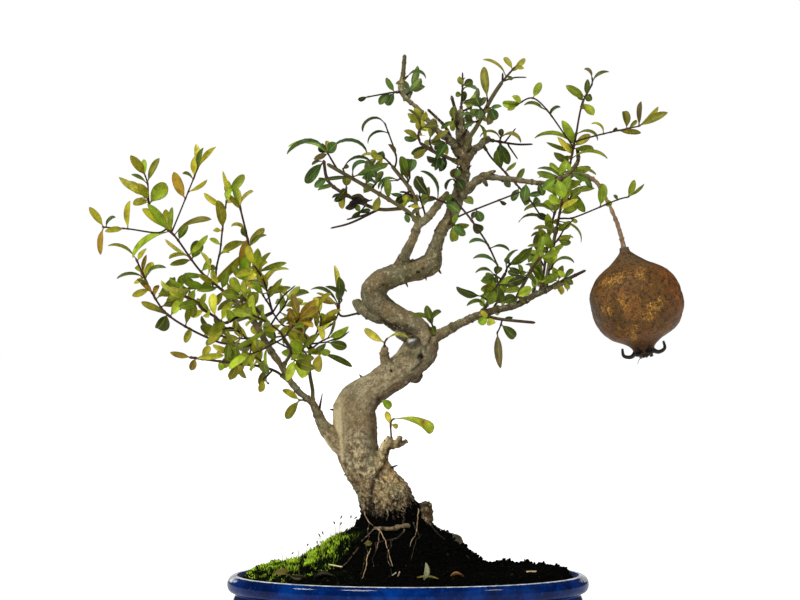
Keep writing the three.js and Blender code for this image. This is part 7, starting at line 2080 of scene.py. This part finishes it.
def rind_look(points, dents):
    """The rind's tint, with painted shade on its left, at its bottom and in its dents, and where it is
    golden, rusty and dull.
    """
    height, sideways = (points - FRUIT_START) @ FRUIT_DOWN, (points - FRUIT_START) @ FRUIT_RIGHT
    neck, left = falling(height, *NECK_FADE), smoothstep(-sideways, *LEFT_RISE)
    tint = toward(np.full(points.shape, 0.5), NECK_GREY, 0.5 * neck)
    tint = toward(tint, RED_SIDE, 0.6 * smoothstep(sideways, *RED_RISE))
    # Painted shade on the left side and at the bottom.
    tint = toward(tint, SHADED_LEFT, 0.8 * left)
    tint = toward(tint, SHADED_BOTTOM, 0.8 * smoothstep(height, *LOW_RISE))
    # Painted light on the bumps and painted shade in the dents.
    tint = tint * (1 + 0.25 * dents[:, None])
    gold = np.zeros(len(points))
    for x, z, reach in GOLD_PATCHES:
        gap = np.hypot(points[:, 0] - x, points[:, 2] - z)
        gold = np.maximum(gold, hump(gap, 0, reach))
    rusty = smoothstep(sideways, *RUST_RISE) * falling(height, *RUST_FADE)
    dull = np.maximum(neck, 0.45 * left) * (0.8 + 0.4 * dents)
    return np.clip(tint, 0.02, 1), np.stack([gold, rusty, np.clip(dull, 0, 1)], 1)


def add_fruit_body(build):
    """The fruit's skin from its neck down to its mouth, dented and slightly five-sided."""
    curve = smooth_curve([[d, 0, 0, r] for d, r in FRUIT_PROFILE], 0.75)
    drops, radii = np.vstack([curve[:, [0, 3]], FRUIT_MOUTH]).T
    turns = circle(FRUIT_SIDES)
    swell = np.sin(np.pi * np.minimum(drops / BODY_LENGTH, 1))
    shift = BODY_BOW * np.sin(np.pi * np.minimum(drops * drops / 64 / BODY_LENGTH, 1))
    ring = radii[:, None] * (1 + 0.018 * swell[:, None] * np.cos(5 * turns + 0.6))
    centre = FRUIT_START + drops[:, None] * FRUIT_DOWN + shift[:, None] * FRUIT_RIGHT
    outward = np.array([fruit_outward(turn) for turn in turns])
    smooth = (centre[:, None] + ring[:, :, None] * outward).reshape(-1, 3)
    dents, pores = fractal(smooth / 11, 0.9, 2.0, 3), fractal(smooth / 1.7, 0.6, 2.2, 3)
    relief = (0.75 * dents + 0.16 * pores) * np.repeat(smoothstep(radii, 5, 16), FRUIT_SIDES)
    points = smooth + np.tile(outward, (len(drops), 1)) * relief[:, None]
    tint, look = rind_look(points, dents)
    build.add(np.vstack([points, centre[:1], centre[-1:]]), ring_faces(len(drops), FRUIT_SIDES),
              with_ends(tint), 0, with_ends(look))


def add_sepal(build, turn, curl):
    """A thick dried sepal that curls outward from the mouth of the crown."""
    outward = fruit_outward(turn)
    places = [[4.6, -1.8, 2.8], [6, 0.6, 2.6], [8.6, 1.9 * curl, 2.0],
              [11.3 * curl + 1, 0.4, 1.4], [11.6 * curl + 0.8, -4, 0.6]]
    spine = smooth_curve([[*(CROWN_MOUTH + outward * reach + FRUIT_DOWN * drop), width]
                          for reach, drop, width in places], 0.6)
    across = unit(np.cross(FRUIT_DOWN, outward))
    normal = np.cross(across, np.gradient(spine[:, :3], axis=0))
    normal /= np.linalg.norm(normal, axis=1)[:, None]
    turns, half = circle(SEPAL_SIDES), spine[:, 3, None]
    thickness = half ** 0.5 * 0.85 * np.sin(turns) + 0.17 * np.cos(turns) ** 2 * half
    rings = (spine[:, None, :3] + (half * np.cos(turns))[:, :, None] * across
             + thickness[:, :, None] * normal[:, None])
    points = np.vstack([rings.reshape(-1, 3), spine[:1, :3], spine[-1:, :3]])
    build.add(points, ring_faces(len(spine), SEPAL_SIDES), HUSK_BLACK, 1)


def add_stamens(build):
    """Dried stamens in the mouth of the crown, and the bent style among them."""
    random = np.random.default_rng(STAMEN_SEED)
    for k in range(STAMEN_COUNT):
        outward = fruit_outward(random.uniform(0, 2 * math.pi))
        root = CROWN_MOUTH - FRUIT_DOWN * 1.5 + outward * random.uniform(1, 3.6)
        tip = root + FRUIT_DOWN * random.uniform(3, 5.6) + outward * random.uniform(-0.5, 2.2)
        stamen = smooth_curve([[*root, 0.5], [*((root + tip) / 2), 0.7], [*tip, 0.85]], 0.7)
        tone = STAMEN_BLACK if k % 4 else STAMEN_BROWN
        add_tube(build, stamen, 6, tone * random.uniform(0.6, 1.4), 1)
    start = CROWN_MOUTH + FRUIT_DOWN * 0.6 + FRONT * 3
    style = smooth_curve([[*(start + FRUIT_DOWN * drop - FRUIT_RIGHT * aside), radius]
                          for drop, aside, radius in ((0, 0, 0.4), (2.5, 1.5, 0.3),
                                                      (3.6, 4, 0.25), (6, 5.6, 0.2))], 0.6)
    add_tube(build, style, 6, STYLE_BLACK, 1)


def make_fruit(rind, husk):
    build = Builder()
    add_fruit_body(build)
    stalk = smooth_curve([[*(FRUIT_START + FRUIT_DOWN * drop), radius]
                          for drop, radius in ((-1.6, 2.7), (0.2, 3.0), (1.4, 3.3))], 0.4)
    add_tube(build, stalk, 20, STALK_BROWN, 1)
    for k in range(SEPAL_COUNT):
        add_sepal(build, 2 * math.pi * (k + 0.08) / SEPAL_COUNT, 1 if k % 3 == 0 else 0.55)
    add_stamens(build)
    dress(build.make("hanging_fruit", [rind, husk]), "rind", "fruit")


# ---------------------------------------------------------------- litter
# Each fallen leaf has a colour halfway between two.
FALLEN_TONES = [(0x6E6A1E, 0x5A5A1C), (0x1E190E, 0x2A2212), (0xA8623A, 0x8A5A34)]
# Straws and stubs of litter: [x, y, lift off the soil] at each end, radius and colour.
STRAWS = [[[-46.5, -33, 2.5], [-38.7, -38, 2.5], 0.45, 0xCFC48C],
          [[-6, -58, 1], [-5, -60, 4.5], 0.42, 0xB8988C],
          [[-10, -57, 0.8], [-7, -59, 3.5], 0.4, 0x9AA07A],
          [[70, -22, 1.5], [76, -23, 1.8], 0.7, 0xB9A27A]]
# Loose leaves on the soil, and shrivelled ones on a crown twig:
# root, heading, lean, length, width, arch, roll, colour.
LOOSE_LEAVES = [
    ([-79.5, -37, 73.6], 3, -10, 9.5, 4.6, 45, -35, 0x5A5016),
    ([-70.5, -43, 74], -8, 15, 12, 3.8, 25, 30, 0x3E3418),
    ([8.4, -61, 71.5], 82, 0, 12.5, 4.4, 80, 30, 0x9C9E72),
    ([26.5, -8, 95.5], -52, 10, 8.5, 5.5, 20, 10, 0x3E3C26),
    ([-26, -29, 91], 5, 15, 5, 3.6, 20, 20, 0x5A5C20),
    ([-21.5, -1, 294.5], 176, 5, 13, 6, -70, 40, 0x1E1914),
    ([-29, -1, 295.5], 215, 5, 11, 5, 50, -30, 0x171310),
    ([-33, -1, 295], 265, 10, 7, 4, 60, 20, 0x1A1511),
    ([-38, 3, 297], 190, 10, 8, 3.5, 50, 60, 0x2A2119),
]

# Leaves on the front of the limb that carries the fruit, with the same entries.
LIMB_LEAVES = [
    ([88, -24.5, 306], 288, 15, 12.5, 7.6, 25, 0, 0x7E9A18),
    ([87.6, -24.3, 306.5], 222, 10, 11, 5.2, 30, 10, 0x68841A),
    ([88, -25, 307.4], 168, 0, 12.5, 4.2, 45, -20, 0x5A7418),
    ([88.6, -25.4, 307.8], 62, 5, 10, 4.6, 20, 0, 0x7A9220),
    ([96.4, -19.5, 309], 246, 10, 11.5, 5.2, 30, 0, 0x74901A),
    ([97, -20, 309.6], 338, 5, 11, 4.2, 50, 10, 0x50681A),
    ([96.6, -20, 309.8], 118, 5, 9, 3.6, 30, 0, 0x6E8A1C),
    ([70, -20.6, 304], 262, 5, 11.5, 6.4, 15, 0, 0x3C5420),
    ([77, -21.4, 303.4], 292, 10, 8, 5, 20, 0, 0x2C3E18),
    ([105, -15, 308], 300, 10, 9, 3.4, 60, 0, 0x3C5020),
]


def on_soil(x, y, lift=0.0):
    return np.array([x, y, float(soil_height(x, y)) + lift])


def make_limb_leaves(leaf_look):
    build = Builder()
    add_listed_leaves(build, LIMB_LEAVES, np.random.default_rng(LIMB_LEAF_SEED))
    dress(build.make("limb_leaves", [leaf_look], SHARP_ANGLE), "leaf")


def make_fallen_leaf(number, dry, random):
    x, y, heading, length, width, roll = FALLEN_LEAVES[number]
    turn = math.radians(heading)
    root = on_soil(x, y)
    along = unit(on_soil(x + length * math.cos(turn), y + length * math.sin(turn)) - root)
    leaf = {"along": along, "face": face_of(along, UP, roll), "length": length,
            "width": width, "arch": math.radians(24), "base": root + UP * 1.4}
    build = Builder()
    add_leaf(build, leaf, 0.5 * sum(srgb(code) for code in FALLEN_TONES[number]), random, 0.4, PLAIN_SPREAD)
    name = f"leaf_{number + 1}"
    dress(build.make("dry_" + name, [dry]), "dry_leaf", "fallen_" + name)


def make_straws(dry):
    build = Builder()
    for start, end, radius, tone in STRAWS:
        curve = smooth_curve([[*on_soil(*start), radius], [*on_soil(*end), radius]], 1.0)
        add_tube(build, curve, 6, srgb(tone))
    dress(build.make("straws", [dry]), "dry_leaf")


def make_litter(dry):
    random = np.random.default_rng(LITTER_SEED)
    for number in range(len(FALLEN_LEAVES)):
        make_fallen_leaf(number, dry, random)
    make_straws(dry)
    build = Builder()
    add_listed_leaves(build, LOOSE_LEAVES, random)
    dress(build.make("loose_leaves", [dry]), "dry_leaf")


# ---------------------------------------------------------------- floor, light and camera
SOFT_LIGHT = 0.14
FLOOR_GLOW = 0.34
FLOOR_REACH = 9000
# Distant lights: name, the side each comes from, strength, and its width in degrees.
LIGHTS = [("key", (-1.1, -1.9, 2.9), 1.95, 14), ("fill", (2.2, -2.4, 1.0), 0.4, 60),
          ("glint_left", (-2.02, -1.0, 2.17), 1.5, 11), ("glint_right", (1.7, -1.4, 2.25), 0.6, 9)]
LIT_PLACE = Vector((0, 0, 0.2))
CAMERA_PLACE = (-4.8 * MM, -1600 * MM, 234.4 * MM)
CAMERA_LENS, CAMERA_SENSOR, CAMERA_SIGHT = 120, 36, 50


def make_floor():
    s = Shader("floor_paint", Roughness=0.9, Specular_IOR_Level=0.1,
               Emission_Color=(1, 1, 1, 1), Emission_Strength=FLOOR_GLOW)
    s.set("Base Color", s.ramp(s.noise(30, 3), (0.3, 0.86), (0.7, 0.9)))
    quarters = ((-1, -1), (1, -1), (1, 1), (-1, 1))
    corners = [[x * FLOOR_REACH, y * FLOOR_REACH, 0] for x, y in quarters]
    build = Builder()
    build.add(corners, [[0, 1, 2, 3]], [1, 1, 1])
    build.make("floor", [s.material])


def make_world():
    """Soft light from all sides, with plain white behind the plant."""
    world = bpy.data.worlds.new("studio")
    bpy.context.scene.world = world
    world.use_nodes = True
    tree = world.node_tree
    soft, white = tree.nodes["Background"], tree.nodes.new("ShaderNodeBackground")
    for background, strength in ((soft, SOFT_LIGHT), (white, 1.0)):
        background.inputs["Color"].default_value = (1, 1, 1, 1)
        background.inputs["Strength"].default_value = strength
    rays = tree.nodes.new("ShaderNodeLightPath")
    both = tree.nodes.new("ShaderNodeMixShader")
    sources = (rays.outputs["Is Camera Ray"], soft.outputs[0], white.outputs[0])
    for source, socket in zip(sources, both.inputs):
        tree.links.new(source, socket)
    tree.links.new(both.outputs[0], tree.nodes["World Output"].inputs["Surface"])


def make_lights():
    for name, place, strength, width in LIGHTS:
        light = bpy.data.lights.new(name, "SUN")
        light.energy = strength
        light.angle = math.radians(width)
        turn = (LIT_PLACE - Vector(place)).to_track_quat("-Z", "Y")
        link(name, light, place).rotation_euler = turn.to_euler()


def make_camera():
    camera = bpy.data.cameras.new("view")
    camera.lens = CAMERA_LENS
    camera.sensor_width = CAMERA_SENSOR
    camera.clip_end = CAMERA_SIGHT
    seat = link("view", camera, CAMERA_PLACE)
    seat.rotation_euler = (math.pi / 2, 0, 0)
    bpy.context.scene.camera = seat
    bpy.context.scene.view_settings.view_transform = "Standard"


# ---------------------------------------------------------------- the whole
wood_table = register_wood()

make_floor()
make_world()
make_lights()
make_camera()
leaf_look = leaf_material()
make_pot(glaze_material())
make_soil(soil_material())
make_moss(moss_material())
make_trunk(bark_material())
make_sprays(leaf_look, twig_material(), grow_leaves())
make_limb_leaves(leaf_look)
make_fruit(rind_material(), dry_material("dry_husk", 0.6, 900))
make_litter(dry_material("dry_litter", 0.7, 1200))
